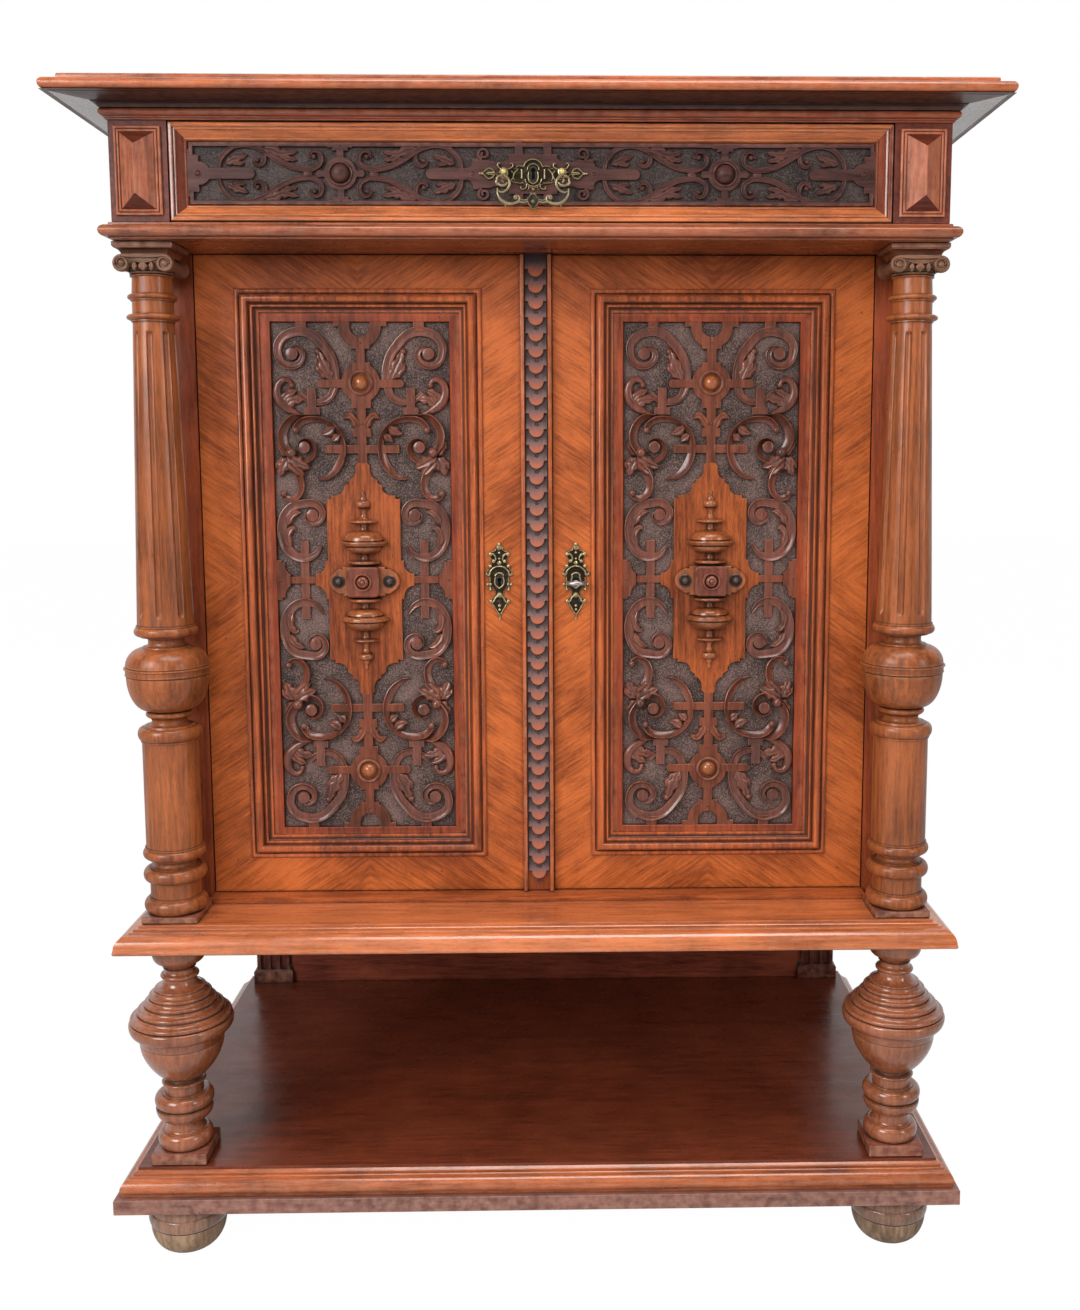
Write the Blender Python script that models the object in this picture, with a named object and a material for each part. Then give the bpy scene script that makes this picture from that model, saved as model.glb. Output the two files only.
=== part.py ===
"""Parlour cupboard of turned and carved walnut on an open base, with two doors and a frieze drawer.

Metres, +Z up, +X to the right, front towards -Y. The origin is on the floor, under the middle of the top.
"""

import math

import bmesh
import bpy

# Storeys, from the floor up
FOOT_HEIGHT = 0.071
BASE_HEIGHT = 0.049
BAY_HEIGHT = 0.280
PLATFORM_HEIGHT = 0.0306
CUPBOARD_HEIGHT = 0.808
WAIST_HEIGHT = 0.0192
FRIEZE_HEIGHT = 0.111
CORNICE_HEIGHT = 0.0182
TOP_HEIGHT = 0.0205

# Plan
FRIEZE_WIDTH = 0.9526
FRIEZE_DEPTH = 0.606
TOP_SIDE_OVERHANG = 0.0537
TOP_FRONT_OVERHANG = 0.060
BASE_SIDE_STEP = 0.0444
BASE_FRONT_STEP = 0.0165
PLATFORM_SIDE_STEP = 0.0317
PLATFORM_FRONT_STEP = 0.018
COLUMN_SIDE_SETBACK = 0.0293
COLUMN_SETBACK = 0.044
DOOR_SETBACK = 0.109
CUPBOARD_SIDE_SETBACK = 0.0063
FRONT_POST_WIDTH = 0.0524

# Edge mouldings, how far each one reaches from the board that it frames
BASE_PROJECTION = 0.024
PLATFORM_PROJECTION = 0.0245
WAIST_PROJECTION = 0.0121
WAIST_INSET = 0.020
CORNICE_PROJECTION = 0.0135

# Carcass members
LEG_PLINTH_SIDE = 0.0678
LEG_PLINTH_HEIGHT = 0.0144
COLUMN_PLINTH_SIDE = 0.0675
COLUMN_PLINTH_HEIGHT = 0.0085
CAPITAL_HEIGHT = 0.0350
ABACUS_SIDE = 0.0688
ABACUS_HEIGHT = 0.0137
VOLUTE_RADIUS = 0.0104
VOLUTE_SPACING = 0.0494
FOOT_RADIUS = 0.049
REAR_FOOT_SETBACK = 0.055
REAR_POST_SIDE_SETBACK = 0.0213
REAR_POST_WIDTH = 0.054
REAR_POST_THICKNESS = 0.0295
REAR_POST_FOOT_WIDTH = 0.0646
REAR_POST_FOOT_HEIGHT = 0.023
LOWER_PANEL_THICKNESS = 0.014
FRONT_POST_DEPTH = 0.045
SIDE_THICKNESS = 0.024
SIDE_FIELD_MARGIN = 0.075
SIDE_FIELD_DEPTH = 0.006
BACK_THICKNESS = 0.012
SILL_HEIGHT = 0.0065
SILL_FRONT_STEP = 0.027
SILL_DEPTH = 0.087
SHELF_THICKNESS = 0.020
SHELF_HEIGHT = 0.395
SHELF_HOUSING = 0.006
SHELF_SETBACK = 0.075
FRIEZE_BLOCK_WIDTH = 0.0653
FRIEZE_BLOCK_DEPTH = 0.050
DIAMOND_MARGIN = 0.0065
DIAMOND_RISE = 0.017
DIAMOND_RIM = 0.006
FLUTES = 8
FLUTE_DEPTH = 0.0028
FLUTE_MARGIN = 0.012

# Doors
DOOR_THICKNESS = 0.024
DOOR_EDGE_GAP = 0.0016
DOOR_END_GAP = 0.001
MEETING_GAP = 0.001
STILE_SHOWN = 0.049
RAIL_SHOWN = 0.0442
BOLECTION_WIDTH = 0.0285
BOLECTION_LAP = 0.010
BOLECTION_CREST = 0.0095
PANEL_SINK = 0.008
PANEL_THICKNESS = 0.012
PANEL_BORDER = 0.0105
FIELD_DEPTH = 0.005
STRAP_WIDTH = 0.018
STRAP_RISE = 0.0045
CARTOUCHE_WIDTH = 0.0953
CARTOUCHE_HEIGHT = 0.206
RING_PLATE_RADIUS = 0.0235
RING_PLATE_SPACING = 0.486
TURNING_BLOCK_SIDE = 0.040
TURNING_BLOCK_RISE = 0.022
ASTRAGAL_WIDTH = 0.039
ASTRAGAL_RISE = 0.010
ASTRAGAL_FILLET = 0.0054
PIVOT_INSET = 0.016
PIVOT_SETBACK = 0.006
PIVOT_RADIUS = 0.003
PIVOT_DEPTH = 0.010

# Lock and key
KEY_OFFSET = 0.048
KEY_RADIUS = 0.0024
KEY_REACH = 0.026
BOW_WIDTH = 0.024
BOW_WIRE = 0.0016
BIT_LENGTH = 0.009
BIT_WIDTH = 0.006
BIT_THICKNESS = 0.0024
KEYHOLE_RADIUS = 0.0036
KEYHOLE_DROP = 0.013
KEYHOLE_SLOT = 0.0046
ESCUTCHEON_WIDTH = 0.033
ESCUTCHEON_HEIGHT = 0.096
ESCUTCHEON_THICKNESS = 0.0025
LOCK_WIDTH = 0.052
LOCK_SETBACK = 0.0035
LOCK_HEIGHT = 0.060
LOCK_DEPTH = 0.014
LOCK_WALL = 0.002
BOLT_HEIGHT = 0.014
BOLT_THICKNESS = 0.006
BOLT_LENGTH = 0.038
BOLT_RAISE = 0.013
BOLT_THROW = 0.010

# Drawer
DRAWER_GAP = 0.001
DRAWER_FRONT_THICKNESS = 0.026
DRAWER_FRAME = 0.024
DRAWER_FIELD_DEPTH = 0.0135
DRAWER_SIDE_THICKNESS = 0.012
DRAWER_SIDE_HEIGHT = 0.086
DRAWER_LENGTH = 0.500
DRAWER_BOTTOM_THICKNESS = 0.007
DRAWER_BOTTOM_RAISE = 0.008
BRACKET_WIDTH = 0.134
BRACKET_HEIGHT = 0.040
DRAWER_RING_SPACING = 0.438
DRAWER_RING_RADIUS = 0.0175
PULL_WIDTH = 0.1235
PULL_HEIGHT = 0.028
PULL_THICKNESS = 0.0025
BAIL_SPACING = 0.0630
BAIL_DROP = 0.036
BAIL_WIDTH = 0.081
BAIL_RADIUS = 0.0021
BAIL_STANDOFF = 0.012
EAR_RADIUS = 0.0045
EAR_LENGTH = 0.008

# Fits
SEAM = 0.0003
SLIDE_FIT = 0.0006
PIN_FIT = 0.0004

# Facets
COLUMN_SIDES = 24
LEG_SIDES = 16
FOOT_SIDES = 14
SPINDLE_SIDES = 6
PIN_SIDES = 8

# Levels of the storeys
Z_BASE = FOOT_HEIGHT
Z_SHELF = Z_BASE + BASE_HEIGHT
Z_PLATFORM = Z_SHELF + BAY_HEIGHT
Z_FLOOR = Z_PLATFORM + PLATFORM_HEIGHT
Z_WAIST = Z_FLOOR + CUPBOARD_HEIGHT
Z_FRIEZE = Z_WAIST + WAIST_HEIGHT
Z_CORNICE = Z_FRIEZE + FRIEZE_HEIGHT
Z_TOP = Z_CORNICE + CORNICE_HEIGHT

# Planes and half widths that several pieces share
BACK = (FRIEZE_DEPTH + TOP_FRONT_OVERHANG) / 2
FRIEZE_FRONT = BACK - FRIEZE_DEPTH
DOOR_FRONT = FRIEZE_FRONT + DOOR_SETBACK
DOOR_BACK = DOOR_FRONT + DOOR_THICKNESS
COLUMN_Y = FRIEZE_FRONT + COLUMN_SETBACK
FRIEZE_HALF = FRIEZE_WIDTH / 2
COLUMN_X = FRIEZE_HALF - COLUMN_SIDE_SETBACK
REAR_POST_X = FRIEZE_HALF - REAR_POST_SIDE_SETBACK
CUPBOARD_HALF = FRIEZE_HALF - CUPBOARD_SIDE_SETBACK
OPENING_HALF = CUPBOARD_HALF - FRONT_POST_WIDTH
SIDE_INNER = CUPBOARD_HALF - SIDE_THICKNESS
BASE_HALF = FRIEZE_HALF + BASE_SIDE_STEP - BASE_PROJECTION
BASE_FRONT = FRIEZE_FRONT - BASE_FRONT_STEP + BASE_PROJECTION
PLATFORM_HALF = FRIEZE_HALF + PLATFORM_SIDE_STEP - PLATFORM_PROJECTION
PLATFORM_FRONT = FRIEZE_FRONT - PLATFORM_FRONT_STEP + PLATFORM_PROJECTION
WAIST_HALF = FRIEZE_HALF - WAIST_INSET
WAIST_FRONT = FRIEZE_FRONT + WAIST_INSET
BACK_FACE = BACK - BACK_THICKNESS
MEETING_X = ASTRAGAL_WIDTH / 2
DOOR_BOTTOM = Z_FLOOR + SILL_HEIGHT + DOOR_END_GAP
DOOR_TOP = Z_WAIST - DOOR_END_GAP
DOOR_MIDDLE = (DOOR_BOTTOM + DOOR_TOP) / 2
DOOR_EDGE = OPENING_HALF - DOOR_EDGE_GAP
PIVOT_X = DOOR_EDGE - PIVOT_INSET
PIVOT_Y = DOOR_FRONT + PIVOT_SETBACK
BOLECTION_NEAR = MEETING_X + STILE_SHOWN
BOLECTION_FAR = DOOR_EDGE - STILE_SHOWN
BOLECTION_LOW = DOOR_BOTTOM + RAIL_SHOWN
BOLECTION_HIGH = DOOR_TOP - RAIL_SHOWN
PANEL_X = (BOLECTION_NEAR + BOLECTION_FAR) / 2
PANEL_FRONT = DOOR_FRONT + PANEL_SINK
FIELD_GROUND = PANEL_FRONT + FIELD_DEPTH
STRAP_FRONT = FIELD_GROUND - SEAM - STRAP_RISE
FIELD_HALF = (BOLECTION_FAR - BOLECTION_NEAR) / 2 - BOLECTION_WIDTH - PANEL_BORDER
FIELD_HALF_HEIGHT = (BOLECTION_HIGH - BOLECTION_LOW) / 2 - BOLECTION_WIDTH - PANEL_BORDER
DRAWER_HALF = FRIEZE_HALF - FRIEZE_BLOCK_WIDTH - DRAWER_GAP
DRAWER_BOX_HALF = DRAWER_HALF - SLIDE_FIT
DRAWER_MIDDLE = Z_FRIEZE + FRIEZE_HEIGHT / 2
DRAWER_GROUND = FRIEZE_FRONT + DRAWER_FIELD_DEPTH
BRACKET_FRONT = DRAWER_GROUND - SEAM - STRAP_RISE
BAIL_Y = BRACKET_FRONT - PULL_THICKNESS - BAIL_STANDOFF
LOCK_NEAR = MEETING_X + LOCK_SETBACK

LEFT = -1
RIGHT = 1
SIDES = ((LEFT, "left"), (RIGHT, "right"))

# Turnings, from the bottom up: kind, height, and the radii at the ends or at the greatest bulge
COLUMN_TURNING = (
    ("bead", 0.0190, 0.0303, 0.0380),
    ("drum", 0.0190, 0.0303, 0.0303),
    ("bead", 0.0190, 0.0303, 0.0376),
    ("cove", 0.0090, 0.0303, 0.0240),
    ("bead", 0.0150, 0.0303, 0.0373),
    ("drum", 0.1320, 0.0332, 0.0330),
    ("bead", 0.0200, 0.0330, 0.0375),
    ("cove", 0.0100, 0.0230, 0.0207),
    ("bead", 0.0080, 0.0230, 0.0274),
    ("flare", 0.0370, 0.0230, 0.0470),
    ("bead", 0.0160, 0.0470, 0.0501),
    ("shoulder", 0.0230, 0.0470, 0.0230),
    ("cove", 0.0120, 0.0230, 0.0212),
    ("bead", 0.0140, 0.0332, 0.0372),
    ("shaft", None, 0.0332, 0.0235),
    ("bead", 0.0090, 0.0235, 0.0303),
    ("drum", 0.0150, 0.0235, 0.0235),
    ("bead", 0.0080, 0.0235, 0.0284),
    ("drum", 0.0210, 0.0235, 0.0225),
)
LEG_TURNING = (
    ("bead", 0.0180, 0.0270, 0.0342),
    ("cove", 0.0120, 0.0270, 0.0234),
    ("bead", 0.0320, 0.0270, 0.0379),
    ("drum", 0.0070, 0.0233, 0.0233),
    ("bead", 0.0120, 0.0233, 0.0277),
    ("flare", 0.0510, 0.0250, 0.0533),
    ("drum", 0.0180, 0.0577, 0.0630),
    ("bead", 0.0100, 0.0630, 0.0654),
    ("shoulder", 0.0110, 0.0630, 0.0560),
    ("shoulder", 0.0105, 0.0545, 0.0460),
    ("shoulder", 0.0105, 0.0445, 0.0320),
    ("cove", 0.0140, 0.0320, 0.0193),
    ("bead", 0.0150, 0.0190, 0.0224),
    ("flare", 0.0230, 0.0172, 0.0335),
    ("shaft", None, 0.0335, 0.0335),
)
FOOT_TURNING = (
    ("flare", 0.0270, 0.0240, FOOT_RADIUS - 0.0012),
    ("drum", 0.0020, FOOT_RADIUS - 0.0012, FOOT_RADIUS),
    ("shoulder", 0.0330, FOOT_RADIUS, 0.0360),
    ("shaft", None, 0.0360, 0.0380),
)
SPINDLE_TURNING = (
    ("cove", 0.0070, 0.0110, 0.0055),
    ("bead", 0.0060, 0.0110, 0.0195),
    ("drum", 0.0060, 0.0055, 0.0055),
    ("flare", 0.0110, 0.0150, 0.0255),
    ("bead", 0.0060, 0.0255, 0.0292),
    ("shoulder", 0.0120, 0.0255, 0.0130),
    ("drum", 0.0080, 0.0055, 0.0055),
    ("bead", 0.0050, 0.0090, 0.0165),
    ("cove", 0.0110, 0.0055, 0.0035),
    ("bead", 0.0090, 0.0055, 0.0090),
    ("drum", 0.0110, 0.0055, 0.0015),
)


def clear_scene():
    """Empty the scene of whatever it opened with."""
    for thing in list(bpy.data.objects):
        bpy.data.objects.remove(thing, do_unlink=True)


def make_material(name, colour, roughness, metallic=0.0):
    """A Principled material of one colour."""
    material = bpy.data.materials.new(name)
    material.use_nodes = True
    shader = material.node_tree.nodes["Principled BSDF"]
    shader.inputs["Base Color"].default_value = (*colour, 1.0)
    shader.inputs["Roughness"].default_value = roughness
    shader.inputs["Metallic"].default_value = metallic
    return material


def make_materials():
    """Woods and metals of the cupboard."""
    return {
        "walnut": make_material("walnut", (0.30, 0.105, 0.045), 0.35),
        "dark_walnut": make_material("dark_walnut", (0.115, 0.045, 0.030), 0.45),
        "veneer": make_material("veneer", (0.36, 0.135, 0.050), 0.30),
        "lining": make_material("lining", (0.48, 0.30, 0.15), 0.60),
        "brass": make_material("brass", (0.55, 0.43, 0.20), 0.35, 1.0),
        "steel": make_material("steel", (0.55, 0.54, 0.51), 0.35, 1.0),
    }


def mesh_from(name, shape):
    """A mesh of the shape's points and faces, with its faces turned outwards."""
    points, faces = shape
    mesh = bpy.data.meshes.new(name)
    mesh.from_pydata(points, [], faces)
    work = bmesh.new()
    work.from_mesh(mesh)
    bmesh.ops.recalc_face_normals(work, faces=work.faces)
    work.to_mesh(mesh)
    work.free()
    return mesh


def add_pivot(name, place):
    """An empty on a joint's axis, which carries the pieces that move about it."""
    pivot = bpy.data.objects.new(name, None)
    pivot.location = place
    bpy.context.collection.objects.link(pivot)
    return pivot


def add_part(name, shape, material, pivot=None, smooth=False):
    """A named piece, in place, on its pivot if it moves."""
    points, faces = shape
    if pivot:
        points = [tuple(p - q for p, q in zip(point, pivot.location)) for point in points]
    part = bpy.data.objects.new(name, mesh_from(name, (points, faces)))
    part.data.materials.append(material)
    bpy.context.collection.objects.link(part)
    if pivot:
        part.parent = pivot
    if smooth:
        part.data.shade_smooth()
        part.data.set_sharp_from_angle(angle=math.radians(40))
    return part


def combine(part, shape, operation):
    """Cut a shape from a piece, or join it on, with a Boolean."""
    tool = bpy.data.objects.new(f"{part.name}_tool", mesh_from("tool", shape))
    tool.hide_render = True
    tool.display_type = "WIRE"
    bpy.context.collection.objects.link(tool)
    modifier = part.modifiers.new(operation.lower(), "BOOLEAN")
    modifier.operation = operation
    modifier.solver = "EXACT"
    modifier.object = tool


def cut(part, shape):
    """Take a shape out of a piece."""
    combine(part, shape, "DIFFERENCE")


def join(part, shape):
    """Add a shape to a piece that it overlaps."""
    combine(part, shape, "UNION")


def box(x_range, y_range, z_range):
    """A block between two corners."""
    points = [(x, y, z) for z in z_range for y in y_range for x in x_range]
    faces = [(0, 1, 3, 2), (4, 6, 7, 5), (0, 4, 5, 1), (2, 3, 7, 6), (0, 2, 6, 4), (1, 5, 7, 3)]
    return points, faces


def skin(rings, closed_rings=True, loop=False):
    """Faces through rings of equal count, one after another, capped at both ends unless they form a loop."""
    count = len(rings[0])
    points = [point for ring in rings for point in ring]
    spans = len(rings) if loop else len(rings) - 1
    steps = count if closed_rings else count - 1
    faces = []
    for span in range(spans):
        low = span * count
        high = ((span + 1) % len(rings)) * count
        for step in range(steps):
            after = (step + 1) % count
            faces.append((low + step, low + after, high + after, high + step))
    if not loop:
        faces.append(tuple(range(count)))
        faces.append(tuple(range(len(points) - count, len(points))))
    return points, faces


def prism(outline, low, high, along="z"):
    """An outline given in two axes, pushed along the third."""
    if along == "z":
        rings = [[(a, b, end) for a, b in outline] for end in (low, high)]
    else:
        rings = [[(a, end, b) for a, b in outline] for end in (low, high)]
    return skin(rings)


def mirrored(outline, side):
    """An outline drawn for the right side, turned over for the left one."""
    return [(side * a, b) for a, b in outline]


def arc(centre, radius, start, end, steps, squash=1.0):
    """Points on an arc between two angles in degrees."""
    points = []
    for step in range(steps + 1):
        angle = math.radians(start + (end - start) * step / steps)
        points.append((centre[0] + radius * math.cos(angle), centre[1] + squash * radius * math.sin(angle)))
    return points


def cylinder(centre, radius, low, high, sides, along="z"):
    """A round bar along one axis."""
    rings = []
    for end in (low, high):
        ring = []
        for a, b in arc((0.0, 0.0), radius, 0.0, 360.0, sides)[:-1]:
            if along == "x":
                ring.append((end, centre[1] + a, centre[2] + b))
            elif along == "y":
                ring.append((centre[0] + a, end, centre[2] + b))
            else:
                ring.append((centre[0] + a, centre[1] + b, end))
        rings.append(ring)
    return skin(rings)


def turned_element(kind, height, first, second, steps):
    """Radius and height pairs of one turned member, from its own foot up."""
    if kind in ("drum", "shaft"):
        return [(first, 0.0), (second, height)]
    points = []
    crest = math.sin(math.pi * (steps // 2) / steps)
    for step in range(steps + 1):
        share = step / steps
        if kind in ("bead", "cove"):
            bulge = math.sin(math.pi * share) / crest
            rise = (1 - math.cos(math.pi * share)) / 2
            points.append((first + (second - first) * bulge, height * rise))
        elif kind == "flare":
            turn = math.pi / 2 * share
            points.append((first + (second - first) * math.sin(turn), height * (1 - math.cos(turn))))
        else:
            turn = math.pi / 2 * share
            points.append((second + (first - second) * math.cos(turn), height * math.sin(turn)))
    return points


def turned_profile(turning, total, steps=3):
    """The whole profile of a turning, its plain shaft filling the height that the others leave."""
    taken = sum(height for _, height, _, _ in turning if height)
    profile = []
    shaft_ends = None
    level = 0.0
    for kind, height, first, second in turning:
        length = height or total - taken
        if kind == "shaft":
            shaft_ends = (level, level + length)
        for radius, rise in turned_element(kind, length, first, second, steps):
            if not profile or abs(profile[-1][0] - radius) + abs(profile[-1][1] - level - rise) > SEAM:
                profile.append((radius, level + rise))
        level += length
    return profile, shaft_ends


def fluted_profile(profile, shaft_ends):
    """Profile rows with the fluting depth of each, full between the stops of the flutes."""
    low = shaft_ends[0] + FLUTE_MARGIN
    high = shaft_ends[1] - FLUTE_MARGIN
    foot = next(radius for radius, level in profile if level >= shaft_ends[0])
    head = next(radius for radius, level in reversed(profile) if level <= shaft_ends[1])
    rows = [(radius, level, 0.0) for radius, level in profile]
    stops = ((low, 0.0), (low + FLUTE_MARGIN, FLUTE_DEPTH), (high - FLUTE_MARGIN, FLUTE_DEPTH), (high, 0.0))
    for level, depth in stops:
        share = (level - shaft_ends[0]) / (shaft_ends[1] - shaft_ends[0])
        rows.append((foot + (head - foot) * share, level, depth))
    return sorted(rows, key=lambda row: row[1])


def turned(rows, centre, foot, sides, plinth=None):
    """A turning about a vertical axis, fluted where a row says so, rising from a square plinth if it has one."""
    rings = []
    for radius, level, depth in rows:
        ring = []
        for side in range(sides):
            hollow = depth if depth and side % (sides // FLUTES) == 0 else 0.0
            angle = 2 * math.pi * side / sides
            reach = radius - hollow
            ring.append((centre[0] + reach * math.cos(angle), centre[1] + reach * math.sin(angle), foot + level))
        rings.append(ring)
    points, faces = skin(rings)
    if plinth is None:
        return points, faces
    faces.pop(-2)
    return seat_on_plinth(points, faces, centre, foot, sides, plinth)


def seat_on_plinth(points, faces, centre, foot, sides, plinth):
    """Close a turning's open foot on a square plinth, so that both are one piece."""
    half, drop = plinth[0] / 2, plinth[1]
    corners = ((half, half), (-half, half), (-half, -half), (half, -half))
    first = len(points)
    for level in (foot, foot - drop):
        points.extend((centre[0] + x, centre[1] + y, level) for x, y in corners)
    quarter = sides // 4
    for corner in range(4):
        upper = first + corner
        following = first + (corner + 1) % 4
        for step in range(quarter):
            start = corner * quarter + step
            faces.append((upper, start, (start + 1) % sides))
        faces.append((upper, ((corner + 1) * quarter) % sides, following))
        faces.append((upper, following, following + 4, upper + 4))
    faces.append(tuple(range(first + 4, first + 8)))
    return points, faces


def half_turned(stations, centre, sides):
    """A split turning: flat on its back, half round in front. A station is a width, a rise and a level."""
    rings = []
    for width, rise, level, square in stations:
        ring = []
        for step in range(sides + 1):
            angle = math.pi * step / sides
            across = -math.cos(angle)
            out = math.sin(angle)
            if square:
                across = max(-1.0, min(1.0, across * 1.5))
                out = min(1.0, out * 1.5)
            ring.append((centre[0] + width * across, centre[1] - rise * out, centre[2] + level))
        rings.append(ring)
    return skin(rings)


def u_moulding(outline, half_width, front, back):
    """A mitred moulding round the front and both sides of a board. The outline is outward reach and height."""
    rings = []
    for side, y_of in ((LEFT, "back"), (LEFT, "front"), (RIGHT, "front"), (RIGHT, "back")):
        ring = []
        for reach, level in outline:
            ring.append((side * (half_width + reach), back if y_of == "back" else front - reach, level))
        rings.append(ring)
    return skin(rings)


def moulded_board(outline, half_width, front, back):
    """A board whose front and side edges follow an outline of outward reach and height, flat at the back."""
    rings = []
    for reach, level in outline:
        wide = half_width + reach
        rings.append([(-wide, front - reach, level), (wide, front - reach, level), (wide, back, level), (-wide, back, level)])
    return skin(rings)


def rectangle(x_range, z_range, inset, y):
    """The corners of an upright rectangle, drawn in by an inset."""
    (x0, x1), (z0, z1) = x_range, z_range
    return [
        (x0 + inset, y, z0 + inset),
        (x1 - inset, y, z0 + inset),
        (x1 - inset, y, z1 - inset),
        (x0 + inset, y, z1 - inset),
    ]


def mitred_frame(outline, x_range, z_range):
    """A mitred frame. The outline is a closed section of inset from the outer edge and depth."""
    rings = [rectangle(x_range, z_range, inset, y) for inset, y in outline]
    return skin(rings, loop=True)


def stepped_panel(levels, x_range, z_range, back):
    """A panel whose front steps in and out by levels of inset and depth, flat at the back."""
    rings = [rectangle(x_range, z_range, 0.0, back)]
    rings.extend(rectangle(x_range, z_range, inset, y) for inset, y in levels)
    return skin(rings)


def four_fold(quadrant):
    """A closed outline from the points of its upper right quarter, listed from the top to the right."""
    right = quadrant + [(x, -z) for x, z in reversed(quadrant)]
    return right + [(-x, z) for x, z in reversed(right)]


def build_feet(wood):
    """Bun feet under the base's corners."""
    profile, _ = turned_profile(FOOT_TURNING, FOOT_HEIGHT - SEAM)
    rows = [(radius, level, 0.0) for radius, level in profile]
    for side, word in SIDES:
        for end, y in (("front", COLUMN_Y), ("rear", BACK - REAR_FOOT_SETBACK)):
            shape = turned(rows, (side * COLUMN_X, y), 0.0, FOOT_SIDES)
            add_part(f"foot_{end}_{word}", shape, wood, smooth=True)


def build_base(wood):
    """The base shelf and the moulding round it."""
    fascia = Z_BASE + 0.0205
    outline = [
        (0.0, Z_BASE),
        (BASE_PROJECTION, Z_BASE),
        (BASE_PROJECTION, fascia),
        (BASE_PROJECTION - 0.0045, fascia + 0.001),
        (BASE_PROJECTION - 0.0045, fascia + 0.005),
    ]
    ovolo_centre = (BASE_PROJECTION - 0.0110, fascia + 0.0125)
    outline += arc(ovolo_centre, 0.0085, -45.0, 90.0, 4)
    outline += [(0.0055, fascia + 0.0210), (0.0055, Z_SHELF - 0.0048), (0.0, Z_SHELF - 0.0044)]
    add_part("base_moulding", u_moulding(outline, BASE_HALF + SEAM, BASE_FRONT - SEAM, BACK), wood)
    shelf = box((-BASE_HALF, BASE_HALF), (BASE_FRONT, BACK), (Z_BASE, Z_SHELF))
    add_part("base_shelf", shelf, wood)


def build_legs(wood):
    """Turned front legs, each on its plinth."""
    foot = Z_SHELF + SEAM + LEG_PLINTH_HEIGHT
    profile, _ = turned_profile(LEG_TURNING, Z_PLATFORM - SEAM - foot)
    rows = [(radius, level, 0.0) for radius, level in profile]
    for side, word in SIDES:
        shape = turned(rows, (side * COLUMN_X, COLUMN_Y), foot, LEG_SIDES, (LEG_PLINTH_SIDE, LEG_PLINTH_HEIGHT))
        add_part(f"leg_{word}", shape, wood, smooth=True)


def build_rear_posts(wood, veneer):
    """Flat rear posts with widened feet, and the panel between them."""
    low = Z_SHELF + SEAM
    high = Z_PLATFORM - SEAM
    half = REAR_POST_WIDTH / 2
    foot_half = REAR_POST_FOOT_WIDTH / 2
    foot_top = low + REAR_POST_FOOT_HEIGHT
    right_half = [(foot_half, low), (foot_half, foot_top), (half, foot_top + 0.007), (half, high)]
    front = BACK - REAR_POST_THICKNESS
    for side, word in SIDES:
        middle = side * REAR_POST_X
        outline = [(middle + x, z) for x, z in right_half]
        outline += [(middle - x, z) for x, z in reversed(right_half)]
        add_part(f"rear_post_{word}", prism(outline, front, BACK, "y"), wood)
    inner = REAR_POST_X - SEAM
    right_edge = [(inner - x, z) for x, z in right_half]
    outline = right_edge + [(-x, z) for x, z in reversed(right_edge)]
    panel_front = front + (REAR_POST_THICKNESS - LOWER_PANEL_THICKNESS) / 2
    panel = prism(outline, panel_front, panel_front + LOWER_PANEL_THICKNESS, "y")
    add_part("lower_back_panel", panel, veneer)


def build_platform(wood):
    """The cupboard's floor and the thumb moulding round it."""
    outline = [
        (0.0, Z_PLATFORM),
        (PLATFORM_PROJECTION - 0.006, Z_PLATFORM),
        (PLATFORM_PROJECTION, Z_PLATFORM + 0.0035),
    ]
    outline += arc((PLATFORM_PROJECTION - 0.0165, Z_PLATFORM + 0.0065), 0.0165, 0.0, 90.0, 5)[1:]
    outline += [
        (PLATFORM_PROJECTION - 0.0165, Z_PLATFORM + 0.0250),
        (0.0042, Z_PLATFORM + 0.0255),
        (0.0042, Z_FLOOR - 0.0028),
        (0.0, Z_FLOOR - 0.0024),
    ]
    add_part("platform_moulding", u_moulding(outline, PLATFORM_HALF + SEAM, PLATFORM_FRONT - SEAM, BACK), wood)
    board = box((-PLATFORM_HALF, PLATFORM_HALF), (PLATFORM_FRONT, BACK), (Z_PLATFORM, Z_FLOOR))
    add_part("platform_board", board, wood)


def build_columns(wood):
    """Fluted columns in front of the doors."""
    foot = Z_FLOOR + SEAM + COLUMN_PLINTH_HEIGHT
    head = Z_WAIST - SEAM - CAPITAL_HEIGHT - SEAM
    profile, shaft_ends = turned_profile(COLUMN_TURNING, head - foot)
    rows = fluted_profile(profile, shaft_ends)
    plinth = (COLUMN_PLINTH_SIDE, COLUMN_PLINTH_HEIGHT)
    for side, word in SIDES:
        shape = turned(rows, (side * COLUMN_X, COLUMN_Y), foot, COLUMN_SIDES, plinth)
        add_part(f"column_{word}", shape, wood, smooth=True)


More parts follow.
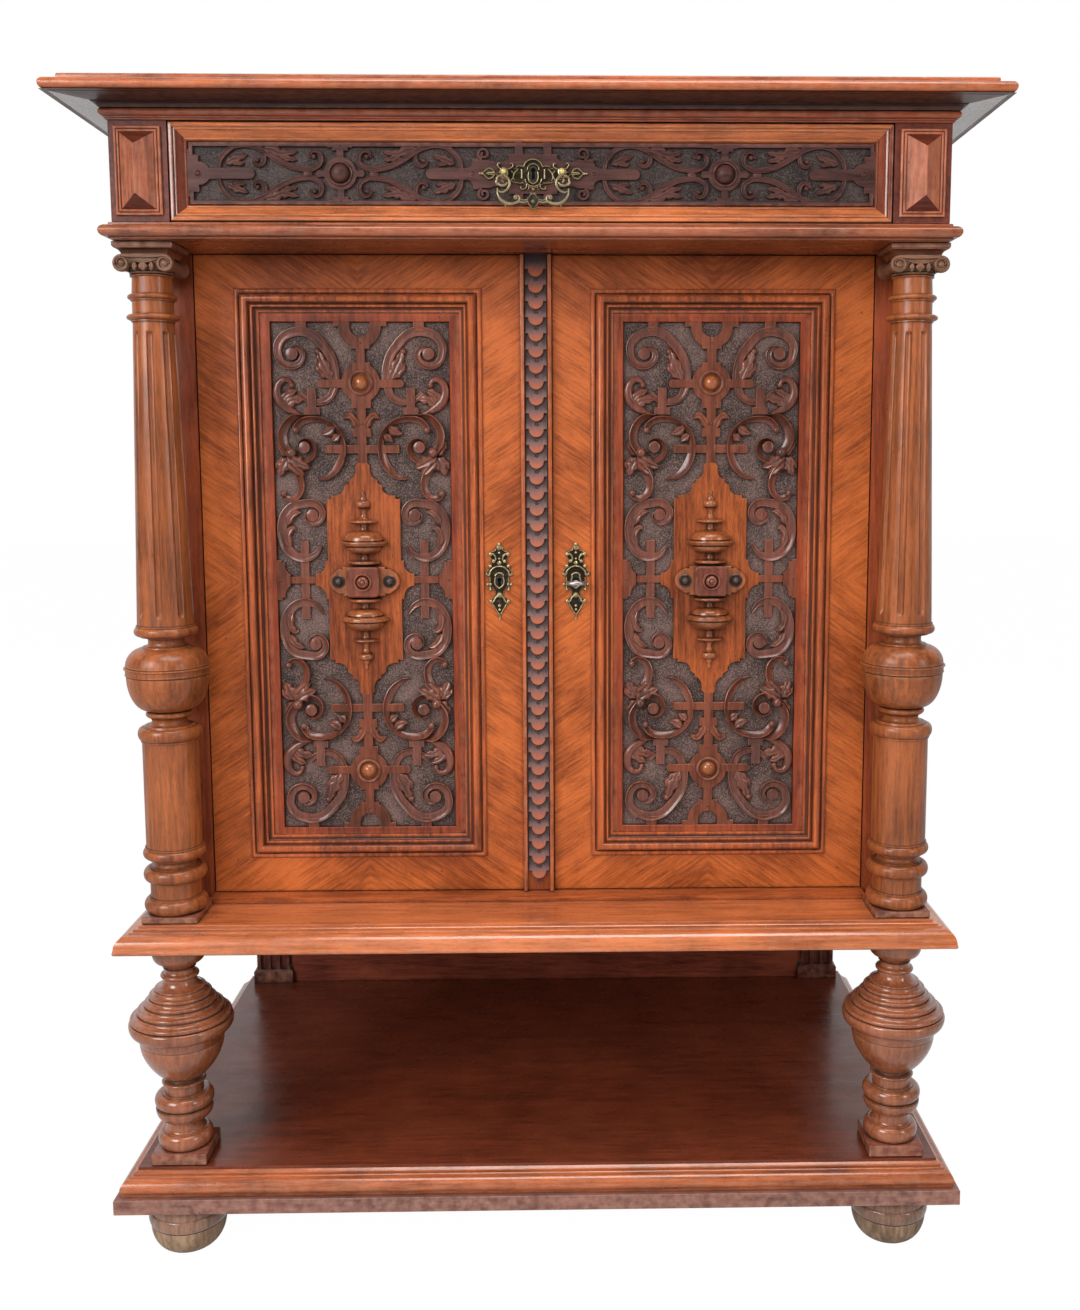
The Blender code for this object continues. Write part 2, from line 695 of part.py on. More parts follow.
def build_capitals(wood):
    """Scroll capitals: a block with a volute at each corner, under a hollowed abacus."""
    high = Z_WAIST - SEAM
    scroll_z = high - CAPITAL_HEIGHT + VOLUTE_RADIUS
    abacus_low = high - ABACUS_HEIGHT
    reach = VOLUTE_SPACING / 2
    half = ABACUS_SIDE / 2
    neck_half = half - 0.009
    right_half = [(0.0, scroll_z - 0.008), (reach - VOLUTE_RADIUS * 0.8, scroll_z - 0.006)]
    right_half += arc((reach, scroll_z), VOLUTE_RADIUS, 215.0, 450.0, 10)
    right_half += [(reach - 0.002, abacus_low + SEAM), (0.0, abacus_low + SEAM)]
    abacus = [
        (neck_half, abacus_low),
        (neck_half + 0.0030, abacus_low + 0.0045),
        (half - 0.001, abacus_low + 0.0075),
        (half, abacus_low + 0.0082),
        (half, high),
    ]
    for side, word in SIDES:
        centre = side * COLUMN_X
        outline = [(centre + x, z) for x, z in right_half]
        outline += [(centre - x, z) for x, z in reversed(right_half[1:-1])]
        depth = half - 0.003
        block = add_part(f"capital_{word}", prism(outline, COLUMN_Y - depth, COLUMN_Y + depth, "y"), wood)
        rings = []
        for reach_out, level in abacus:
            corners = ((-1, -1), (1, -1), (1, 1), (-1, 1))
            rings.append([(centre + reach_out * a, COLUMN_Y + reach_out * b, level) for a, b in corners])
        join(block, skin(rings))


def build_cupboard(wood, lining):
    """Cupboard sides with their front posts, the back, the sill and the inner shelf."""
    low = Z_FLOOR + SEAM
    high = Z_WAIST - SEAM
    plan = [
        (OPENING_HALF, DOOR_FRONT),
        (CUPBOARD_HALF, DOOR_FRONT),
        (CUPBOARD_HALF, BACK),
        (SIDE_INNER, BACK),
        (SIDE_INNER, DOOR_FRONT + FRONT_POST_DEPTH),
        (OPENING_HALF, DOOR_FRONT + FRONT_POST_DEPTH),
    ]
    shelf_low = Z_FLOOR + SHELF_HEIGHT
    shelf_front = DOOR_BACK + SHELF_SETBACK
    housing = SIDE_INNER + SHELF_HOUSING
    for side, word in SIDES:
        board = add_part(f"cupboard_side_{word}", prism(mirrored(plan, side), low, high), wood)
        cut(board, side_field(side, low, high))
        groove_x = sorted((side * (SIDE_INNER - SHELF_HOUSING), side * housing))
        groove_z = (shelf_low - SEAM, shelf_low + SHELF_THICKNESS + SEAM)
        cut(board, box(groove_x, (shelf_front - SEAM, BACK_FACE), groove_z))
    shelf_half = housing - SEAM
    shelf_z = (shelf_low, shelf_low + SHELF_THICKNESS)
    add_part("inner_shelf", box((-shelf_half, shelf_half), (shelf_front, BACK_FACE - SEAM), shelf_z), lining)
    back_half = SIDE_INNER - SEAM
    add_part("back_panel", box((-back_half, back_half), (BACK_FACE, BACK), (low, Z_CORNICE - SEAM)), lining)
    sill_half = OPENING_HALF - SEAM
    sill_front = DOOR_FRONT - SILL_FRONT_STEP
    sill_y = (sill_front, sill_front + SILL_DEPTH)
    sill = add_part("door_sill", box((-sill_half, sill_half), sill_y, (low, Z_FLOOR + SILL_HEIGHT)), wood)
    for side, _ in SIDES:
        place = (side * PIVOT_X, PIVOT_Y, 0.0)
        cut(sill, cylinder(place, PIVOT_RADIUS + PIN_FIT, Z_FLOOR - SILL_HEIGHT, DOOR_BOTTOM, PIN_SIDES))


def side_field(side, low, high):
    """The sunk field of a cupboard side, with sloping edges."""
    rings = []
    slope = SIDE_FIELD_DEPTH
    for reach, inset in ((SIDE_FIELD_DEPTH, -slope), (-SIDE_FIELD_DEPTH, slope)):
        x = side * (CUPBOARD_HALF + reach)
        y0 = DOOR_FRONT + SIDE_FIELD_MARGIN + inset
        y1 = BACK - SIDE_FIELD_MARGIN - inset
        z0 = low + SIDE_FIELD_MARGIN + inset
        z1 = high - SIDE_FIELD_MARGIN - inset
        rings.append([(x, y0, z0), (x, y1, z0), (x, y1, z1), (x, y0, z1)])
    return skin(rings)


def build_waist(wood):
    """The board over the doors, on which the drawer runs, and the half-round moulding round it."""
    reach = WAIST_INSET + WAIST_PROJECTION
    outline = [
        (0.0, Z_WAIST),
        (WAIST_INSET + 0.0035, Z_WAIST),
        (WAIST_INSET + 0.0035, Z_WAIST + 0.003),
    ]
    outline += arc((reach - 0.0055, Z_WAIST + 0.0095), 0.0055, -90.0, 90.0, 6)
    outline += [
        (WAIST_INSET + 0.003, Z_WAIST + 0.0160),
        (WAIST_INSET + 0.003, Z_FRIEZE - 0.0006),
        (0.0, Z_FRIEZE),
    ]
    add_part("waist_moulding", u_moulding(outline, WAIST_HALF + SEAM, WAIST_FRONT - SEAM, BACK), wood)
    board_y = (WAIST_FRONT, BACK_FACE - SEAM)
    board = add_part("waist_board", box((-WAIST_HALF, WAIST_HALF), board_y, (Z_WAIST, Z_FRIEZE)), wood)
    for side, _ in SIDES:
        place = (side * PIVOT_X, PIVOT_Y, 0.0)
        cut(board, cylinder(place, PIVOT_RADIUS + PIN_FIT, DOOR_TOP, Z_WAIST + PIVOT_DEPTH, PIN_SIDES))


def build_frieze(wood, dark_wood):
    """Frieze ends with their diamond blocks."""
    low = Z_FRIEZE + SEAM
    high = Z_CORNICE - SEAM
    inner = FRIEZE_HALF - FRIEZE_BLOCK_WIDTH
    plan = [
        (inner, FRIEZE_FRONT),
        (FRIEZE_HALF, FRIEZE_FRONT),
        (FRIEZE_HALF, BACK),
        (SIDE_INNER, BACK),
        (SIDE_INNER, FRIEZE_FRONT + FRIEZE_BLOCK_DEPTH),
        (inner, FRIEZE_FRONT + FRIEZE_BLOCK_DEPTH),
    ]
    for side, word in SIDES:
        add_part(f"frieze_end_{word}", prism(mirrored(plan, side), low, high), dark_wood)
        x_range = sorted((side * (inner + DIAMOND_MARGIN), side * (FRIEZE_HALF - DIAMOND_MARGIN)))
        z_range = (low + DIAMOND_MARGIN, high - DIAMOND_MARGIN)
        half = (x_range[1] - x_range[0]) / 2
        front = FRIEZE_FRONT - SEAM
        levels = [
            (0.0, front - 0.004),
            (DIAMOND_RIM - 0.002, front - 0.005),
            (DIAMOND_RIM, front - 0.003),
            (half - 0.0004, front - DIAMOND_RISE),
        ]
        add_part(f"diamond_{word}", stepped_panel(levels, x_range, z_range, front), wood)


def build_cornice(wood):
    """The cornice board and the overhanging top."""
    low = Z_CORNICE
    reach = CORNICE_PROJECTION
    steps = [
        (0.0015, low),
        (0.0040, low + 0.0025),
        (0.0040, low + 0.0045),
        (0.0075, low + 0.0070),
        (reach - 0.002, low + 0.0105),
        (reach, low + 0.0110),
        (reach, Z_TOP - SEAM),
    ]
    add_part("cornice", moulded_board(steps, FRIEZE_HALF, FRIEZE_FRONT, BACK), wood)
    nose = TOP_HEIGHT * 0.3
    edge = [(-0.030, Z_TOP), (-nose, Z_TOP)]
    edge += arc((-nose, Z_TOP + nose), nose, -90.0, 90.0, 6)[1:]
    edge += [(-0.0145, Z_TOP + 2 * nose + 0.0008), (-0.0150, Z_TOP + TOP_HEIGHT - 0.001), (-0.0160, Z_TOP + TOP_HEIGHT)]
    front = FRIEZE_FRONT - TOP_FRONT_OVERHANG
    add_part("top_board", moulded_board(edge, FRIEZE_HALF + TOP_SIDE_OVERHANG, front, BACK), wood)


def strapwork_outline():
    """A door's strapwork: a vertical strap, two ring plates, the cartouche and the side straps."""
    strap = STRAP_WIDTH / 2
    ring_z = RING_PLATE_SPACING / 2
    meet = math.degrees(math.asin(strap / RING_PLATE_RADIUS))
    wide = CARTOUCHE_WIDTH / 2
    tall = CARTOUCHE_HEIGHT / 2
    side_strap = 0.005
    outline = [(strap, FIELD_HALF_HEIGHT - SEAM)]
    outline += arc((0.0, ring_z), RING_PLATE_RADIUS, 90.0 - meet, meet - 90.0, 6)
    outline += [(strap, tall + 0.040)]
    outline += arc((strap + 0.020, tall + 0.040), 0.018, 180.0, 270.0, 3)
    outline += arc((wide - 0.002, tall + 0.018), 0.016, 180.0, 270.0, 3)
    outline += [(wide, tall), (wide, 0.020)]
    outline += arc((wide + 0.022, 0.020), 0.014, 180.0, 270.0, 3)
    outline += [(FIELD_HALF - SEAM, side_strap)]
    return four_fold(outline)


def spindle_stations():
    """Widths, rises and levels of the split turning, with its square block in the middle."""
    length = sum(height for _, height, _, _ in SPINDLE_TURNING)
    profile, _ = turned_profile(SPINDLE_TURNING, length, steps=2)
    half = TURNING_BLOCK_SIDE / 2
    upper = [(radius, radius, half + level, False) for radius, level in profile]
    lower = [(width, rise, -level, square) for width, rise, level, square in reversed(upper)]
    block = []
    for chamfer, level in ((0.005, -half), (0.0, 0.005 - half), (0.0, half - 0.005), (0.005, half)):
        block.append((half - chamfer, TURNING_BLOCK_RISE - chamfer * 0.4, level, True))
    return lower + block + upper


def escutcheon_outline():
    """A lobed key plate, widest at the keyhole and pointed above and below."""
    wide = ESCUTCHEON_WIDTH / 2
    tall = ESCUTCHEON_HEIGHT / 2
    return four_fold(
        [
            (0.0016, tall),
            (0.0040, tall - 0.006),
            (wide - 0.0055, tall - 0.014),
            (wide - 0.0060, tall - 0.022),
            (wide - 0.0030, tall - 0.028),
            (wide, 0.008),
            (wide - 0.004, 0.003),
        ]
    )


def keyhole(centre_x, centre_z, low, high):
    """A keyhole's shape, pushed through along Y."""
    slot = KEYHOLE_SLOT / 2
    start = -90.0 + math.degrees(math.asin(slot / KEYHOLE_RADIUS))
    outline = arc((centre_x, centre_z), KEYHOLE_RADIUS, start, 180.0 - start, 12)
    outline += [(centre_x - slot, centre_z - KEYHOLE_DROP), (centre_x + slot, centre_z - KEYHOLE_DROP)]
    return prism(outline, low, high, "y")


def bolection_outline():
    """The section of the door moulding: bead, bold round, small bead, then down to the panel."""
    face = DOOR_FRONT
    crest = face - BOLECTION_CREST
    width = BOLECTION_WIDTH
    outline = [(0.0, face - SEAM), (0.0, face - 0.0045), (0.0012, face - 0.0058), (0.0060, face - 0.0058)]
    outline += [(0.0072, face - 0.0042)]
    outline += [(0.0130 + 0.0052 * math.sin(t), crest + 0.0052 * (1 - math.cos(t))) for t in (-1.2, -0.6, 0.0, 0.6, 1.2)]
    outline += [
        (0.0190, face - 0.0030),
        (0.0215, face - 0.0028),
        (0.0235, face + 0.0005),
        (0.0260, face + 0.0010),
        (width, face + 0.0045),
        (width, PANEL_FRONT - SEAM),
        (BOLECTION_LAP + SEAM, PANEL_FRONT - SEAM),
        (BOLECTION_LAP + SEAM, face - SEAM),
    ]
    return outline


def door_frame_shape(x_range, opening_x):
    """Stiles and rails round a door's panel opening."""
    outer_z = (DOOR_BOTTOM, DOOR_TOP)
    opening_z = (BOLECTION_LOW + BOLECTION_LAP, BOLECTION_HIGH - BOLECTION_LAP)
    rings = []
    for x_pair, z_pair, y in (
        (x_range, outer_z, DOOR_FRONT),
        (opening_x, opening_z, DOOR_FRONT),
        (opening_x, opening_z, DOOR_BACK),
        (x_range, outer_z, DOOR_BACK),
    ):
        rings.append(rectangle(x_pair, z_pair, 0.0, y))
    return skin(rings, loop=True)


def build_door(side, word, materials):
    """One door with its moulding, panel, strapwork, split turning and key plate."""
    pivot = add_pivot(f"{word}_door_pivot", (side * PIVOT_X, PIVOT_Y, DOOR_MIDDLE))
    meeting = MEETING_X + side * MEETING_GAP / 2
    frame_x = sorted((side * DOOR_EDGE, meeting))
    opening_x = sorted((side * (BOLECTION_NEAR + BOLECTION_LAP), side * (BOLECTION_FAR - BOLECTION_LAP)))
    frame = add_part(f"door_frame_{word}", door_frame_shape(frame_x, opening_x), materials["veneer"], pivot)
    pin_place = (side * PIVOT_X, PIVOT_Y, 0.0)
    bore = PIVOT_RADIUS + PIN_FIT
    cut(frame, cylinder(pin_place, bore, DOOR_BOTTOM - SEAM, DOOR_BOTTOM + PIVOT_DEPTH + PIN_FIT, PIN_SIDES))
    cut(frame, cylinder(pin_place, bore, DOOR_TOP - PIVOT_DEPTH - PIN_FIT, DOOR_TOP + SEAM, PIN_SIDES))
    hole_low = DOOR_FRONT - ESCUTCHEON_THICKNESS - BOLECTION_CREST
    cut(frame, keyhole(side * KEY_OFFSET, DOOR_MIDDLE, hole_low, DOOR_BACK + SEAM))
    moulding_x = sorted((side * BOLECTION_NEAR, side * BOLECTION_FAR))
    moulding_z = (BOLECTION_LOW, BOLECTION_HIGH)
    moulding = mitred_frame(bolection_outline(), moulding_x, moulding_z)
    add_part(f"door_moulding_{word}", moulding, materials["walnut"], pivot)
    build_door_panel(side, word, opening_x, materials, pivot)
    place = (side * KEY_OFFSET, DOOR_MIDDLE)
    outline = [(place[0] + x, place[1] + z) for x, z in escutcheon_outline()]
    plate_y = (DOOR_FRONT - SEAM - ESCUTCHEON_THICKNESS, DOOR_FRONT - SEAM)
    plate = add_part(f"escutcheon_{word}", prism(outline, *plate_y, "y"), materials["brass"], pivot)
    cut(plate, keyhole(*place, hole_low, DOOR_FRONT))
    build_door_pins(side, word, materials)
    return pivot


def build_door_panel(side, word, opening_x, materials, pivot):
    """A door's sunk panel, its strapwork and the split turning on it."""
    panel_x = (opening_x[0] + SEAM, opening_x[1] - SEAM)
    panel_z = (BOLECTION_LOW + BOLECTION_LAP + SEAM, BOLECTION_HIGH - BOLECTION_LAP - SEAM)
    border = BOLECTION_WIDTH + PANEL_BORDER - BOLECTION_LAP - SEAM
    levels = [(0.0, PANEL_FRONT), (border, PANEL_FRONT), (border, FIELD_GROUND)]
    panel = stepped_panel(levels, panel_x, panel_z, PANEL_FRONT + PANEL_THICKNESS)
    add_part(f"door_panel_{word}", panel, materials["dark_walnut"], pivot)
    middle = (side * PANEL_X, DOOR_MIDDLE)
    outline = [(middle[0] + x, middle[1] + z) for x, z in strapwork_outline()]
    strap_y = (STRAP_FRONT, FIELD_GROUND - SEAM)
    add_part(f"door_strapwork_{word}", prism(outline, *strap_y, "y"), materials["walnut"], pivot)
    centre = (middle[0], STRAP_FRONT - SEAM, middle[1])
    spindle = half_turned(spindle_stations(), centre, SPINDLE_SIDES)
    add_part(f"split_turning_{word}", spindle, materials["walnut"], pivot, smooth=True)


def build_door_pins(side, word, materials):
    """The two pivot pins of a door, one in the sill and one in the waist board."""
    place = (side * PIVOT_X, PIVOT_Y, 0.0)
    lower = cylinder(place, PIVOT_RADIUS, Z_FLOOR + SEAM, DOOR_BOTTOM + PIVOT_DEPTH, PIN_SIDES)
    add_part(f"lower_pivot_{word}", lower, materials["steel"], smooth=True)
    upper = cylinder(place, PIVOT_RADIUS, DOOR_TOP - PIVOT_DEPTH, Z_WAIST + PIVOT_DEPTH - SEAM, PIN_SIDES)
    add_part(f"upper_pivot_{word}", upper, materials["steel"], smooth=True)


def build_astragal(wood, pivot):
    """The moulded strip that covers the left door's meeting stile."""
    half = ASTRAGAL_WIDTH / 2
    right = MEETING_X - MEETING_GAP / 2
    face = DOOR_FRONT - SEAM
    channel = half - ASTRAGAL_FILLET
    outline = [(-half, face), (-half, face - ASTRAGAL_RISE * 0.85), (-half + 0.001, face - ASTRAGAL_RISE)]
    outline += [(-channel - 0.0008, face - ASTRAGAL_RISE), (-channel, face - ASTRAGAL_RISE * 0.45)]
    for share in (-0.5, 0.0, 0.5):
        outline.append((channel * share, face - ASTRAGAL_RISE * (0.45 + 0.35 * math.cos(share * math.pi))))
    outline += [(channel, face - ASTRAGAL_RISE * 0.45), (channel + 0.0008, face - ASTRAGAL_RISE)]
    outline += [(right - 0.001, face - ASTRAGAL_RISE), (right, face - ASTRAGAL_RISE * 0.85), (right, face)]
    add_part("astragal", prism(outline, DOOR_BOTTOM, DOOR_TOP), wood, pivot)


def build_lock(materials, door_pivot):
    """The rim lock behind the right door: case, bolt and key."""
    metal = materials["steel"]
    front = DOOR_BACK + SEAM
    back = front + LOCK_DEPTH
    low = DOOR_MIDDLE - LOCK_HEIGHT / 2
    high = DOOR_MIDDLE + LOCK_HEIGHT / 2
    far = LOCK_NEAR + LOCK_WIDTH
    case = add_part("lock_case", box((LOCK_NEAR, far), (front, back), (low, high)), metal, door_pivot)
    inside_x = (LOCK_NEAR + LOCK_WALL, far - LOCK_WALL)
    cut(case, box(inside_x, (front - SEAM, back - LOCK_WALL), (low + LOCK_WALL, high - LOCK_WALL)))
    bolt_y0 = front + (LOCK_DEPTH - LOCK_WALL - BOLT_THICKNESS) / 2
    bolt_y = (bolt_y0, bolt_y0 + BOLT_THICKNESS)
    bolt_z0 = DOOR_MIDDLE + BOLT_RAISE - BOLT_HEIGHT / 2
    bolt_z = (bolt_z0, bolt_z0 + BOLT_HEIGHT)
    slot_y = (bolt_y[0] - SEAM, bolt_y[1] + SEAM)
    slot_z = (bolt_z[0] - SEAM, bolt_z[1] + SEAM)
    cut(case, box((LOCK_NEAR - SEAM, LOCK_NEAR + 2 * LOCK_WALL), slot_y, slot_z))
    bolt_pivot = add_pivot("lock_bolt_slide", (LOCK_NEAR, bolt_y0, bolt_z0))
    bolt_pivot.parent = door_pivot
    bolt_pivot.location = [a - b for a, b in zip(bolt_pivot.location, door_pivot.location)]
    build_moved(door_pivot, bolt_pivot, "lock_bolt", box((LOCK_NEAR, LOCK_NEAR + BOLT_LENGTH), bolt_y, bolt_z), metal)
    build_key(metal, door_pivot, back - LOCK_WALL - SEAM)


def build_moved(door_pivot, pivot, name, shape, material):
    """A piece on a pivot that itself rides on a door."""
    points, faces = shape
    base = [a + b for a, b in zip(door_pivot.location, pivot.location)]
    local = [tuple(p - q for p, q in zip(point, base)) for point in points]
    part = bpy.data.objects.new(name, mesh_from(name, (local, faces)))
    part.data.materials.append(material)
    part.parent = pivot
    bpy.context.collection.objects.link(part)
    return part


def build_key(metal, door_pivot, tip):
    """The key: a ring bow lying flat, a shank along Y, and a bit that points down inside the lock."""
    pivot = add_pivot("key_turn", (KEY_OFFSET, DOOR_FRONT, DOOR_MIDDLE))
    pivot.parent = door_pivot
    pivot.location = [a - b for a, b in zip(pivot.location, door_pivot.location)]
    bow_y = DOOR_FRONT - KEY_REACH
    shank = cylinder((KEY_OFFSET, 0.0, DOOR_MIDDLE), KEY_RADIUS, bow_y + BOW_WIRE, tip, PIN_SIDES, "y")
    key = build_moved(door_pivot, pivot, "key", shank, metal)
    bow_radius = BOW_WIDTH / 2 - BOW_WIRE
    bow_depth = 0.72
    centre_y = bow_y - bow_radius * bow_depth + 2 * BOW_WIRE
    rings = []
    for a, b in arc((0.0, 0.0), 1.0, 0.0, 360.0, 12)[:-1]:
        ring = []
        for c, d in arc((0.0, 0.0), BOW_WIRE, 0.0, 360.0, 6)[:-1]:
            reach = bow_radius + c
            ring.append((KEY_OFFSET + reach * a, centre_y + reach * b * bow_depth, DOOR_MIDDLE + d))
        rings.append(ring)
    join(key, skin(rings, loop=True))
    bit_x = (KEY_OFFSET - BIT_THICKNESS / 2, KEY_OFFSET + BIT_THICKNESS / 2)
    bit_z = (DOOR_MIDDLE - BIT_LENGTH, DOOR_MIDDLE)
    join(key, box(bit_x, (tip - SEAM - BIT_WIDTH, tip - SEAM), bit_z))


def drawer_strapwork_outline():
    """The drawer's strapwork: a bracket behind the pull, straps, ring plates and end brackets."""
    wide = BRACKET_WIDTH / 2
    tall = BRACKET_HEIGHT / 2
    strap = 0.0048
    ring_x = DRAWER_RING_SPACING / 2
    meet = math.degrees(math.asin(strap / DRAWER_RING_RADIUS))
    end = DRAWER_HALF - DRAWER_FRAME - SEAM
    outline = [(0.022, tall)]
    outline += arc((wide - 0.014, tall - 0.010), 0.010, 90.0, 0.0, 3)
    outline += [(wide, tall - 0.012), (wide, strap)]
    outline += arc((ring_x, 0.0), DRAWER_RING_RADIUS, 180.0 - meet, meet, 6)
    outline += [(end - 0.022, strap)]
    outline += arc((end - 0.016, 0.010), 0.006, 200.0, 90.0, 3)
    outline += [(end - 0.008, 0.017), (end, 0.018)]
    return four_fold(outline)


def build_drawer(materials):
    """The frieze drawer, its strapwork and its pull."""
    wood = materials["walnut"]
    lining = materials["lining"]
    low = Z_FRIEZE + DRAWER_GAP
    high = Z_CORNICE - DRAWER_GAP
    slide = add_pivot("drawer_slide", (0.0, FRIEZE_FRONT, DRAWER_MIDDLE))
    face = FRIEZE_FRONT
    levels = [
        (0.0, face),
        (0.0035, face),
        (0.0080, face + 0.0010),
        (0.0110, face + 0.0034),
        (0.0115, face + 0.0050),
        (0.0185, face + 0.0072),
        (0.0190, face + 0.0088),
        (0.0225, face + 0.0100),
        (DRAWER_FRAME, face + 0.0115),
        (DRAWER_FRAME, DRAWER_GROUND),
    ]
    front_back = face + DRAWER_FRONT_THICKNESS
    front = stepped_panel(levels, (-DRAWER_HALF, DRAWER_HALF), (low, high), front_back)
    add_part("drawer_front", front, wood, slide)
    outline = [(x, DRAWER_MIDDLE + z) for x, z in drawer_strapwork_outline()]
    strap_y = (BRACKET_FRONT, DRAWER_GROUND - SEAM)
    add_part("drawer_strapwork", prism(outline, *strap_y, "y"), materials["dark_walnut"], slide)
    run = Z_FRIEZE + SEAM
    box_top = run + DRAWER_SIDE_HEIGHT
    box_front = front_back + SEAM
    box_back = face + DRAWER_LENGTH
    wall = DRAWER_SIDE_THICKNESS
    for side, word in SIDES:
        x_range = sorted((side * (DRAWER_BOX_HALF - wall), side * DRAWER_BOX_HALF))
        add_part(f"drawer_side_{word}", box(x_range, (box_front, box_back), (run, box_top)), lining, slide)
    inner_half = DRAWER_BOX_HALF - wall - SEAM
    inner_x = (-inner_half, inner_half)
    bottom_z = (run + DRAWER_BOTTOM_RAISE, run + DRAWER_BOTTOM_RAISE + DRAWER_BOTTOM_THICKNESS)
    back_z = (bottom_z[1] + SEAM, box_top)
    add_part("drawer_back", box(inner_x, (box_back - wall, box_back), back_z), lining, slide)
    add_part("drawer_bottom", box(inner_x, (box_front, box_back), bottom_z), lining, slide)
    build_pull(materials["brass"], slide)


def build_pull(metal, slide):
    """The drawer pull: a key plate with two ears, and the bail that swings in them."""
    wide = PULL_WIDTH / 2
    tall = PULL_HEIGHT / 2
    ear_x = BAIL_SPACING / 2
    outline = four_fold(
        [
            (0.0115, tall),
            (ear_x - 0.010, tall - 0.006),
            (ear_x - 0.004, tall),
            (ear_x + 0.006, tall - 0.001),
            (ear_x + 0.008, 0.004),
            (wide - 0.010, 0.005),
            (wide, 0.0012),
        ]
    )
    back = BRACKET_FRONT - SEAM
    front = back - PULL_THICKNESS
    shape = prism([(x, DRAWER_MIDDLE + z) for x, z in outline], front, back, "y")
    plate = add_part("pull_plate", shape, metal, slide)
    cut(plate, keyhole(0.0, DRAWER_MIDDLE + KEYHOLE_RADIUS, front - SEAM, back + SEAM))
    for side, _ in SIDES:
        centre = (side * ear_x, 0.0, DRAWER_MIDDLE)
        join(plate, cylinder(centre, EAR_RADIUS, BAIL_Y - EAR_RADIUS, front + SEAM, PIN_SIDES, "y"))
    reach = ear_x + EAR_LENGTH
    cut(plate, cylinder((0.0, BAIL_Y, DRAWER_MIDDLE), BAIL_RADIUS + PIN_FIT, -reach, reach, PIN_SIDES, "x"))
    build_bail(metal, slide)


def build_bail(metal, slide):
    """The bail: a round bar from ear to ear, bowed outwards and hanging down."""
    pivot = add_pivot("bail_pivot", (0.0, BAIL_Y, DRAWER_MIDDLE))
    pivot.parent = slide
    pivot.location = [a - b for a, b in zip(pivot.location, slide.location)]
    ear_x = BAIL_SPACING / 2
    half = BAIL_WIDTH / 2
    drop = BAIL_DROP
    right = [(ear_x - EAR_RADIUS, 0.0), (ear_x + EAR_RADIUS + 0.002, 0.0)]
    right += arc((ear_x + EAR_RADIUS + 0.001, -0.005), 0.0035, 60.0, 0.0, 2, 1.2)
    right += [(half, -drop * 0.55)]
    right += arc((half - 0.012, -drop + 0.010), 0.011, -10.0, -90.0, 3)
    right += [(0.010, -drop)]
    path = right + [(-x, z) for x, z in reversed(right)]
    curve = bpy.data.curves.new("pull_bail", "CURVE")
    curve.dimensions = "3D"
    curve.bevel_depth = BAIL_RADIUS
    curve.bevel_resolution = 1
    curve.use_fill_caps = True
    spline = curve.splines.new("POLY")
    spline.points.add(len(path) - 1)
    for point, (x, z) in zip(spline.points, path):
        point.co = (x, 0.0, z, 1.0)
    bail = bpy.data.objects.new("pull_bail", curve)
    curve.materials.append(metal)
    bail.parent = pivot
    bpy.context.collection.objects.link(bail)


def main():
    clear_scene()
    materials = make_materials()
    wood = materials["walnut"]
    build_feet(wood)
    build_base(wood)
    build_legs(wood)
    build_rear_posts(wood, materials["veneer"])
    build_platform(wood)
    build_columns(wood)
    build_capitals(wood)
    build_cupboard(wood, materials["lining"])
    build_waist(wood)
    build_frieze(wood, materials["dark_walnut"])
    build_cornice(wood)
    pivots = {word: build_door(side, word, materials) for side, word in SIDES}
    build_astragal(wood, pivots["left"])
    build_lock(materials, pivots["right"])
    build_drawer(materials)


main()
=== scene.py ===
"""Looks of the parlour cupboard: turnings, mouldings, carving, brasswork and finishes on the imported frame.

Metres, +Z up, front towards -Y. Drawn sizes are in millimetres and turned into metres by MM.
"""

import math

import bpy
import numpy as np
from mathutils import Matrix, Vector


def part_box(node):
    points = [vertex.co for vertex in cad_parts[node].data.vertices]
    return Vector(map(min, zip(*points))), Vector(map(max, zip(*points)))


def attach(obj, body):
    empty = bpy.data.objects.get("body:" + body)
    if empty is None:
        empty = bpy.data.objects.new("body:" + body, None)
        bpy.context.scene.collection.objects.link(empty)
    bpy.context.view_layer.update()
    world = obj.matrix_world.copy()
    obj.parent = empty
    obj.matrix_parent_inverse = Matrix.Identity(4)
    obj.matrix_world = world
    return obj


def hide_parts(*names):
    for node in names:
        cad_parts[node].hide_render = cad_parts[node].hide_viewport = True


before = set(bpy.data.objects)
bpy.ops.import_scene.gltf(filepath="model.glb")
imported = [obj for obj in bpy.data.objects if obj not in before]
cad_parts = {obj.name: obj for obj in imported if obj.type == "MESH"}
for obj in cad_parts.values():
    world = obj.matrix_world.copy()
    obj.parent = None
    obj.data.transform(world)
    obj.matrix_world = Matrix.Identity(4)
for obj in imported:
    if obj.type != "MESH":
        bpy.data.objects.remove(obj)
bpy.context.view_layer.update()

MM = 0.001
LEFT = -1
RIGHT = 1
SIDES = ((LEFT, "left"), (RIGHT, "right"))
SEED = 7
# Keeps a division by a length from failing where the length is nought
TINY = 1e-12

# Camera, fitted to the photograph
CAMERA_PLACE = (0.03625, -1.80607, 0.9967)
CAMERA_YAW = 1.16
CAMERA_PITCH = -6.82
CAMERA_ROLL = 0.07
CAMERA_LENS = 36.008
CAMERA_SENSOR = 36.0
CAMERA_SHIFT = (-0.0403, -0.0339)

# Planes and centres taken from the frame
PANEL_LOW, PANEL_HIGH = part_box("door_panel_right")
PANEL_X = (PANEL_LOW.x + PANEL_HIGH.x) / 2
PANEL_FRONT = PANEL_LOW.y
DOOR_MIDDLE = (PANEL_LOW.z + PANEL_HIGH.z) / 2

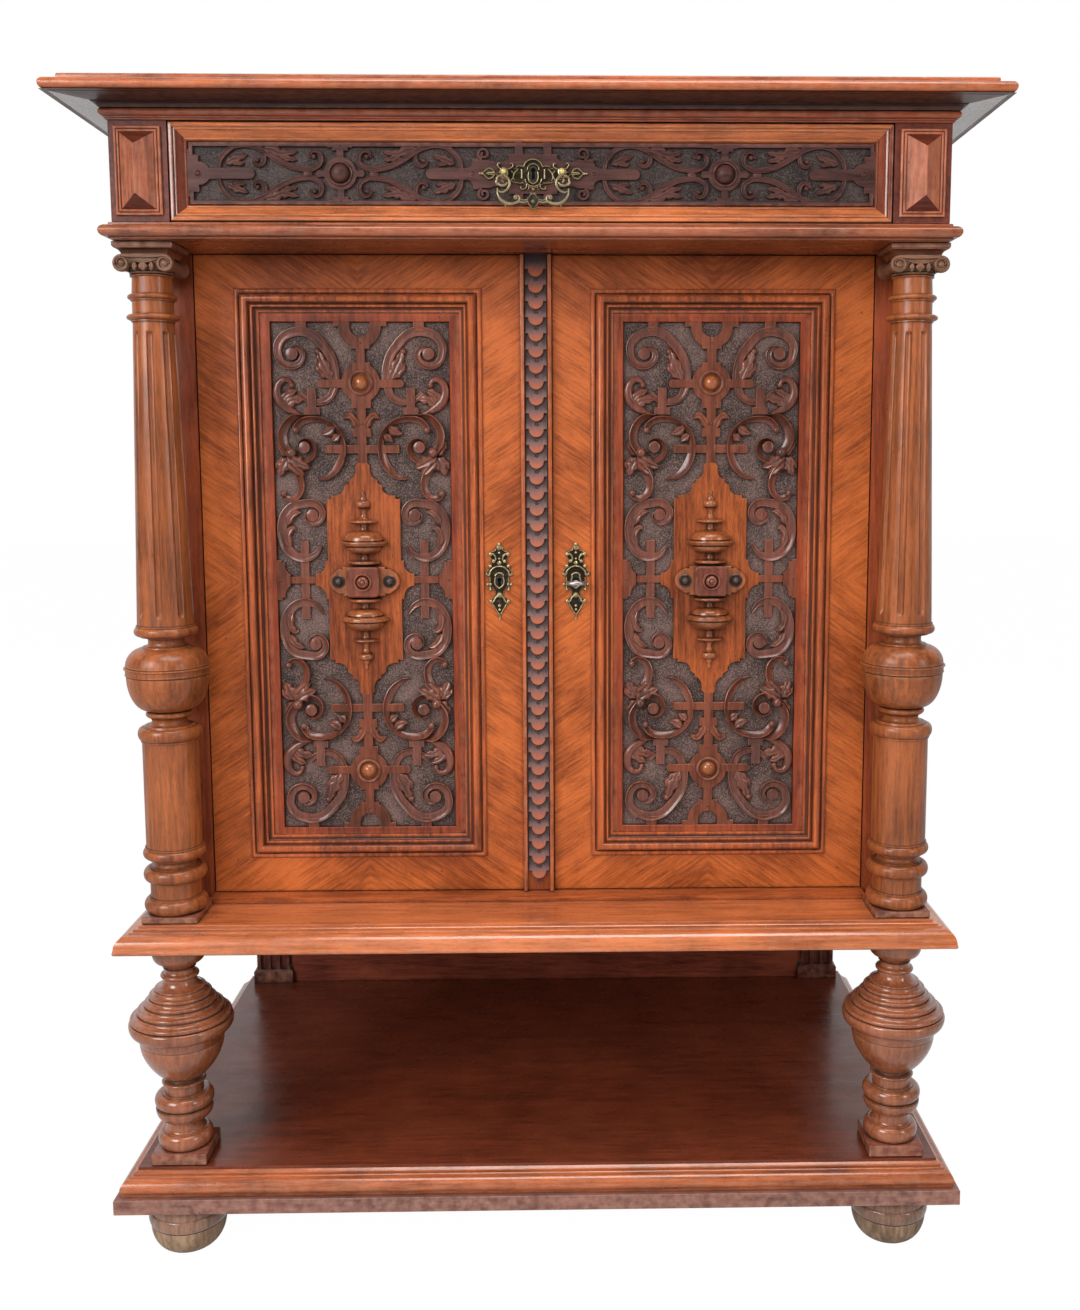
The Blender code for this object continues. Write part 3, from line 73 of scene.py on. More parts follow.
# Rays by which a material judges how open a point lies
OPENNESS_SAMPLES = 4


class Nodes:
    """Short ways to add and join the shader nodes of one tree."""

    def __init__(self, tree):
        self.tree = tree

    def feed(self, socket, value):
        """Set a socket's value, or link it where the value is another socket."""
        if isinstance(value, bpy.types.NodeSocket):
            self.tree.links.new(value, socket)
        else:
            socket.default_value = value

    def add(self, kind, inputs=None, **settings):
        """A node with its settings and inputs."""
        node = self.tree.nodes.new(f"ShaderNode{kind}")
        for key, value in settings.items():
            setattr(node, key, value)
        for key, value in (inputs or {}).items():
            self.feed(node.inputs[key], value)
        return node

    def math(self, operation, first, second=0.0):
        """One sum of two numbers."""
        return self.add("Math", {0: first, 1: second}, operation=operation).outputs[0]

    def span(self, value, low, high, out_low=0.0, out_high=1.0):
        """A value mapped from one range to another, and held inside it."""
        inputs = {"Value": value, "From Min": low, "From Max": high, "To Min": out_low, "To Max": out_high}
        return self.add("MapRange", inputs).outputs[0]

    def noise(self, vector, scale, detail=3.0, roughness=0.55):
        """Soft noise over a vector."""
        inputs = {"Vector": vector, "Scale": scale, "Detail": detail, "Roughness": roughness}
        return self.add("TexNoise", inputs).outputs["Fac"]

    def scaled(self, value, factor):
        """A number times a factor."""
        return self.math("MULTIPLY", value, factor)

    def blend(self, factor, first, colour):
        """A socket's colour mixed with a fixed one."""
        node = self.add("Mix", {0: factor, 6: first, 7: (*colour, 1.0)}, data_type="RGBA")
        return node.outputs[2]

    def ramp(self, factor, stops):
        """A colour ramp through places and colours."""
        node = self.add("ValToRGB", {"Fac": factor})
        elements = node.color_ramp.elements
        while len(elements) < len(stops):
            elements.new(0.5)
        for element, (place, colour) in zip(elements, stops):
            element.position = place
            element.color = (*colour, 1.0)
        return node.outputs["Color"]

    def stretched(self, vector, scale):
        """A vector scaled by a different amount along each axis."""
        return self.add("Mapping", {"Vector": vector, "Scale": scale}).outputs["Vector"]

    def place(self):
        """Object coordinates."""
        return self.add("TexCoord").outputs["Object"]

    def stored(self, name):
        """A number stored on the points of the mesh."""
        return self.add("Attribute", attribute_name=name).outputs["Fac"]

    def openness(self, reach):
        """How freely a point lies, from 0 in a crack to 1 on an open face."""
        return self.add("AmbientOcclusion", {"Distance": reach}, samples=OPENNESS_SAMPLES).outputs["AO"]

    def emboss(self, shader, height, strength, depth):
        """Give a shader a bump."""
        bump = self.add("Bump", {"Height": height, "Strength": strength, "Distance": depth})
        self.feed(shader.inputs["Normal"], bump.outputs[0])

    def fill(self, shader, values):
        """Set or link several inputs of a shader."""
        for key, value in values.items():
            self.feed(shader.inputs[key], value)


def new_material(name):
    """An empty Principled material, its node helper and its shader."""
    material = bpy.data.materials.new(name)
    material.use_nodes = True
    nodes = Nodes(material.node_tree)
    return material, nodes, material.node_tree.nodes["Principled BSDF"]


# Scale of the coordinates along the grain, which draws the pattern out that way
GRAIN_STRETCH = 0.07
# Slope of the door veneer's grain in degrees
VENEER_SLOPE = 34.0


def straight_grain(nodes, axis):
    """Object coordinates drawn out along one axis."""
    scale = [1.0, 1.0, 1.0]
    scale["xyz".index(axis)] = GRAIN_STRETCH
    return nodes.stretched(nodes.place(), scale)


def chevron_grain(nodes):
    """Coordinates of the door veneer, whose grain slopes away from each panel's middle in four quarters."""
    split = nodes.add("SeparateXYZ", {0: nodes.place()})
    out = nodes.math("ABSOLUTE", split.outputs[0])
    beside = nodes.math("ABSOLUTE", nodes.math("SUBTRACT", out, PANEL_X))
    above = nodes.math("ABSOLUTE", nodes.math("SUBTRACT", split.outputs[2], DOOR_MIDDLE))
    slope = math.radians(VENEER_SLOPE)
    run, climb = math.cos(slope), math.sin(slope)
    along = nodes.math("ADD", nodes.scaled(beside, run), nodes.scaled(above, climb))
    across = nodes.math("SUBTRACT", nodes.scaled(beside, climb), nodes.scaled(above, run))
    turned = nodes.add("CombineXYZ", {0: along, 1: across, 2: split.outputs[1]})
    return nodes.stretched(turned.outputs[0], (GRAIN_STRETCH, 1.0, 1.0))


# Noise scales of the wood: its grain from the coarsest to the finest, then its wear and dirt
WARP, CLOUD, STREAK, RING, FIBRE, PORE = 7.0, 9.0, 55.0, 210.0, 1100.0, 1700.0
SMEAR, RUB, DENT, SPECK = 26.0, 90.0, 130.0, 210.0
# How far the grain lines wander, and how much streaks, rings and fibres count in the tone
WANDER = (0.03, 0.03, 0.03)
STREAK_SHARE, RING_SHARE, FIBRE_SHARE = 0.28, 0.44, 0.28
# Places in the tone of the dark, middle and light colour, and how light the middle one is
TONE_STOPS = (0.35, 0.48, 0.62)
MIDDLE_SHARE = 0.45
# Colour of pores, and of the painted shade and grime that darken hollows, as shares of the dark colour
PORE_SHADE = 0.35
SHADE_AND_GRIME_TONE = (0.13, 0.12, 0.13)
# Roughness of the wax over the wood
COAT_ROUGHNESS = 0.13


def grain_pattern(nodes, grain, fine, cloudy):
    """Bent grain lines, their fibres, and the tone that streaks, rings, fibres and clouds make together."""
    flow = chevron_grain(nodes) if grain == "chevron" else straight_grain(nodes, grain)
    warp = nodes.add("TexNoise", {"Vector": flow, "Scale": WARP, "Detail": 2.0}).outputs["Color"]
    bent = nodes.add("VectorMath", {0: warp, 1: WANDER}, operation="MULTIPLY").outputs[0]
    line = nodes.add("VectorMath", {0: flow, 1: bent}, operation="ADD").outputs[0]
    streak = nodes.scaled(nodes.noise(line, STREAK * fine, 3.0), STREAK_SHARE)
    ring = nodes.scaled(nodes.noise(line, RING * fine, 2.0), RING_SHARE)
    fibre = nodes.noise(line, FIBRE * fine, 2.0)
    tone = nodes.math("ADD", nodes.math("ADD", streak, ring), nodes.scaled(fibre, FIBRE_SHARE))
    cloud = nodes.span(nodes.noise(nodes.place(), CLOUD, 4.0), 0.32, 0.68, -cloudy, cloudy)
    return line, fibre, nodes.math("ADD", tone, cloud)


def wood(
    name, tones, grain, gloss=0.36, wear=0.6, shade_and_grime_strength=0.85, pores=0.35, coat=0.2, worn=(0.42, 0.20, 0.11),
    shine=0.45, fine=1.0, dust=None, reach=0.010, cloudy=0.07,
):
    """Polished wood: streaks, fibres and pores along the grain, pale worn edges, and hollows darkened by
    painted shade and grime.
    """
    material, nodes, shader = new_material(name)
    dark, light = tones
    line, fibre, tone = grain_pattern(nodes, grain, fine, cloudy)
    middle = tuple(a * (1 - MIDDLE_SHARE) + b * MIDDLE_SHARE for a, b in zip(dark, light))
    colour = nodes.ramp(tone, tuple(zip(TONE_STOPS, (dark, middle, light))))
    pore = nodes.span(nodes.noise(line, PORE, 1.0), 0.60, 0.72, 0.0, pores)
    colour = nodes.blend(pore, colour, [channel * PORE_SHADE for channel in dark])
    place = nodes.place()
    edge = nodes.stored("wear")
    rubbed = nodes.span(nodes.noise(place, RUB, 4.0), 0.36, 0.66)
    rubbed = nodes.math("MULTIPLY", rubbed, nodes.span(edge, 0.08, 0.42, 0.0, wear))
    colour = nodes.blend(rubbed, colour, worn)
    # Hollows, creases and tight corners darkened: painted shade, with grime and dark specks
    shade_and_grime = nodes.span(edge, -0.06, -0.34, 0.0, shade_and_grime_strength)
    shade_and_grime = nodes.math("MAXIMUM", shade_and_grime, nodes.span(nodes.openness(reach), 0.70, 0.24, 0.0, shade_and_grime_strength))
    speck = nodes.span(nodes.noise(place, SPECK, 3.0), 0.30, 0.24, 0.0, 0.75)
    shade_and_grime = nodes.math("MAXIMUM", shade_and_grime, speck)
    # Colour of that painted shade and grime: the dust colour when one is given
    shade_and_grime_colour = dust or [channel * share for channel, share in zip(dark, SHADE_AND_GRIME_TONE)]
    colour = nodes.blend(shade_and_grime, colour, shade_and_grime_colour)
    smear = nodes.span(nodes.noise(place, SMEAR, 4.0), 0.3, 0.7, gloss - 0.07, gloss + 0.10)
    rough = nodes.math("ADD", smear, nodes.scaled(shade_and_grime, 0.25))
    nodes.fill(shader, {"Base Color": colour, "Roughness": rough, "Specular IOR Level": shine})
    nodes.fill(shader, {"Coat Weight": coat, "Coat Roughness": COAT_ROUGHNESS})
    height = nodes.math("ADD", nodes.scaled(fibre, 0.5), nodes.scaled(pore, -0.8))
    dent = nodes.span(nodes.noise(place, DENT, 2.0), 0.20, 0.26, -2.2, 0.0)
    nodes.emboss(shader, nodes.math("ADD", height, dent), 0.22, 0.3 * MM)
    return material


def stippled_wood(name, dark, light):
    """Dark matted ground between carvings, pricked all over with a punch, with painted shade beside the
    carving.
    """
    material, nodes, shader = new_material(name)
    place = nodes.place()
    prick = nodes.add("TexVoronoi", {"Vector": place, "Scale": 620.0}).outputs["Distance"]
    cloud = nodes.span(nodes.noise(place, 24.0, 4.0), 0.3, 0.7, -0.25, 0.2)
    colour = nodes.ramp(nodes.math("ADD", nodes.scaled(prick, 1.1), cloud), ((0.22, dark), (0.85, light)))
    # Painted shade: the ground darkens towards the carving, where shade falls
    painted_shade = nodes.span(nodes.openness(0.012), 0.85, 0.3, 0.0, 0.8)
    colour = nodes.blend(painted_shade, colour, (0.012, 0.008, 0.007))
    nodes.fill(shader, {"Base Color": colour, "Roughness": 0.62, "Specular IOR Level": 0.3})
    nodes.emboss(shader, prick, 0.6, 0.6 * MM)
    return material


def metal(name, shade, bright, gloss, metallic=1.0):
    """Cast metal, dark with age in the hollows and rubbed bright on the high spots."""
    material, nodes, shader = new_material(name)
    place = nodes.place()
    cloud = nodes.span(nodes.noise(place, 160.0, 4.0), 0.3, 0.7, -0.18, 0.12)
    rub = nodes.math("ADD", nodes.span(nodes.stored("wear"), 0.03, 0.17), cloud)
    rub = nodes.math("MULTIPLY", rub, nodes.span(nodes.openness(0.006), 0.25, 0.8))
    colour = nodes.ramp(rub, ((0.0, shade), (0.8, bright)))
    rough = nodes.span(rub, 0.0, 1.0, gloss + 0.22, gloss)
    nodes.fill(shader, {"Base Color": colour, "Roughness": rough, "Metallic": metallic})
    nodes.emboss(shader, nodes.noise(place, 900.0, 2.0), 0.12, 0.2 * MM)
    return material


# Colours of a carved scale, from its tucked top, painted dark as the shade under the scale above, to its
# rubbed tip
SCALE_SHADES = (
    (0.04, (0.040, 0.024, 0.023)), (0.3, (0.105, 0.060, 0.055)),
    (0.6, (0.22, 0.070, 0.046)), (0.92, (0.33, 0.078, 0.028)),
)


def scale_wood(name):
    """Carved scales, dark and grey where they tuck in, painted shade under the scale above with dust, and
    rubbed red at the tips.
    """
    material, nodes, shader = new_material(name)
    fibre = nodes.noise(straight_grain(nodes, "z"), 700.0, 3.0)
    tone = nodes.math("ADD", nodes.stored("tone"), nodes.span(fibre, 0.3, 0.7, -0.16, 0.16))
    colour = nodes.ramp(tone, SCALE_SHADES)
    colour = nodes.blend(nodes.span(nodes.stored("wear"), 0.15, 0.45, 0.0, 0.2), colour, (0.36, 0.16, 0.10))
    # Painted shade where the scales overlap
    painted_shade = nodes.span(nodes.openness(0.007), 0.7, 0.2, 0.0, 0.85)
    colour = nodes.blend(painted_shade, colour, (0.012, 0.007, 0.006))
    nodes.fill(shader, {"Base Color": colour, "Roughness": nodes.span(fibre, 0.3, 0.7, 0.38, 0.52)})
    nodes.emboss(shader, fibre, 0.2, 0.3 * MM)
    return material


def plain_wood(name, colour, gloss, shine):
    """Nearly black polish with a trace of dust."""
    material, nodes, shader = new_material(name)
    dust = nodes.noise(nodes.place(), 220.0, 4.0)
    paler = tuple(channel * 1.7 for channel in colour)
    tone = nodes.ramp(dust, ((0.3, colour), (0.8, paler)))
    rough = nodes.span(dust, 0.3, 0.7, gloss, gloss + 0.12)
    nodes.fill(shader, {"Base Color": tone, "Roughness": rough, "Specular IOR Level": shine})
    return material


# Dark and light colour of the grain
WALNUT = ((0.115, 0.030, 0.009), (0.34, 0.094, 0.026))
ORANGE = ((0.105, 0.020, 0.006), (0.40, 0.092, 0.024))
RED = ((0.080, 0.013, 0.005), (0.29, 0.053, 0.016))
CARVED = ((0.045, 0.014, 0.009), (0.165, 0.047, 0.027))
DUSKY = ((0.028, 0.011, 0.009), (0.096, 0.038, 0.032))
STRAP = ((0.050, 0.014, 0.008), (0.185, 0.052, 0.027))
GOLDEN = ((0.165, 0.034, 0.008), (0.46, 0.112, 0.026))
SHELF = ((0.072, 0.015, 0.007), (0.168, 0.036, 0.015))
# Very dark: painted shade of the rear posts at the back of the bay
SHADED_POST = ((0.029, 0.0065, 0.005), (0.085, 0.018, 0.0125))
LOWER = ((0.060, 0.012, 0.0065), (0.215, 0.048, 0.024))
# Lighter walnut of the platform: painted light, for the light it catches facing up
LIT_LEDGE = ((0.235, 0.057, 0.017), (0.56, 0.155, 0.050))
RAIL = ((0.14, 0.031, 0.010), (0.43, 0.110, 0.034))
# Light walnut of the drawer's level mouldings: painted light
LIT_DRAWER_MOULDING = ((0.185, 0.046, 0.015), (0.60, 0.172, 0.056))
# Darker walnut of the waist moulding: painted shade
SHADED_WAIST = ((0.080, 0.017, 0.006), (0.32, 0.078, 0.026))
FASCIA = ((0.080, 0.030, 0.023), (0.22, 0.082, 0.060))
PLINTH = ((0.060, 0.014, 0.009), (0.20, 0.050, 0.029))
VASE = ((0.14, 0.041, 0.017), (0.33, 0.105, 0.046))
FOOT = ((0.11, 0.052, 0.032), (0.30, 0.155, 0.098))
TREAD = ((0.10, 0.055, 0.030), (0.36, 0.23, 0.14))
SIDE = ((0.11, 0.020, 0.007), (0.30, 0.060, 0.019))
CHESTNUT = ((0.080, 0.016, 0.005), (0.34, 0.080, 0.020))
MOULDING = ((0.105, 0.020, 0.006), (0.45, 0.098, 0.023))
# Dark walnut of the drawer's upright mouldings: painted shade
SHADED_MEMBER = ((0.062, 0.013, 0.007), (0.225, 0.048, 0.021))
BLOCK = ((0.065, 0.015, 0.009), (0.22, 0.053, 0.028))
ROSY = ((0.12, 0.030, 0.014), (0.43, 0.124, 0.060))
# Dark top and bottom facets of the diamonds: end grain with painted shade
END_GRAIN_AND_SHADE = ((0.040, 0.009, 0.005), (0.135, 0.028, 0.015))
DUSTY = ((0.068, 0.031, 0.018), (0.225, 0.105, 0.060))
UMBER = ((0.045, 0.015, 0.009), (0.19, 0.062, 0.032))
# Pale grey of the soffit's sides: painted reflection of the white surroundings
SOFFIT_REFLECTION = ((0.30, 0.25, 0.225), (0.52, 0.46, 0.43))
# Near black of the cornice's cove and the soffit's front: dark polish with painted shade under the overhang
COVE_SHADE = ((0.022, 0.008, 0.007), (0.066, 0.023, 0.019))
FRIEZE = ((0.048, 0.012, 0.008), (0.150, 0.036, 0.021))
OAK = ((0.26, 0.15, 0.07), (0.52, 0.34, 0.18))
PINE = ((0.22, 0.12, 0.06), (0.42, 0.26, 0.14))

# Wood finishes: material name, colours, direction of the grain, and what differs from plain polish
WOODS = {
    "turned": (
        "turned_walnut", WALNUT, "z",
        dict(gloss=0.34, coat=0.12, shine=0.38, dust=(0.030, 0.015, 0.009), reach=0.013),
    ),
    "rail": ("moulding_walnut", RAIL, "x", dict(gloss=0.25, coat=0.6, wear=0.25)),
    "shaded_waist": ("waist_painted_shade", SHADED_WAIST, "x", dict(gloss=0.28, coat=0.4, wear=0.25)),
    "fascia": ("fascia_walnut", FASCIA, "x", dict(gloss=0.45, coat=0.1, wear=0.5, worn=(0.40, 0.22, 0.16))),
    "plinth": ("plinth_walnut", PLINTH, "x", dict(gloss=0.34)),
    "vase": ("vase_walnut", VASE, "z", dict(gloss=0.24, coat=0.5, dust=(0.065, 0.040, 0.026))),
    "foot": ("foot_walnut", FOOT, "z", dict(gloss=0.26, coat=0.4)),
    "tread": ("scuffed_walnut", TREAD, "z", dict(gloss=0.6, coat=0.0)),
    "lit_ledge": ("ledge_painted_light", LIT_LEDGE, "x", dict(gloss=0.24, coat=0.8, wear=0.3)),
    "stile": ("upright_walnut", RED, "z", dict(coat=0.05, shine=0.28)),
    "side": ("side_walnut", SIDE, "z", dict(fine=1.3)),
    "veneer": (
        "chevron_veneer", GOLDEN, "chevron", dict(coat=0.0, pores=0.45, shine=0.22, fine=2.3, cloudy=0.12),
    ),
    "board": ("board_walnut", ORANGE, "x", dict(gloss=0.28, coat=0.4, wear=0.3)),
    "shelf": ("shelf_walnut", SHELF, "x", dict(gloss=0.26, coat=0.1, shine=0.3, fine=1.4)),
    "shaded_post": ("post_painted_shade", SHADED_POST, "z", dict(gloss=0.42, coat=0.0, shine=0.2, wear=0.3)),
    "lower": ("lower_walnut", LOWER, "x", dict(gloss=0.40, coat=0.0, shine=0.2)),
    "dark": ("dark_walnut", RED, "x", dict(wear=0.3, shade_and_grime_strength=0.95)),
    "carved": ("carved_walnut", CARVED, "z", dict(gloss=0.29, wear=0.8, coat=0.25, worn=(0.36, 0.15, 0.09))),
    "strap": ("strap_walnut", STRAP, "z", dict(gloss=0.42, shade_and_grime_strength=0.8, coat=0.0, shine=0.22)),
    "shield": ("shield_walnut", CHESTNUT, "z", dict(pores=0.6, coat=0.0, shine=0.25, fine=1.5)),
    "carved_x": (
        "carved_walnut_x", DUSKY, "x",
        dict(gloss=0.42, wear=0.8, worn=(0.24, 0.10, 0.07), coat=0.0, shine=0.22),
    ),
    "moulding": ("bolection_walnut", MOULDING, "z", dict(gloss=0.28, coat=0.25, wear=0.35, shine=0.36)),
    "lit_moulding_x": ("drawer_moulding_painted_light", LIT_DRAWER_MOULDING, "x", dict(gloss=0.26, coat=0.55, wear=0.35)),
    "upright": ("member_painted_shade", SHADED_MEMBER, "z", dict(gloss=0.24, coat=0.4, wear=0.35)),
    "spindle": ("spindle_walnut", WALNUT, "z", dict(gloss=0.24, coat=0.45, shade_and_grime_strength=0.92, reach=0.020)),
    "block": ("block_walnut", BLOCK, "z", dict(gloss=0.30)),
    "capital": (
        "capital_walnut", DUSTY, "x",
        dict(gloss=0.40, wear=0.4, shade_and_grime_strength=0.8, coat=0.0, shine=0.3, worn=(0.38, 0.22, 0.13)),
    ),
    "abacus": ("abacus_walnut", UMBER, "x", dict(gloss=0.32)),
    "diamond": (
        "diamond_walnut", ROSY, "z",
        dict(gloss=0.42, shade_and_grime_strength=0.6, coat=0.0, worn=(0.50, 0.27, 0.17), shine=0.26),
    ),
    "end_grain_and_shade": ("end_grain_painted_shade", END_GRAIN_AND_SHADE, "x", dict(gloss=0.38, wear=0.0, shade_and_grime_strength=0.5, coat=0.0, shine=0.3)),
    # The soffit's pale colour is a painted reflection
    "soffit": ("soffit_painted_reflection", SOFFIT_REFLECTION, "y", dict(gloss=0.16, wear=0.0, shade_and_grime_strength=0.2, coat=1.0)),
    "cove": ("cove_painted_shade", COVE_SHADE, "x", dict(wear=0.2, coat=0.1, shine=0.3)),
    "frieze": ("frieze_walnut", FRIEZE, "y", dict(gloss=0.40, coat=0.0, shine=0.25)),
    "lining": ("lining_oak", OAK, "y", dict(gloss=0.55, coat=0.0)),
    "back": ("back_pine", PINE, "z", dict(gloss=0.6, coat=0.0)),
}
# Metals: material name, colours of the hollows and high spots, roughness when rubbed, metallic share
METALS = {
    "brass": ("antique_brass", (0.026, 0.018, 0.011), (0.56, 0.45, 0.24), 0.22, 0.75),
    "bail": ("bail_brass", (0.030, 0.023, 0.014), (0.34, 0.28, 0.16), 0.26, 0.75),
    "gold": ("bright_brass", (0.30, 0.22, 0.07), (0.90, 0.72, 0.26), 0.16, 0.6),
    "pewter": ("keyhole_metal", (0.07, 0.062, 0.055), (0.42, 0.39, 0.35), 0.32, 1.0),
    "steel": ("old_steel", (0.10, 0.095, 0.09), (0.62, 0.61, 0.58), 0.3, 1.0),
}
# Finishes that have been made, by the names that the builders use
FINISH = {}


def make_materials():
    """Make all finishes."""
    for look, (name, tones, grain, options) in WOODS.items():
        FINISH[look] = wood(name, tones, grain, **options)
    for look, row in METALS.items():
        FINISH[look] = metal(*row)
    FINISH["ground"] = stippled_wood("stippled_ground", (0.012, 0.008, 0.007), (0.150, 0.090, 0.076))
    # Darker copy of the stippled ground: painted shade in the drawer's deep sunk field
    FINISH["sunk"] = stippled_wood("drawer_ground", (0.007, 0.005, 0.004), (0.064, 0.043, 0.038))
    FINISH["scale"] = scale_wood("scale_walnut")
    FINISH["ebony"] = plain_wood("dark_polish", (0.035, 0.022, 0.018), 0.22, 0.5)
    FINISH["shadow"] = plain_wood("keyhole_dark", (0.003, 0.0025, 0.002), 0.9, 0.05)


def outward(points, faces):
    """The same closed body with its faces turned out, judged by the sign of its volume."""
    volume = 0.0
    for count in {len(face) for face in faces}:
        corners = points[np.array([face for face in faces if len(face) == count])]
        for step in range(1, count - 1):
            cross = np.cross(corners[:, step], corners[:, step + 1])
            volume += float((corners[:, 0] * cross).sum())
    if volume < 0:
        faces = [face[::-1] for face in faces]
    return points, faces


def skin(rings, loop=False):
    """A closed body through rings of equal count, capped at both ends unless they form a loop."""
    grid = np.asarray(rings, float)
    index = np.arange(grid.shape[0] * grid.shape[1]).reshape(grid.shape[:2])
    low = index if loop else index[:-1]
    high = np.roll(index, -1, 0) if loop else index[1:]
    quads = np.stack([low, np.roll(low, -1, 1), np.roll(high, -1, 1), high], -1)
    faces = quads.reshape(-1, 4).tolist()
    if not loop:
        faces.append(index[0][::-1].tolist())
        faces.append(index[-1].tolist())
    return outward(grid.reshape(-1, 3), faces)


def merge(shapes):
    """Several bodies as one shape."""
    points = []
    faces = []
    start = 0
    for body_points, body_faces in shapes:
        points.append(body_points)
        faces.extend([[corner + start for corner in face] for face in body_faces])
        start += len(body_points)
    return np.concatenate(points), faces


def flipped(shape, x=1, y=1, z=1):
    """A shape mirrored in the axes whose sign is negative."""
    points, faces = shape
    if x * y * z < 0:
        faces = [face[::-1] for face in faces]
    return points * (x, y, z), faces


def moved(shape, place):
    """A shape carried to a place."""
    return shape[0] + np.asarray(place, float), shape[1]


def mark_wear(mesh):
    """Store how far each point stands out from its neighbours, for worn edges and for the painted shade and
    grime of hollows.
    """
    count = len(mesh.vertices)
    places = np.empty(count * 3, np.float32)
    mesh.vertices.foreach_get("co", places)
    places = places.reshape(-1, 3)
    normals = np.empty(count * 3, np.float32)
    mesh.vertex_normals.foreach_get("vector", normals)
    normals = normals.reshape(-1, 3)
    ends = np.empty(len(mesh.edges) * 2, np.int32)
    mesh.edges.foreach_get("vertices", ends)
    first, second = ends.reshape(-1, 2).T
    run = places[second] - places[first]
    run /= np.linalg.norm(run, axis=1, keepdims=True) + TINY
    out = np.bincount(first, -(run * normals[first]).sum(1), count)
    out += np.bincount(second, (run * normals[second]).sum(1), count)
    shares = np.bincount(first, minlength=count) + np.bincount(second, minlength=count)
    layer = mesh.attributes.new("wear", "FLOAT", "POINT")
    layer.data.foreach_set("value", (out / np.maximum(shares, 1)).astype(np.float32))


# Angle in degrees at which the shading of a piece breaks
SMOOTH_ANGLE = 38.0


def add_piece(name, shape, look, body, replaced=(), angle=SMOOTH_ANGLE):
    """A finished piece that rides on a body and stands for the nodes that it replaces."""
    points, faces = shape
    mesh = bpy.data.meshes.new(name)
    mesh.from_pydata(points.tolist(), [], faces)
    mesh.shade_smooth()
    mesh.set_sharp_from_angle(angle=math.radians(angle))
    mark_wear(mesh)
    mesh.materials.append(FINISH[look])
    thing = bpy.data.objects.new(name, mesh)
    bpy.context.collection.objects.link(thing)
    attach(thing, body)
    if replaced:
        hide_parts(*replaced)
    return thing


def arc(centre, radius, start, end, steps, squash=1.0):
    """Points on an arc between two angles in degrees."""
    angles = np.radians(np.linspace(start, end, steps + 1))
    return [(centre[0] + radius * math.cos(a), centre[1] + squash * radius * math.sin(a)) for a in angles]


def rounded_box(low, high, edge):
    """A block with every edge cut to a narrow chamfer."""
    rings = []
    levels = ((low[2], edge), (low[2] + edge, 0.0), (high[2] - edge, 0.0), (high[2], edge))
    for level, inset in levels:
        x0, x1 = low[0] + inset, high[0] - inset
        y0, y1 = low[1] + inset, high[1] - inset
        rings.append([
            (x0 + edge, y0, level), (x1 - edge, y0, level), (x1, y0 + edge, level), (x1, y1 - edge, level),
            (x1 - edge, y1, level), (x0 + edge, y1, level), (x0, y1 - edge, level), (x0, y0 + edge, level),
        ])
    return skin(rings)


# How full a turned bowl is: 1 for a quarter of an ellipse, less for a leaner one
BOWL_FULLNESS = 0.65
# Greatest height of the end rings of a drum or shaft, in the turning's own unit
DRUM_LIP = 0.0016


def turned_member(kind, height, first, second, steps=12):
    """Radius and height pairs of one turned member, from its own foot up."""
    if kind in ("drum", "shaft"):
        lip = min(DRUM_LIP, height / 4)
        shares = (0.0, lip / height, 0.5, 1.0 - lip / height, 1.0)
        return [(first + (second - first) * share, height * share) for share in shares]
    points = []
    for share in np.linspace(0.0, 1.0, steps + 1):
        quarter = math.pi / 2 * share
        if kind in ("bead", "cove"):
            level = (1 - math.cos(math.pi * share)) / 2
            points.append((first + (second - first) * math.sin(math.pi * share), height * level))
        elif kind == "flare":
            points.append((first + (second - first) * math.sin(quarter), height * (1 - math.cos(quarter))))
        elif kind == "bowl":
            level = (1 - math.cos(quarter)) ** BOWL_FULLNESS
            points.append((first + (second - first) * math.sin(quarter), height * level))
        else:
            points.append((second + (first - second) * math.cos(quarter), height * math.sin(quarter)))
    return points


def turned_profile(turning, total):
    """The profile of a turning in metres. Its shaft fills what the other members leave of the height."""
    taken = sum(height for _, height, _, _ in turning if height) * MM
    level = 0.0
    profile = []
    shaft = None
    for kind, height, first, second in turning:
        length = height * MM if height else total - taken
        if kind == "shaft":
            shaft = (level, level + length, first * MM, second * MM)
        for radius, rise in turned_member(kind, length, first * MM, second * MM):
            profile.append((radius, level + rise))
        level += length
    return profile, shaft


def around(count):
    """Angles spaced evenly round a circle."""
    return np.linspace(0.0, 2 * math.pi, count, endpoint=False)


def lathe(profile, segments):
    """A body turned about the vertical axis."""
    angles = around(segments)
    circle = np.stack([np.cos(angles), np.sin(angles)], -1)
    rings = [np.column_stack([circle * radius, np.full(segments, level)]) for radius, level in profile]
    return skin(rings)


# Turned pieces and the flutes of the columns, whose turn and span are in degrees
TURNED_SEGMENTS = 96
FLUTES = 8
FLUTE_HALF = 4.1 * MM
FLUTE_DEPTH = 3.6 * MM
FLUTE_MARGIN = 11.0 * MM
FLUTE_TURN = {LEFT: 274.5, RIGHT: 248.5}
FLUTE_STEP = 2.6 * MM
FLUTE_SPAN = 11.0
FLUTE_POINTS = 21
LAND_POINTS = 7
PLINTH_EDGE = 0.8 * MM
LEG_PLINTH_HEIGHT = 14.4 * MM
LEG_PLINTH_HALF = 33.9 * MM
COLUMN_PLINTH_HEIGHT = 8.5 * MM
COLUMN_PLINTH_HALF = 33.75 * MM

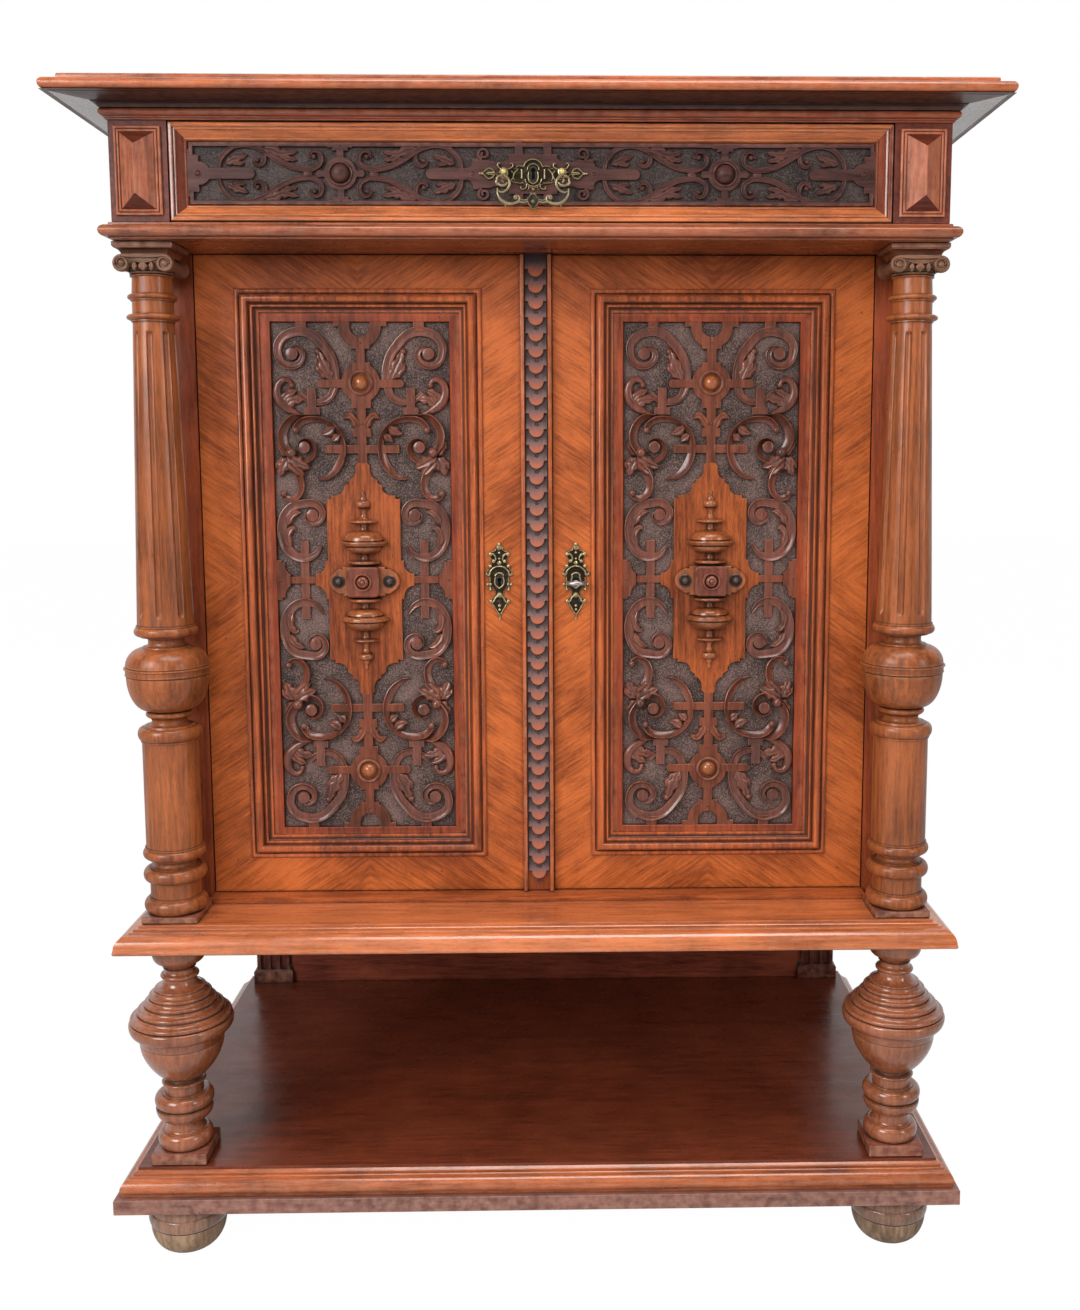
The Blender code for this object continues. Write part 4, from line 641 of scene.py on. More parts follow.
# Turnings, from the bottom up: kind, height, and the radii at the ends or at the greatest bulge
COLUMN_TURNING = (
    ("bead", 17.4, 31.0, 38.0), ("drum", 1.6, 31.9, 31.9), ("drum", 18.4, 30.3, 30.2),
    ("drum", 1.4, 31.6, 31.6), ("bead", 16.4, 31.5, 37.6), ("drum", 1.2, 29.5, 29.5),
    ("cove", 9.6, 29.0, 24.0), ("drum", 1.2, 31.5, 31.5), ("bead", 12.6, 31.8, 37.3),
    ("drum", 1.8, 34.6, 34.6), ("drum", 130.8, 33.2, 33.0), ("drum", 1.8, 34.3, 34.3),
    ("bead", 15.4, 33.0, 37.5), ("drum", 2.4, 30.0, 29.0), ("cove", 9.6, 24.5, 20.7),
    ("bead", 8.0, 23.0, 27.4), ("drum", 0.8, 22.0, 22.0), ("flare", 42.4, 25.0, 48.2),
    ("drum", 0.8, 46.8, 46.8), ("bead", 2.4, 48.4, 49.6), ("drum", 4.8, 48.8, 49.2),
    ("bead", 3.0, 49.0, 51.0),
    ("drum", 0.8, 47.6, 47.6), ("shoulder", 22.0, 48.6, 27.0), ("drum", 1.6, 28.2, 27.6),
    ("cove", 11.4, 25.0, 21.2),
    ("drum", 1.4, 30.0, 30.0), ("bead", 11.2, 32.4, 37.2), ("drum", 1.6, 34.6, 34.6),
    ("shaft", None, 33.2, 23.5),
    ("drum", 1.6, 25.2, 25.2), ("bead", 7.4, 24.0, 30.3), ("drum", 15.0, 23.5, 23.5),
    ("drum", 1.2, 25.2, 25.2), ("bead", 6.6, 24.0, 28.4), ("drum", 19.0, 23.5, 22.5),
    ("flare", 2.0, 22.5, 25.0),
)
LEG_TURNING = (
    ("bead", 19.2, 28.0, 33.4), ("drum", 1.4, 27.0, 27.0), ("cove", 14.6, 25.5, 23.0),
    ("drum", 1.2, 27.0, 27.0), ("flare", 13.0, 28.0, 35.0), ("drum", 1.2, 33.4, 33.4),
    ("bead", 17.6, 29.5, 36.0), ("drum", 1.2, 27.0, 27.0), ("drum", 11.4, 23.6, 23.4),
    ("bead", 3.8, 24.4, 26.8), ("drum", 3.6, 18.5, 18.5), ("bowl", 48.6, 21.5, 50.8),
    ("drum", 0.9, 50.0, 50.0),
    ("drum", 10.4, 51.2, 54.4), ("drum", 0.8, 54.0, 54.0), ("flare", 11.6, 56.4, 63.4),
    ("shoulder", 4.2, 63.4, 60.8),
    ("drum", 0.8, 58.0, 58.0),
    ("bead", 5.3, 59.4, 61.4), ("flare", 4.0, 58.8, 53.6), ("drum", 0.8, 50.8, 50.8),
    ("bead", 4.8, 50.8, 52.6), ("flare", 4.0, 50.2, 45.0), ("drum", 0.8, 42.2, 42.2),
    ("bead", 4.4, 42.2, 43.8), ("flare", 3.6, 41.6, 38.4), ("drum", 0.6, 36.6, 36.6),
    ("bead", 4.6, 36.4, 38.0), ("flare", 4.6, 35.6, 31.4), ("drum", 0.5, 30.2, 30.2),
    ("bead", 2.0, 30.4, 31.0), ("flare", 11.5, 30.0, 19.8), ("drum", 0.8, 18.8, 18.8),
    ("bead", 5.6, 20.4, 23.3), ("cove", 7.6, 20.0, 17.6), ("drum", 5.4, 17.8, 21.4),
    ("drum", 1.0, 22.8, 22.8),
    ("flare", 12.6, 23.6, 32.6), ("shaft", None, 33.5, 33.5),
)
FOOT_TREAD = (("drum", 0.8, 22.0, 24.0), ("flare", 34.0, 24.0, 46.5))
FOOT_TURNING = (
    ("drum", 0.9, 45.0, 45.0), ("bead", 16.0, 46.4, 49.0), ("shoulder", 15.0, 46.4, 37.5),
    ("drum", 1.2, 37.8, 37.8), ("shaft", None, 36.0, 38.0),
)


def fluted_shaft(profile, shaft, turn):
    """A turning whose shaft has round-ended flutes cut into it, one of them at the given angle."""
    low, high, foot, head = shaft
    inner = np.arange(low + FLUTE_STEP, high - FLUTE_STEP / 2, FLUTE_STEP)
    rows = [row for row in profile if row[1] <= low] + [(None, level) for level in inner]
    rows += [row for row in profile if row[1] >= high]
    pitch = 360.0 / FLUTES
    flute = np.linspace(-FLUTE_SPAN, FLUTE_SPAN, FLUTE_POINTS)
    land = np.linspace(FLUTE_SPAN, pitch - FLUTE_SPAN, LAND_POINTS)[1:-1]
    one = np.concatenate([flute, land])
    beside = np.radians(np.tile(np.where(one > pitch / 2, one - pitch, one), FLUTES))
    turned = np.radians(np.concatenate([one + turn + pitch * step for step in range(FLUTES)]))
    ends = (low + FLUTE_MARGIN + FLUTE_HALF, high - FLUTE_MARGIN - FLUTE_HALF)
    rings = []
    for radius, level in rows:
        reach = np.full(len(turned), radius or foot + (head - foot) * (level - low) / (high - low))
        if radius is None:
            past = max(ends[0] - level, level - ends[1], 0.0)
            off = np.hypot(reach * beside, past) / FLUTE_HALF
            reach = reach - FLUTE_DEPTH * np.sqrt(np.clip(1 - off**2, 0.0, None))
        level = np.full(len(turned), level)
        rings.append(np.column_stack([reach * np.cos(turned), reach * np.sin(turned), level]))
    return skin(rings)


def on_plinth(node, plinth_height, half):
    """Where a turning stands on its square plinth, how tall it is, and the plinth in its place."""
    low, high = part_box(node)
    centre = ((low.x + high.x) / 2, (low.y + high.y) / 2, low.z + plinth_height)
    plinth = rounded_box((-half, -half, -plinth_height), (half, half, 0.0), PLINTH_EDGE)
    return centre, high.z - centre[2], moved(plinth, centre)


def build_columns():
    """Fluted columns on their plinths."""
    for side, word in SIDES:
        node = f"column_{word}"
        centre, tall, plinth = on_plinth(node, COLUMN_PLINTH_HEIGHT, COLUMN_PLINTH_HALF)
        shape = fluted_shaft(*turned_profile(COLUMN_TURNING, tall), FLUTE_TURN[side])
        add_piece(f"fluted_column_{word}", moved(shape, centre), "turned", "carcass", [node])
        add_piece(f"column_plinth_{word}", plinth, "plinth", "carcass", [node])


def build_legs():
    """Turned vase legs on their plinths."""
    for _, word in SIDES:
        node = f"leg_{word}"
        centre, tall, plinth = on_plinth(node, LEG_PLINTH_HEIGHT, LEG_PLINTH_HALF)
        shape = lathe(turned_profile(LEG_TURNING, tall)[0], TURNED_SEGMENTS)
        add_piece(f"vase_leg_{word}", moved(shape, centre), "vase", "carcass", [node])
        add_piece(f"leg_plinth_{word}", plinth, "plinth", "carcass", [node])


def build_feet():
    """Bun feet, grooved at the widest, scuffed below the groove."""
    tread_height = sum(height for _, height, _, _ in FOOT_TREAD) * MM
    tread = lathe(turned_profile(FOOT_TREAD, tread_height)[0], TURNED_SEGMENTS)
    for node in [f"foot_{end}_{word}" for end in ("front", "rear") for _, word in SIDES]:
        low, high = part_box(node)
        upper = lathe(turned_profile(FOOT_TURNING, high.z - low.z - tread_height)[0], TURNED_SEGMENTS)
        centre = np.array(((low.x + high.x) / 2, (low.y + high.y) / 2, low.z))
        bun = moved(upper, centre + (0.0, 0.0, tread_height))
        add_piece(f"bun_{node}", bun, "foot", "carcass", [node])
        add_piece(f"tread_{node}", moved(tread, centre), "tread", "carcass")


def u_moulding(outline, half, front, back):
    """A mitred moulding round the front and sides. The outline is outward reach and level."""
    rings = []
    for side, at_back in ((LEFT, True), (LEFT, False), (RIGHT, False), (RIGHT, True)):
        rings.append([(side * (half + o), back if at_back else front - o, level) for o, level in outline])
    return skin(rings)


def moulded_board(outline, half, front, back):
    """A board whose front and side edges follow an outline of outward reach and level."""
    rings = []
    for o, level in outline:
        plan = ((-half - o, front - o), (half + o, front - o), (half + o, back), (-half - o, back))
        rings.append([(x, y, level) for x, y in plan])
    return skin(rings)


def outline_from(rows, low):
    """Outline rows of millimetres as metres above a level, with any arcs already in them."""
    return [(o * MM, low + level * MM) for o, level in rows]


# Angle in degrees at which the shading of a moulding breaks
MOULDING_ANGLE = 30.0
# Mouldings, in millimetres: outward reach and level
BASE_FASCIA = [
    (-1.0, 0.3), (23.0, 0.3), (24.0, 1.2), (24.0, 18.8), (23.4, 19.4), (16.6, 19.9), (-1.0, 20.0),
]
BASE_OVOLO = (
    [(-1.0, 19.9), (16.6, 19.9), (16.6, 22.2)]
    + arc((6.6, 28.0), 11.4, -28.0, 84.0, 14)
    + [(7.6, 40.4), (7.0, 40.9), (4.2, 41.2), (4.2, 43.4), (3.6, 44.0), (1.0, 46.0), (-1.0, 46.2)]
)
PLATFORM_OUTLINE = (
    [(-1.0, 0.4), (15.6, 0.4), (16.4, 1.2), (21.6, 1.4)]
    + arc((21.2, 4.6), 3.3, -75.0, 35.0, 8)
    + arc((8.2, 8.6), 15.2, 5.0, 86.0, 14)
    + [(8.6, 24.6), (8.6, 25.2), (4.6, 25.5), (4.6, 27.2), (4.0, 27.8), (0.6, 28.2), (-1.0, 28.4)]
)
WAIST_OUTLINE = (
    [(0.0, 0.3), (22.0, 0.3), (23.2, 0.9), (23.4, 2.8), (27.0, 3.2)]
    + arc((25.6, 9.0), 6.5, -66.0, 66.0, 12)
    + [(27.2, 15.6), (23.2, 16.1), (22.8, 18.4), (22.0, 18.9), (0.0, 18.9)]
)
CORNICE_ROLL = (
    [(0.0, 0.0), (1.6, 0.0), (2.2, 0.6), (2.2, 1.8), (3.4, 2.2), (3.8, 2.8), (3.8, 3.6)]
    + arc((3.6, 8.0), 4.3, -86.0, 60.0, 10)
    + [(5.4, 11.9), (0.0, 11.9)]
)
CORNICE_COVE = (
    [(0.0, 11.8), (6.2, 11.8), (6.9, 12.2)]
    + arc((12.9, 11.6), 5.5, 172.0, 98.0, 8)
    + [(13.3, 17.1), (13.5, 17.3), (13.5, 17.6), (12.9, 17.9), (0.0, 17.9)]
)
TOP_OUTLINE = (
    [(-2.0, 0.2), (-1.0, 0.0)]
    + arc((-6.6, 6.6), 6.6, -88.0, 88.0, 16)
    + [(-14.2, 13.6), (-15.0, 14.2), (-15.0, 18.6), (-15.6, 19.8), (-17.2, 20.5)]
)


def build_mouldings():
    """Edge mouldings of the base, the platform and the waist."""
    # The platform's and the waist's finishes are painted light and painted shade
    for node, members in (
        ("base_moulding", (("base_fascia", BASE_FASCIA, "fascia"), ("base_edge", BASE_OVOLO, "rail"))),
        ("platform_moulding", (("platform_edge", PLATFORM_OUTLINE, "lit_ledge"),)),
        ("waist_moulding", (("waist_edge", WAIST_OUTLINE, "shaded_waist"),)),
    ):
        low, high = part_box(node)
        reach = max(o for _, outline, _ in members for o, _ in outline) * MM
        bottom = low.z - members[0][1][0][1] * MM
        for name, outline, look in members:
            shape = u_moulding(outline_from(outline, bottom), high.x - reach, low.y + reach, high.y)
            add_piece(name, shape, look, "carcass", [node], angle=MOULDING_ANGLE)


def build_top():
    """Cornice and overhanging top board."""
    for node, outline, name, look in (
        ("cornice", CORNICE_ROLL, "cornice_edge", "dark"),
        # The cove's finish paints the shade under the top board's overhang
        ("cornice", CORNICE_COVE, "cornice_cove", "cove"),
        ("top_board", TOP_OUTLINE, "top_slab", "board"),
    ):
        low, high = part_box(node)
        reach = max(o for o, _ in (CORNICE_COVE if node == "cornice" else outline)) * MM
        rows = outline_from(outline, low.z)
        shape = moulded_board(rows, high.x - reach, low.y + reach, high.y)
        add_piece(name, shape, look, "carcass", [node], angle=MOULDING_ANGLE)


SOFFIT_MARGIN = 8.0 * MM
SOFFIT_SKIN = 0.3 * MM


def build_soffits():
    """Underside of the top board's overhang: pale at the sides, a painted reflection of the white
    surroundings, and dark along the front, painted shade.
    """
    low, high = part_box("top_board")
    inner_low, inner_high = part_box("cornice")
    wide, deep = high.x - SOFFIT_MARGIN, low.y + SOFFIT_MARGIN
    narrow, shallow = inner_high.x + SOFFIT_SKIN, inner_low.y - SOFFIT_SKIN
    back = high.y - SOFFIT_MARGIN
    # The front strip takes the cove's painted shade
    plans = [("soffit_front", "cove", [(-wide, deep), (wide, deep), (narrow, shallow), (-narrow, shallow)])]
    for side, word in SIDES:
        outer, inner = side * wide, side * narrow
        corners = [(outer, deep), (outer, back), (inner, back), (inner, shallow)]
        plans.append((f"soffit_{word}", "soffit", corners))
    levels = (low.z - SOFFIT_SKIN, low.z + SOFFIT_SKIN)
    for name, look, corners in plans:
        shape = skin([[(x, y, level) for x, y in corners] for level in levels])
        add_piece(name, shape, look, "carcass")


# Sections of carved bands: place across as a share of the half width, height as a share of the rise
FLAT = ((-1.0, 0.80), (-0.86, 1.0), (-0.6, 1.0), (0.6, 1.0), (0.86, 1.0), (1.0, 0.80))
BAND = (
    (-1.0, 0.66), (-0.9, 0.96), (-0.74, 1.0), (-0.58, 0.90), (-0.3, 0.74), (0.0, 0.70),
    (0.3, 0.74), (0.58, 0.90), (0.74, 1.0), (0.9, 0.96), (1.0, 0.66),
)
HOLLOW = (
    (-1.0, 0.70), (-0.94, 0.96), (-0.80, 1.0), (-0.66, 0.90), (-0.42, 0.68), (0.0, 0.56),
    (0.4, 0.60), (0.75, 0.70), (0.92, 0.66), (1.0, 0.48),
)
HOLLOW_LEFT = tuple((-t, k) for t, k in reversed(HOLLOW))
RIDGE = (
    (-1.0, 0.70), (-0.94, 0.96), (-0.78, 1.0), (-0.55, 0.86), (-0.2, 0.66), (0.2, 0.50),
    (0.6, 0.38), (1.0, 0.28),
)
RIDGE_LEFT = tuple((-t, k) for t, k in reversed(RIDGE))
ROUND = tuple((t, 0.2 + 0.8 * math.sqrt(1 - t * t)) for t in np.linspace(-1.0, 1.0, 9))
LEAF = (
    (-1.0, 0.50), (-0.85, 0.80), (-0.5, 1.0), (-0.16, 0.95), (0.0, 0.86),
    (0.16, 0.95), (0.5, 1.0), (0.85, 0.80), (1.0, 0.50),
)
# Carving, in millimetres: level of its foot, spacing of its rings, narrowest half width, chamfer
CARVING_BASE = -0.8
CARVING_STEP = 1.3
CARVING_NARROWEST = 0.25
PLATE_CHAMFER = 0.45
# Points drawn between two given ones of a curve, before it is spaced evenly
CURVE_POINTS = 14
# Leaves: spacing of their rings, where they are widest, how full, how deeply scalloped
LEAF_STEP = 0.8
LEAF_LEAN = 0.8
LEAF_FULLNESS = 0.7
LEAF_SCALLOP = 0.18
# Spirals: degrees between points, and places at which the radius is looked up
SPIRAL_STEP = 24.0
SPIRAL_PLACES = 400


def smooth_rows(rows, step):
    """Rows of place, half width and rise on a smooth curve through the given ones, a step apart."""
    rows = np.asarray(rows, float)
    chord = np.sqrt(np.hypot(*np.diff(rows[:, :2], axis=0).T))
    knots = np.concatenate([[0.0], np.cumsum(chord)])
    slopes = np.gradient(rows, knots, axis=0)
    fine = np.linspace(0.0, knots[-1], CURVE_POINTS * len(rows))
    span = np.clip(np.searchsorted(knots, fine, side="right") - 1, 0, len(rows) - 2)
    width = (knots[span + 1] - knots[span])[:, None]
    t = (fine - knots[span])[:, None] / width
    curve = (2 * t**3 - 3 * t**2 + 1) * rows[span] + (t**3 - 2 * t**2 + t) * width * slopes[span]
    curve += (3 * t**2 - 2 * t**3) * rows[span + 1] + (t**3 - t**2) * width * slopes[span + 1]
    run = np.concatenate([[0.0], np.cumsum(np.hypot(*np.diff(curve[:, :2], axis=0).T))])
    even = np.linspace(0.0, run[-1], max(5, round(run[-1] / step) + 1))
    return np.column_stack([np.interp(even, run, column) for column in curve.T])


def graded(points, halves, rises):
    """Path rows whose half widths and rises are spread evenly along the way."""
    points = np.asarray(points, float)
    run = np.concatenate([[0.0], np.cumsum(np.hypot(*np.diff(points, axis=0).T))])
    share = run / run[-1]
    half = np.interp(share, np.linspace(0.0, 1.0, len(halves)), halves)
    rise = np.interp(share, np.linspace(0.0, 1.0, len(rises)), rises)
    return np.column_stack([points, half, rise])


def ribbon(rows, section, base=CARVING_BASE, step=CARVING_STEP):
    """A carved band along a curve. Its section is scaled by each row's half width and rise."""
    path = smooth_rows(rows, step)
    ahead = np.gradient(path[:, :2], axis=0)
    ahead /= np.linalg.norm(ahead, axis=1, keepdims=True) + TINY
    beside = np.column_stack([-ahead[:, 1], ahead[:, 0]])
    across = np.array([-1.0] + [t for t, _ in section] + [1.0])
    half = np.maximum(path[:, 2], CARVING_NARROWEST)[:, None] * across
    flat = path[:, None, :2] + beside[:, None, :] * half[:, :, None]
    lift = path[:, 3, None] * np.array([0.0] + [k for _, k in section] + [0.0])
    lift[:, 0] = base
    lift[:, -1] = base
    return skin(np.stack([flat[:, :, 0], -lift, flat[:, :, 1]], -1))


def band(points, halves, rises, section=BAND, **shape):
    """A ribbon through points, with even changes of width and rise."""
    return ribbon(graded(points, halves, rises), section, **shape)


def leaf(points, width, rise, lobes=3, base=CARVING_BASE):
    """A leaf along a curve, its edge scalloped into lobes and its middle sunk along a vein."""
    rows = smooth_rows(graded(points, (1.0, 1.0), (1.0, 1.0)), LEAF_STEP)
    share = np.linspace(0.0, 1.0, len(rows))
    swell = np.sin(np.pi * share**LEAF_LEAN) ** LEAF_FULLNESS
    edge = 0.98 - LEAF_SCALLOP * np.cos(2 * np.pi * lobes * share)
    rows[:, 2] = width * swell * edge + 0.3
    rows[:, 3] = rise * (0.55 + 0.45 * swell)
    return ribbon(rows, LEAF, base=base, step=LEAF_STEP)


def spiral(centre, turns):
    """Points of a spiral whose radius is given at some angles in degrees."""
    angles = [angle for angle, _ in turns]
    count = max(4, round(abs(angles[-1] - angles[0]) / SPIRAL_STEP))
    share = np.linspace(0.0, 1.0, count + 1)
    places = np.linspace(0.0, 1.0, SPIRAL_PLACES)
    fine = angles[0] + (angles[-1] - angles[0]) * places
    order = 1 if angles[-1] > angles[0] else -1
    radii = np.interp(order * fine, [order * angle for angle in angles], [radius for _, radius in turns])
    turn = np.radians(angles[0] + (angles[-1] - angles[0]) * share)
    reach = np.interp(share, places, radii)
    return [(centre[0] + r * math.cos(a), centre[1] + r * math.sin(a)) for r, a in zip(reach, turn)]


def drawn_in(outline, amount):
    """A closed outline offset inwards."""
    points = np.asarray(outline, float)
    after = np.roll(points, -1, 0) - points
    after /= np.linalg.norm(after, axis=1, keepdims=True) + TINY
    before = np.roll(after, 1, 0)
    area = (points[:, 0] * np.roll(points[:, 1], -1) - points[:, 1] * np.roll(points[:, 0], -1)).sum()
    sign = 1.0 if area > 0 else -1.0
    first = np.column_stack([-before[:, 1], before[:, 0]]) * sign
    second = np.column_stack([-after[:, 1], after[:, 0]]) * sign
    spread = np.maximum(1.0 + (first * second).sum(1, keepdims=True), 0.5)
    return points + amount * (first + second) / spread


def plate(outline, rise, base=CARVING_BASE, chamfer=PLATE_CHAMFER):
    """A flat strap or plate with a narrow chamfer round its face."""
    rings = []
    for inset, height in ((0.0, base), (0.0, rise - chamfer), (chamfer, rise), (2 * chamfer, rise)):
        edge = drawn_in(outline, inset)
        rings.append(np.column_stack([edge[:, 0], np.full(len(edge), -height), edge[:, 1]]))
    return skin(rings)


def boss(profile, centre=(0.0, 0.0), segments=32):
    """A round boss turned about the line towards the viewer, from radius and height pairs."""
    angles = around(segments)
    circle = np.column_stack([np.cos(angles), np.zeros(segments), np.sin(angles)])
    return skin([circle * radius + (centre[0], -height, centre[1]) for radius, height in profile])


def dome(radius, rise, foot=CARVING_BASE, steps=6):
    """Profile of a dome standing on a short wall."""
    rows = [(radius, foot)]
    for angle in np.linspace(0.0, math.pi / 2, steps + 1)[:-1]:
        rows.append((radius * math.cos(angle), rise * math.sin(angle)))
    rows.append((radius * 0.06, rise))
    return rows


def ball(radius, lift, steps=8):
    """Profile of a ball whose middle is lifted off the ground."""
    angles = np.linspace(-math.pi / 2, math.pi / 2, steps + 1)
    return [(max(radius * math.cos(a), radius * 0.05), lift + radius * math.sin(a)) for a in angles]


def scoop(start, end, centre, steps=7):
    """A quarter of an ellipse about a centre that is level with one end and plumb with the other."""
    start = np.asarray(start, float) - centre
    end = np.asarray(end, float) - centre
    turns = np.linspace(0.0, math.pi / 2, steps + 1)
    return [tuple(np.asarray(centre) + start * math.cos(a) + end * math.sin(a)) for a in turns]


def both_sides(right):
    """A closed outline from its right half, listed from the top down."""
    return right + [(-x, z) for x, z in reversed(right)]


def up_and_down(upper):
    """A closed outline from its upper half."""
    return upper + [(x, -z) for x, z in reversed(upper)]


def four_fold(quadrant):
    """A closed outline from its upper right quarter, listed from the top to the right."""
    return both_sides(up_and_down(quadrant))


def repeated(bodies, x=(1, -1), z=(1, -1)):
    """Bodies mirrored across and up and down."""
    return [flipped(body, x=across, z=up) for body in bodies for across in x for up in z]


def placed(bodies, place, stretch=1.0):
    """Bodies drawn in millimetres, as one shape in metres at a place."""
    points, faces = merge(bodies)
    return points * MM * stretch + np.asarray(place, float), faces


# Door panel, in millimetres from the middle of its carved field
FIELD_HALF = 110.0
FIELD_HALF_HEIGHT = 319.7
FIELD_MIDDLE = DOOR_MIDDLE + 1.2 * MM
FIELD_STRETCH = (1.0, 1.0, 1.01)
FIELD_DEPTH = 5.0
GROUND_GRID = (96, 276)
GROUND_ROUGHNESS = 0.09
GROUND_SINK = 0.2
GROUND_SKIRT = 0.6
FIELD_MARGIN = 0.6
PANEL_CLEARANCE = 1.4
STRAP_RISE = 4.5
RING_HEIGHT = 243.0
RING_RADIUS = 24.0
NAIL = dome(2.6, STRAP_RISE + 1.3)
EYE = [(7.6, -0.8), (7.6, 4.2), (7.0, 5.2), (5.6, 5.6), (3.0, 5.9), (0.3, 6.0)]


def corner_scroll():
    """Big scroll of the panel's corner, its arm running down past the ring, with a leaf on the arm."""
    turns = (
        (100, 6.0), (140, 10.2), (180, 13.6), (270, 14.6), (360, 16.8), (450, 25.4), (522, 38.8),
        (551, 51.0), (570, 61.5),
    )
    eye = (84.2, 278.0)
    tail = [(34.0, 234.7), (38.4, 226.3), (46.8, 220.8), (56.5, 219.8), (66.1, 222.7), (76.0, 230.4)]
    halves = (3.0, 4.4, 5.2, 5.9, 6.0, 5.4, 4.4, 3.2)
    return [
        boss(EYE, eye),
        band(spiral(eye, turns) + tail, halves, (5.8, 5.8, 5.6, 5.4, 4.8, 3.6), HOLLOW),
        leaf([(36.5, 246), (42.5, 259), (48, 270), (52, 283)], 7.6, 6.4, 3),
        boss(dome(4.6, 5.8), (53.0, 281.0), 20),
        leaf([(39, 250), (48, 257), (55, 267)], 5.4, 5.4, 2),
    ]


def edge_leaf():
    """Curling leaf at the field's edge, under the corner scroll, with the short strap beside it."""
    path = [
        (85.4, 240.4), (88.6, 245.6), (95.1, 246.8), (101.6, 241.8), (104, 231.3), (100.7, 220.5),
        (90.3, 211.1), (76, 204.2),
    ]
    return [
        band(path, (3.0, 4.6, 6.0, 6.6, 5.8, 2.4), (5.6, 6.6, 6.4, 4.8), ROUND),
        boss(dome(4.2, 5.6), (85.6, 240.0), 20),
        leaf([(94, 215), (84, 222), (70, 223)], 6.4, 5.6, 2),
        leaf([(99, 219), (91, 229), (79, 234)], 5.4, 5.2, 2),
        plate([(56, 237), (66.8, 237), (66.8, 212), (56, 212)], STRAP_RISE + 0.3),
        plate([(51.7, 213), (71, 213), (71, 204), (51.7, 204)], STRAP_RISE + 0.2),
    ]


def bold_scroll():
    """The boldest C-scroll, with its volute, leaves and tail in high relief."""
    arm = [
        (56, 125.0), (44.4, 127.4), (32.5, 138.2), (25.5, 152.5), (23.4, 167.7), (26.6, 181), (35.8, 191.8),
        (46.8, 197.3), (60.1, 199), (72.2, 196.6), (79.2, 190.4), (81.4, 185.4),
    ]
    strand = [
        (70, 202.0), (83, 201.4), (92.7, 193), (98.0, 180.8), (97.2, 169.9), (91.5, 160.3), (88.4, 157.6),
    ]
    tail = [
        (90.0, 148.0), (85.0, 139.2), (79.2, 129.6), (76.6, 119), (78.2, 109.3), (83.8, 102.9),
        (91.0, 101.0), (96.8, 103.6), (99.2, 107.4),
    ]
    volute = spiral((71.4, 164.4), ((0, 6.0), (90, 8.8), (180, 12.5), (255, 16.3), (300, 19), (330, 22)))
    halves = (0.4, 3.6, 5.4, 4.0, 2.9, 2.8, 3.4, 4.2, 3.6)
    return [
        band(arm, halves, (5.0, 7.5, 10.0, 11.0, 11.0, 9.5), RIDGE_LEFT),
        boss(ball(4.2, 7.2), (81.2, 185.0), 20),
        band(strand, (2.2, 3.8, 4.8, 5.2, 5.0, 4.4), (8.0, 10.5, 11.5, 11.5, 10.0), RIDGE_LEFT),
        boss(ball(6.6, 6.6), (88.0, 157.6), 24),
        boss([(radius, height * 1.5) for radius, height in EYE], (71.4, 164.4)),
        band(volute, (1.9, 2.4, 2.9, 3.2, 2.6), (9.6, 9.2, 9.0, 8.0), RIDGE),
        leaf([(33, 191), (40, 184.5), (47, 181.5), (51, 182.5)], 5.4, 7.4, 1),
        leaf([(27, 181), (33, 175.5), (38.5, 171)], 4.8, 6.4, 1),
        leaf([(93, 154), (81, 146), (65, 139)], 8.2, 10.5, 3),
        leaf([(92, 149), (83, 138), (72, 130)], 7.0, 9.5, 2),
        leaf([(92, 154), (99, 162), (105, 171)], 5.4, 7.4, 2),
        band(tail, (3.6, 4.8, 4.8, 4.2, 3.6, 3.0), (9.6, 9.0, 8.2, 7.8, 7.6), RIDGE),
        boss(ball(4.2, 5.6), (98.6, 107.4), 24),
        leaf([(92, 152), (98.0, 142), (104, 129)], 7.8, 7.4, 3),
        leaf([(94, 150), (102, 146), (108, 138)], 5.0, 6.4, 2),
    ]


def lower_scroll():
    """C-scroll beside the cartouche, with its leaves and the strap that it crosses."""
    eye = (64.0, 80.8)
    inner = spiral(eye, ((20, 5.4), (-90, 9.6), (-180, 12.4), (-270, 15.0)))
    arm = [
        (72, 95.4), (89, 91.3), (99, 79.2), (102.4, 62.4), (99, 44.5), (89, 31.8), (75.8, 27.6),
        (62.5, 31.8), (53.8, 42.4),
    ]
    return [
        boss(EYE, eye),
        band(inner + arm, (2.8, 4.2, 5.2, 5.9, 6.2, 6.0, 5.4, 1.8), (5.8, 5.8, 6.0, 5.8, 5.0), HOLLOW_LEFT),
        leaf([(96, 68), (92, 77), (85, 83.5), (77.5, 85)], 4.8, 6.0, 2),
        leaf([(92, 40), (95.5, 50), (94, 60), (88.5, 65), (84.5, 61.5)], 4.8, 5.8, 2),
        plate([(69.8, 49), (80.2, 49), (80.2, -1), (69.8, -1)], STRAP_RISE - 1.3),
    ]


def small_straps():
    """Bars, tabs and petals that join the scrolls of one quarter."""
    end = arc((48.6, 242), 4.9, -90.0, 90.0, 6)
    return [
        plate([(18, 246.9), (18, 237.1)] + end, STRAP_RISE + 0.5),
        plate([(66, 320), (79, 320), (79, 305), (66, 305)], STRAP_RISE),
        plate([(4, 167.0), (46, 167.0), (46, 157.2), (4, 157.2)], STRAP_RISE + 0.4),
        leaf([(4.5, 186), (8, 196), (15, 203), (23, 199)], 5.2, 6.0, 2),
    ]


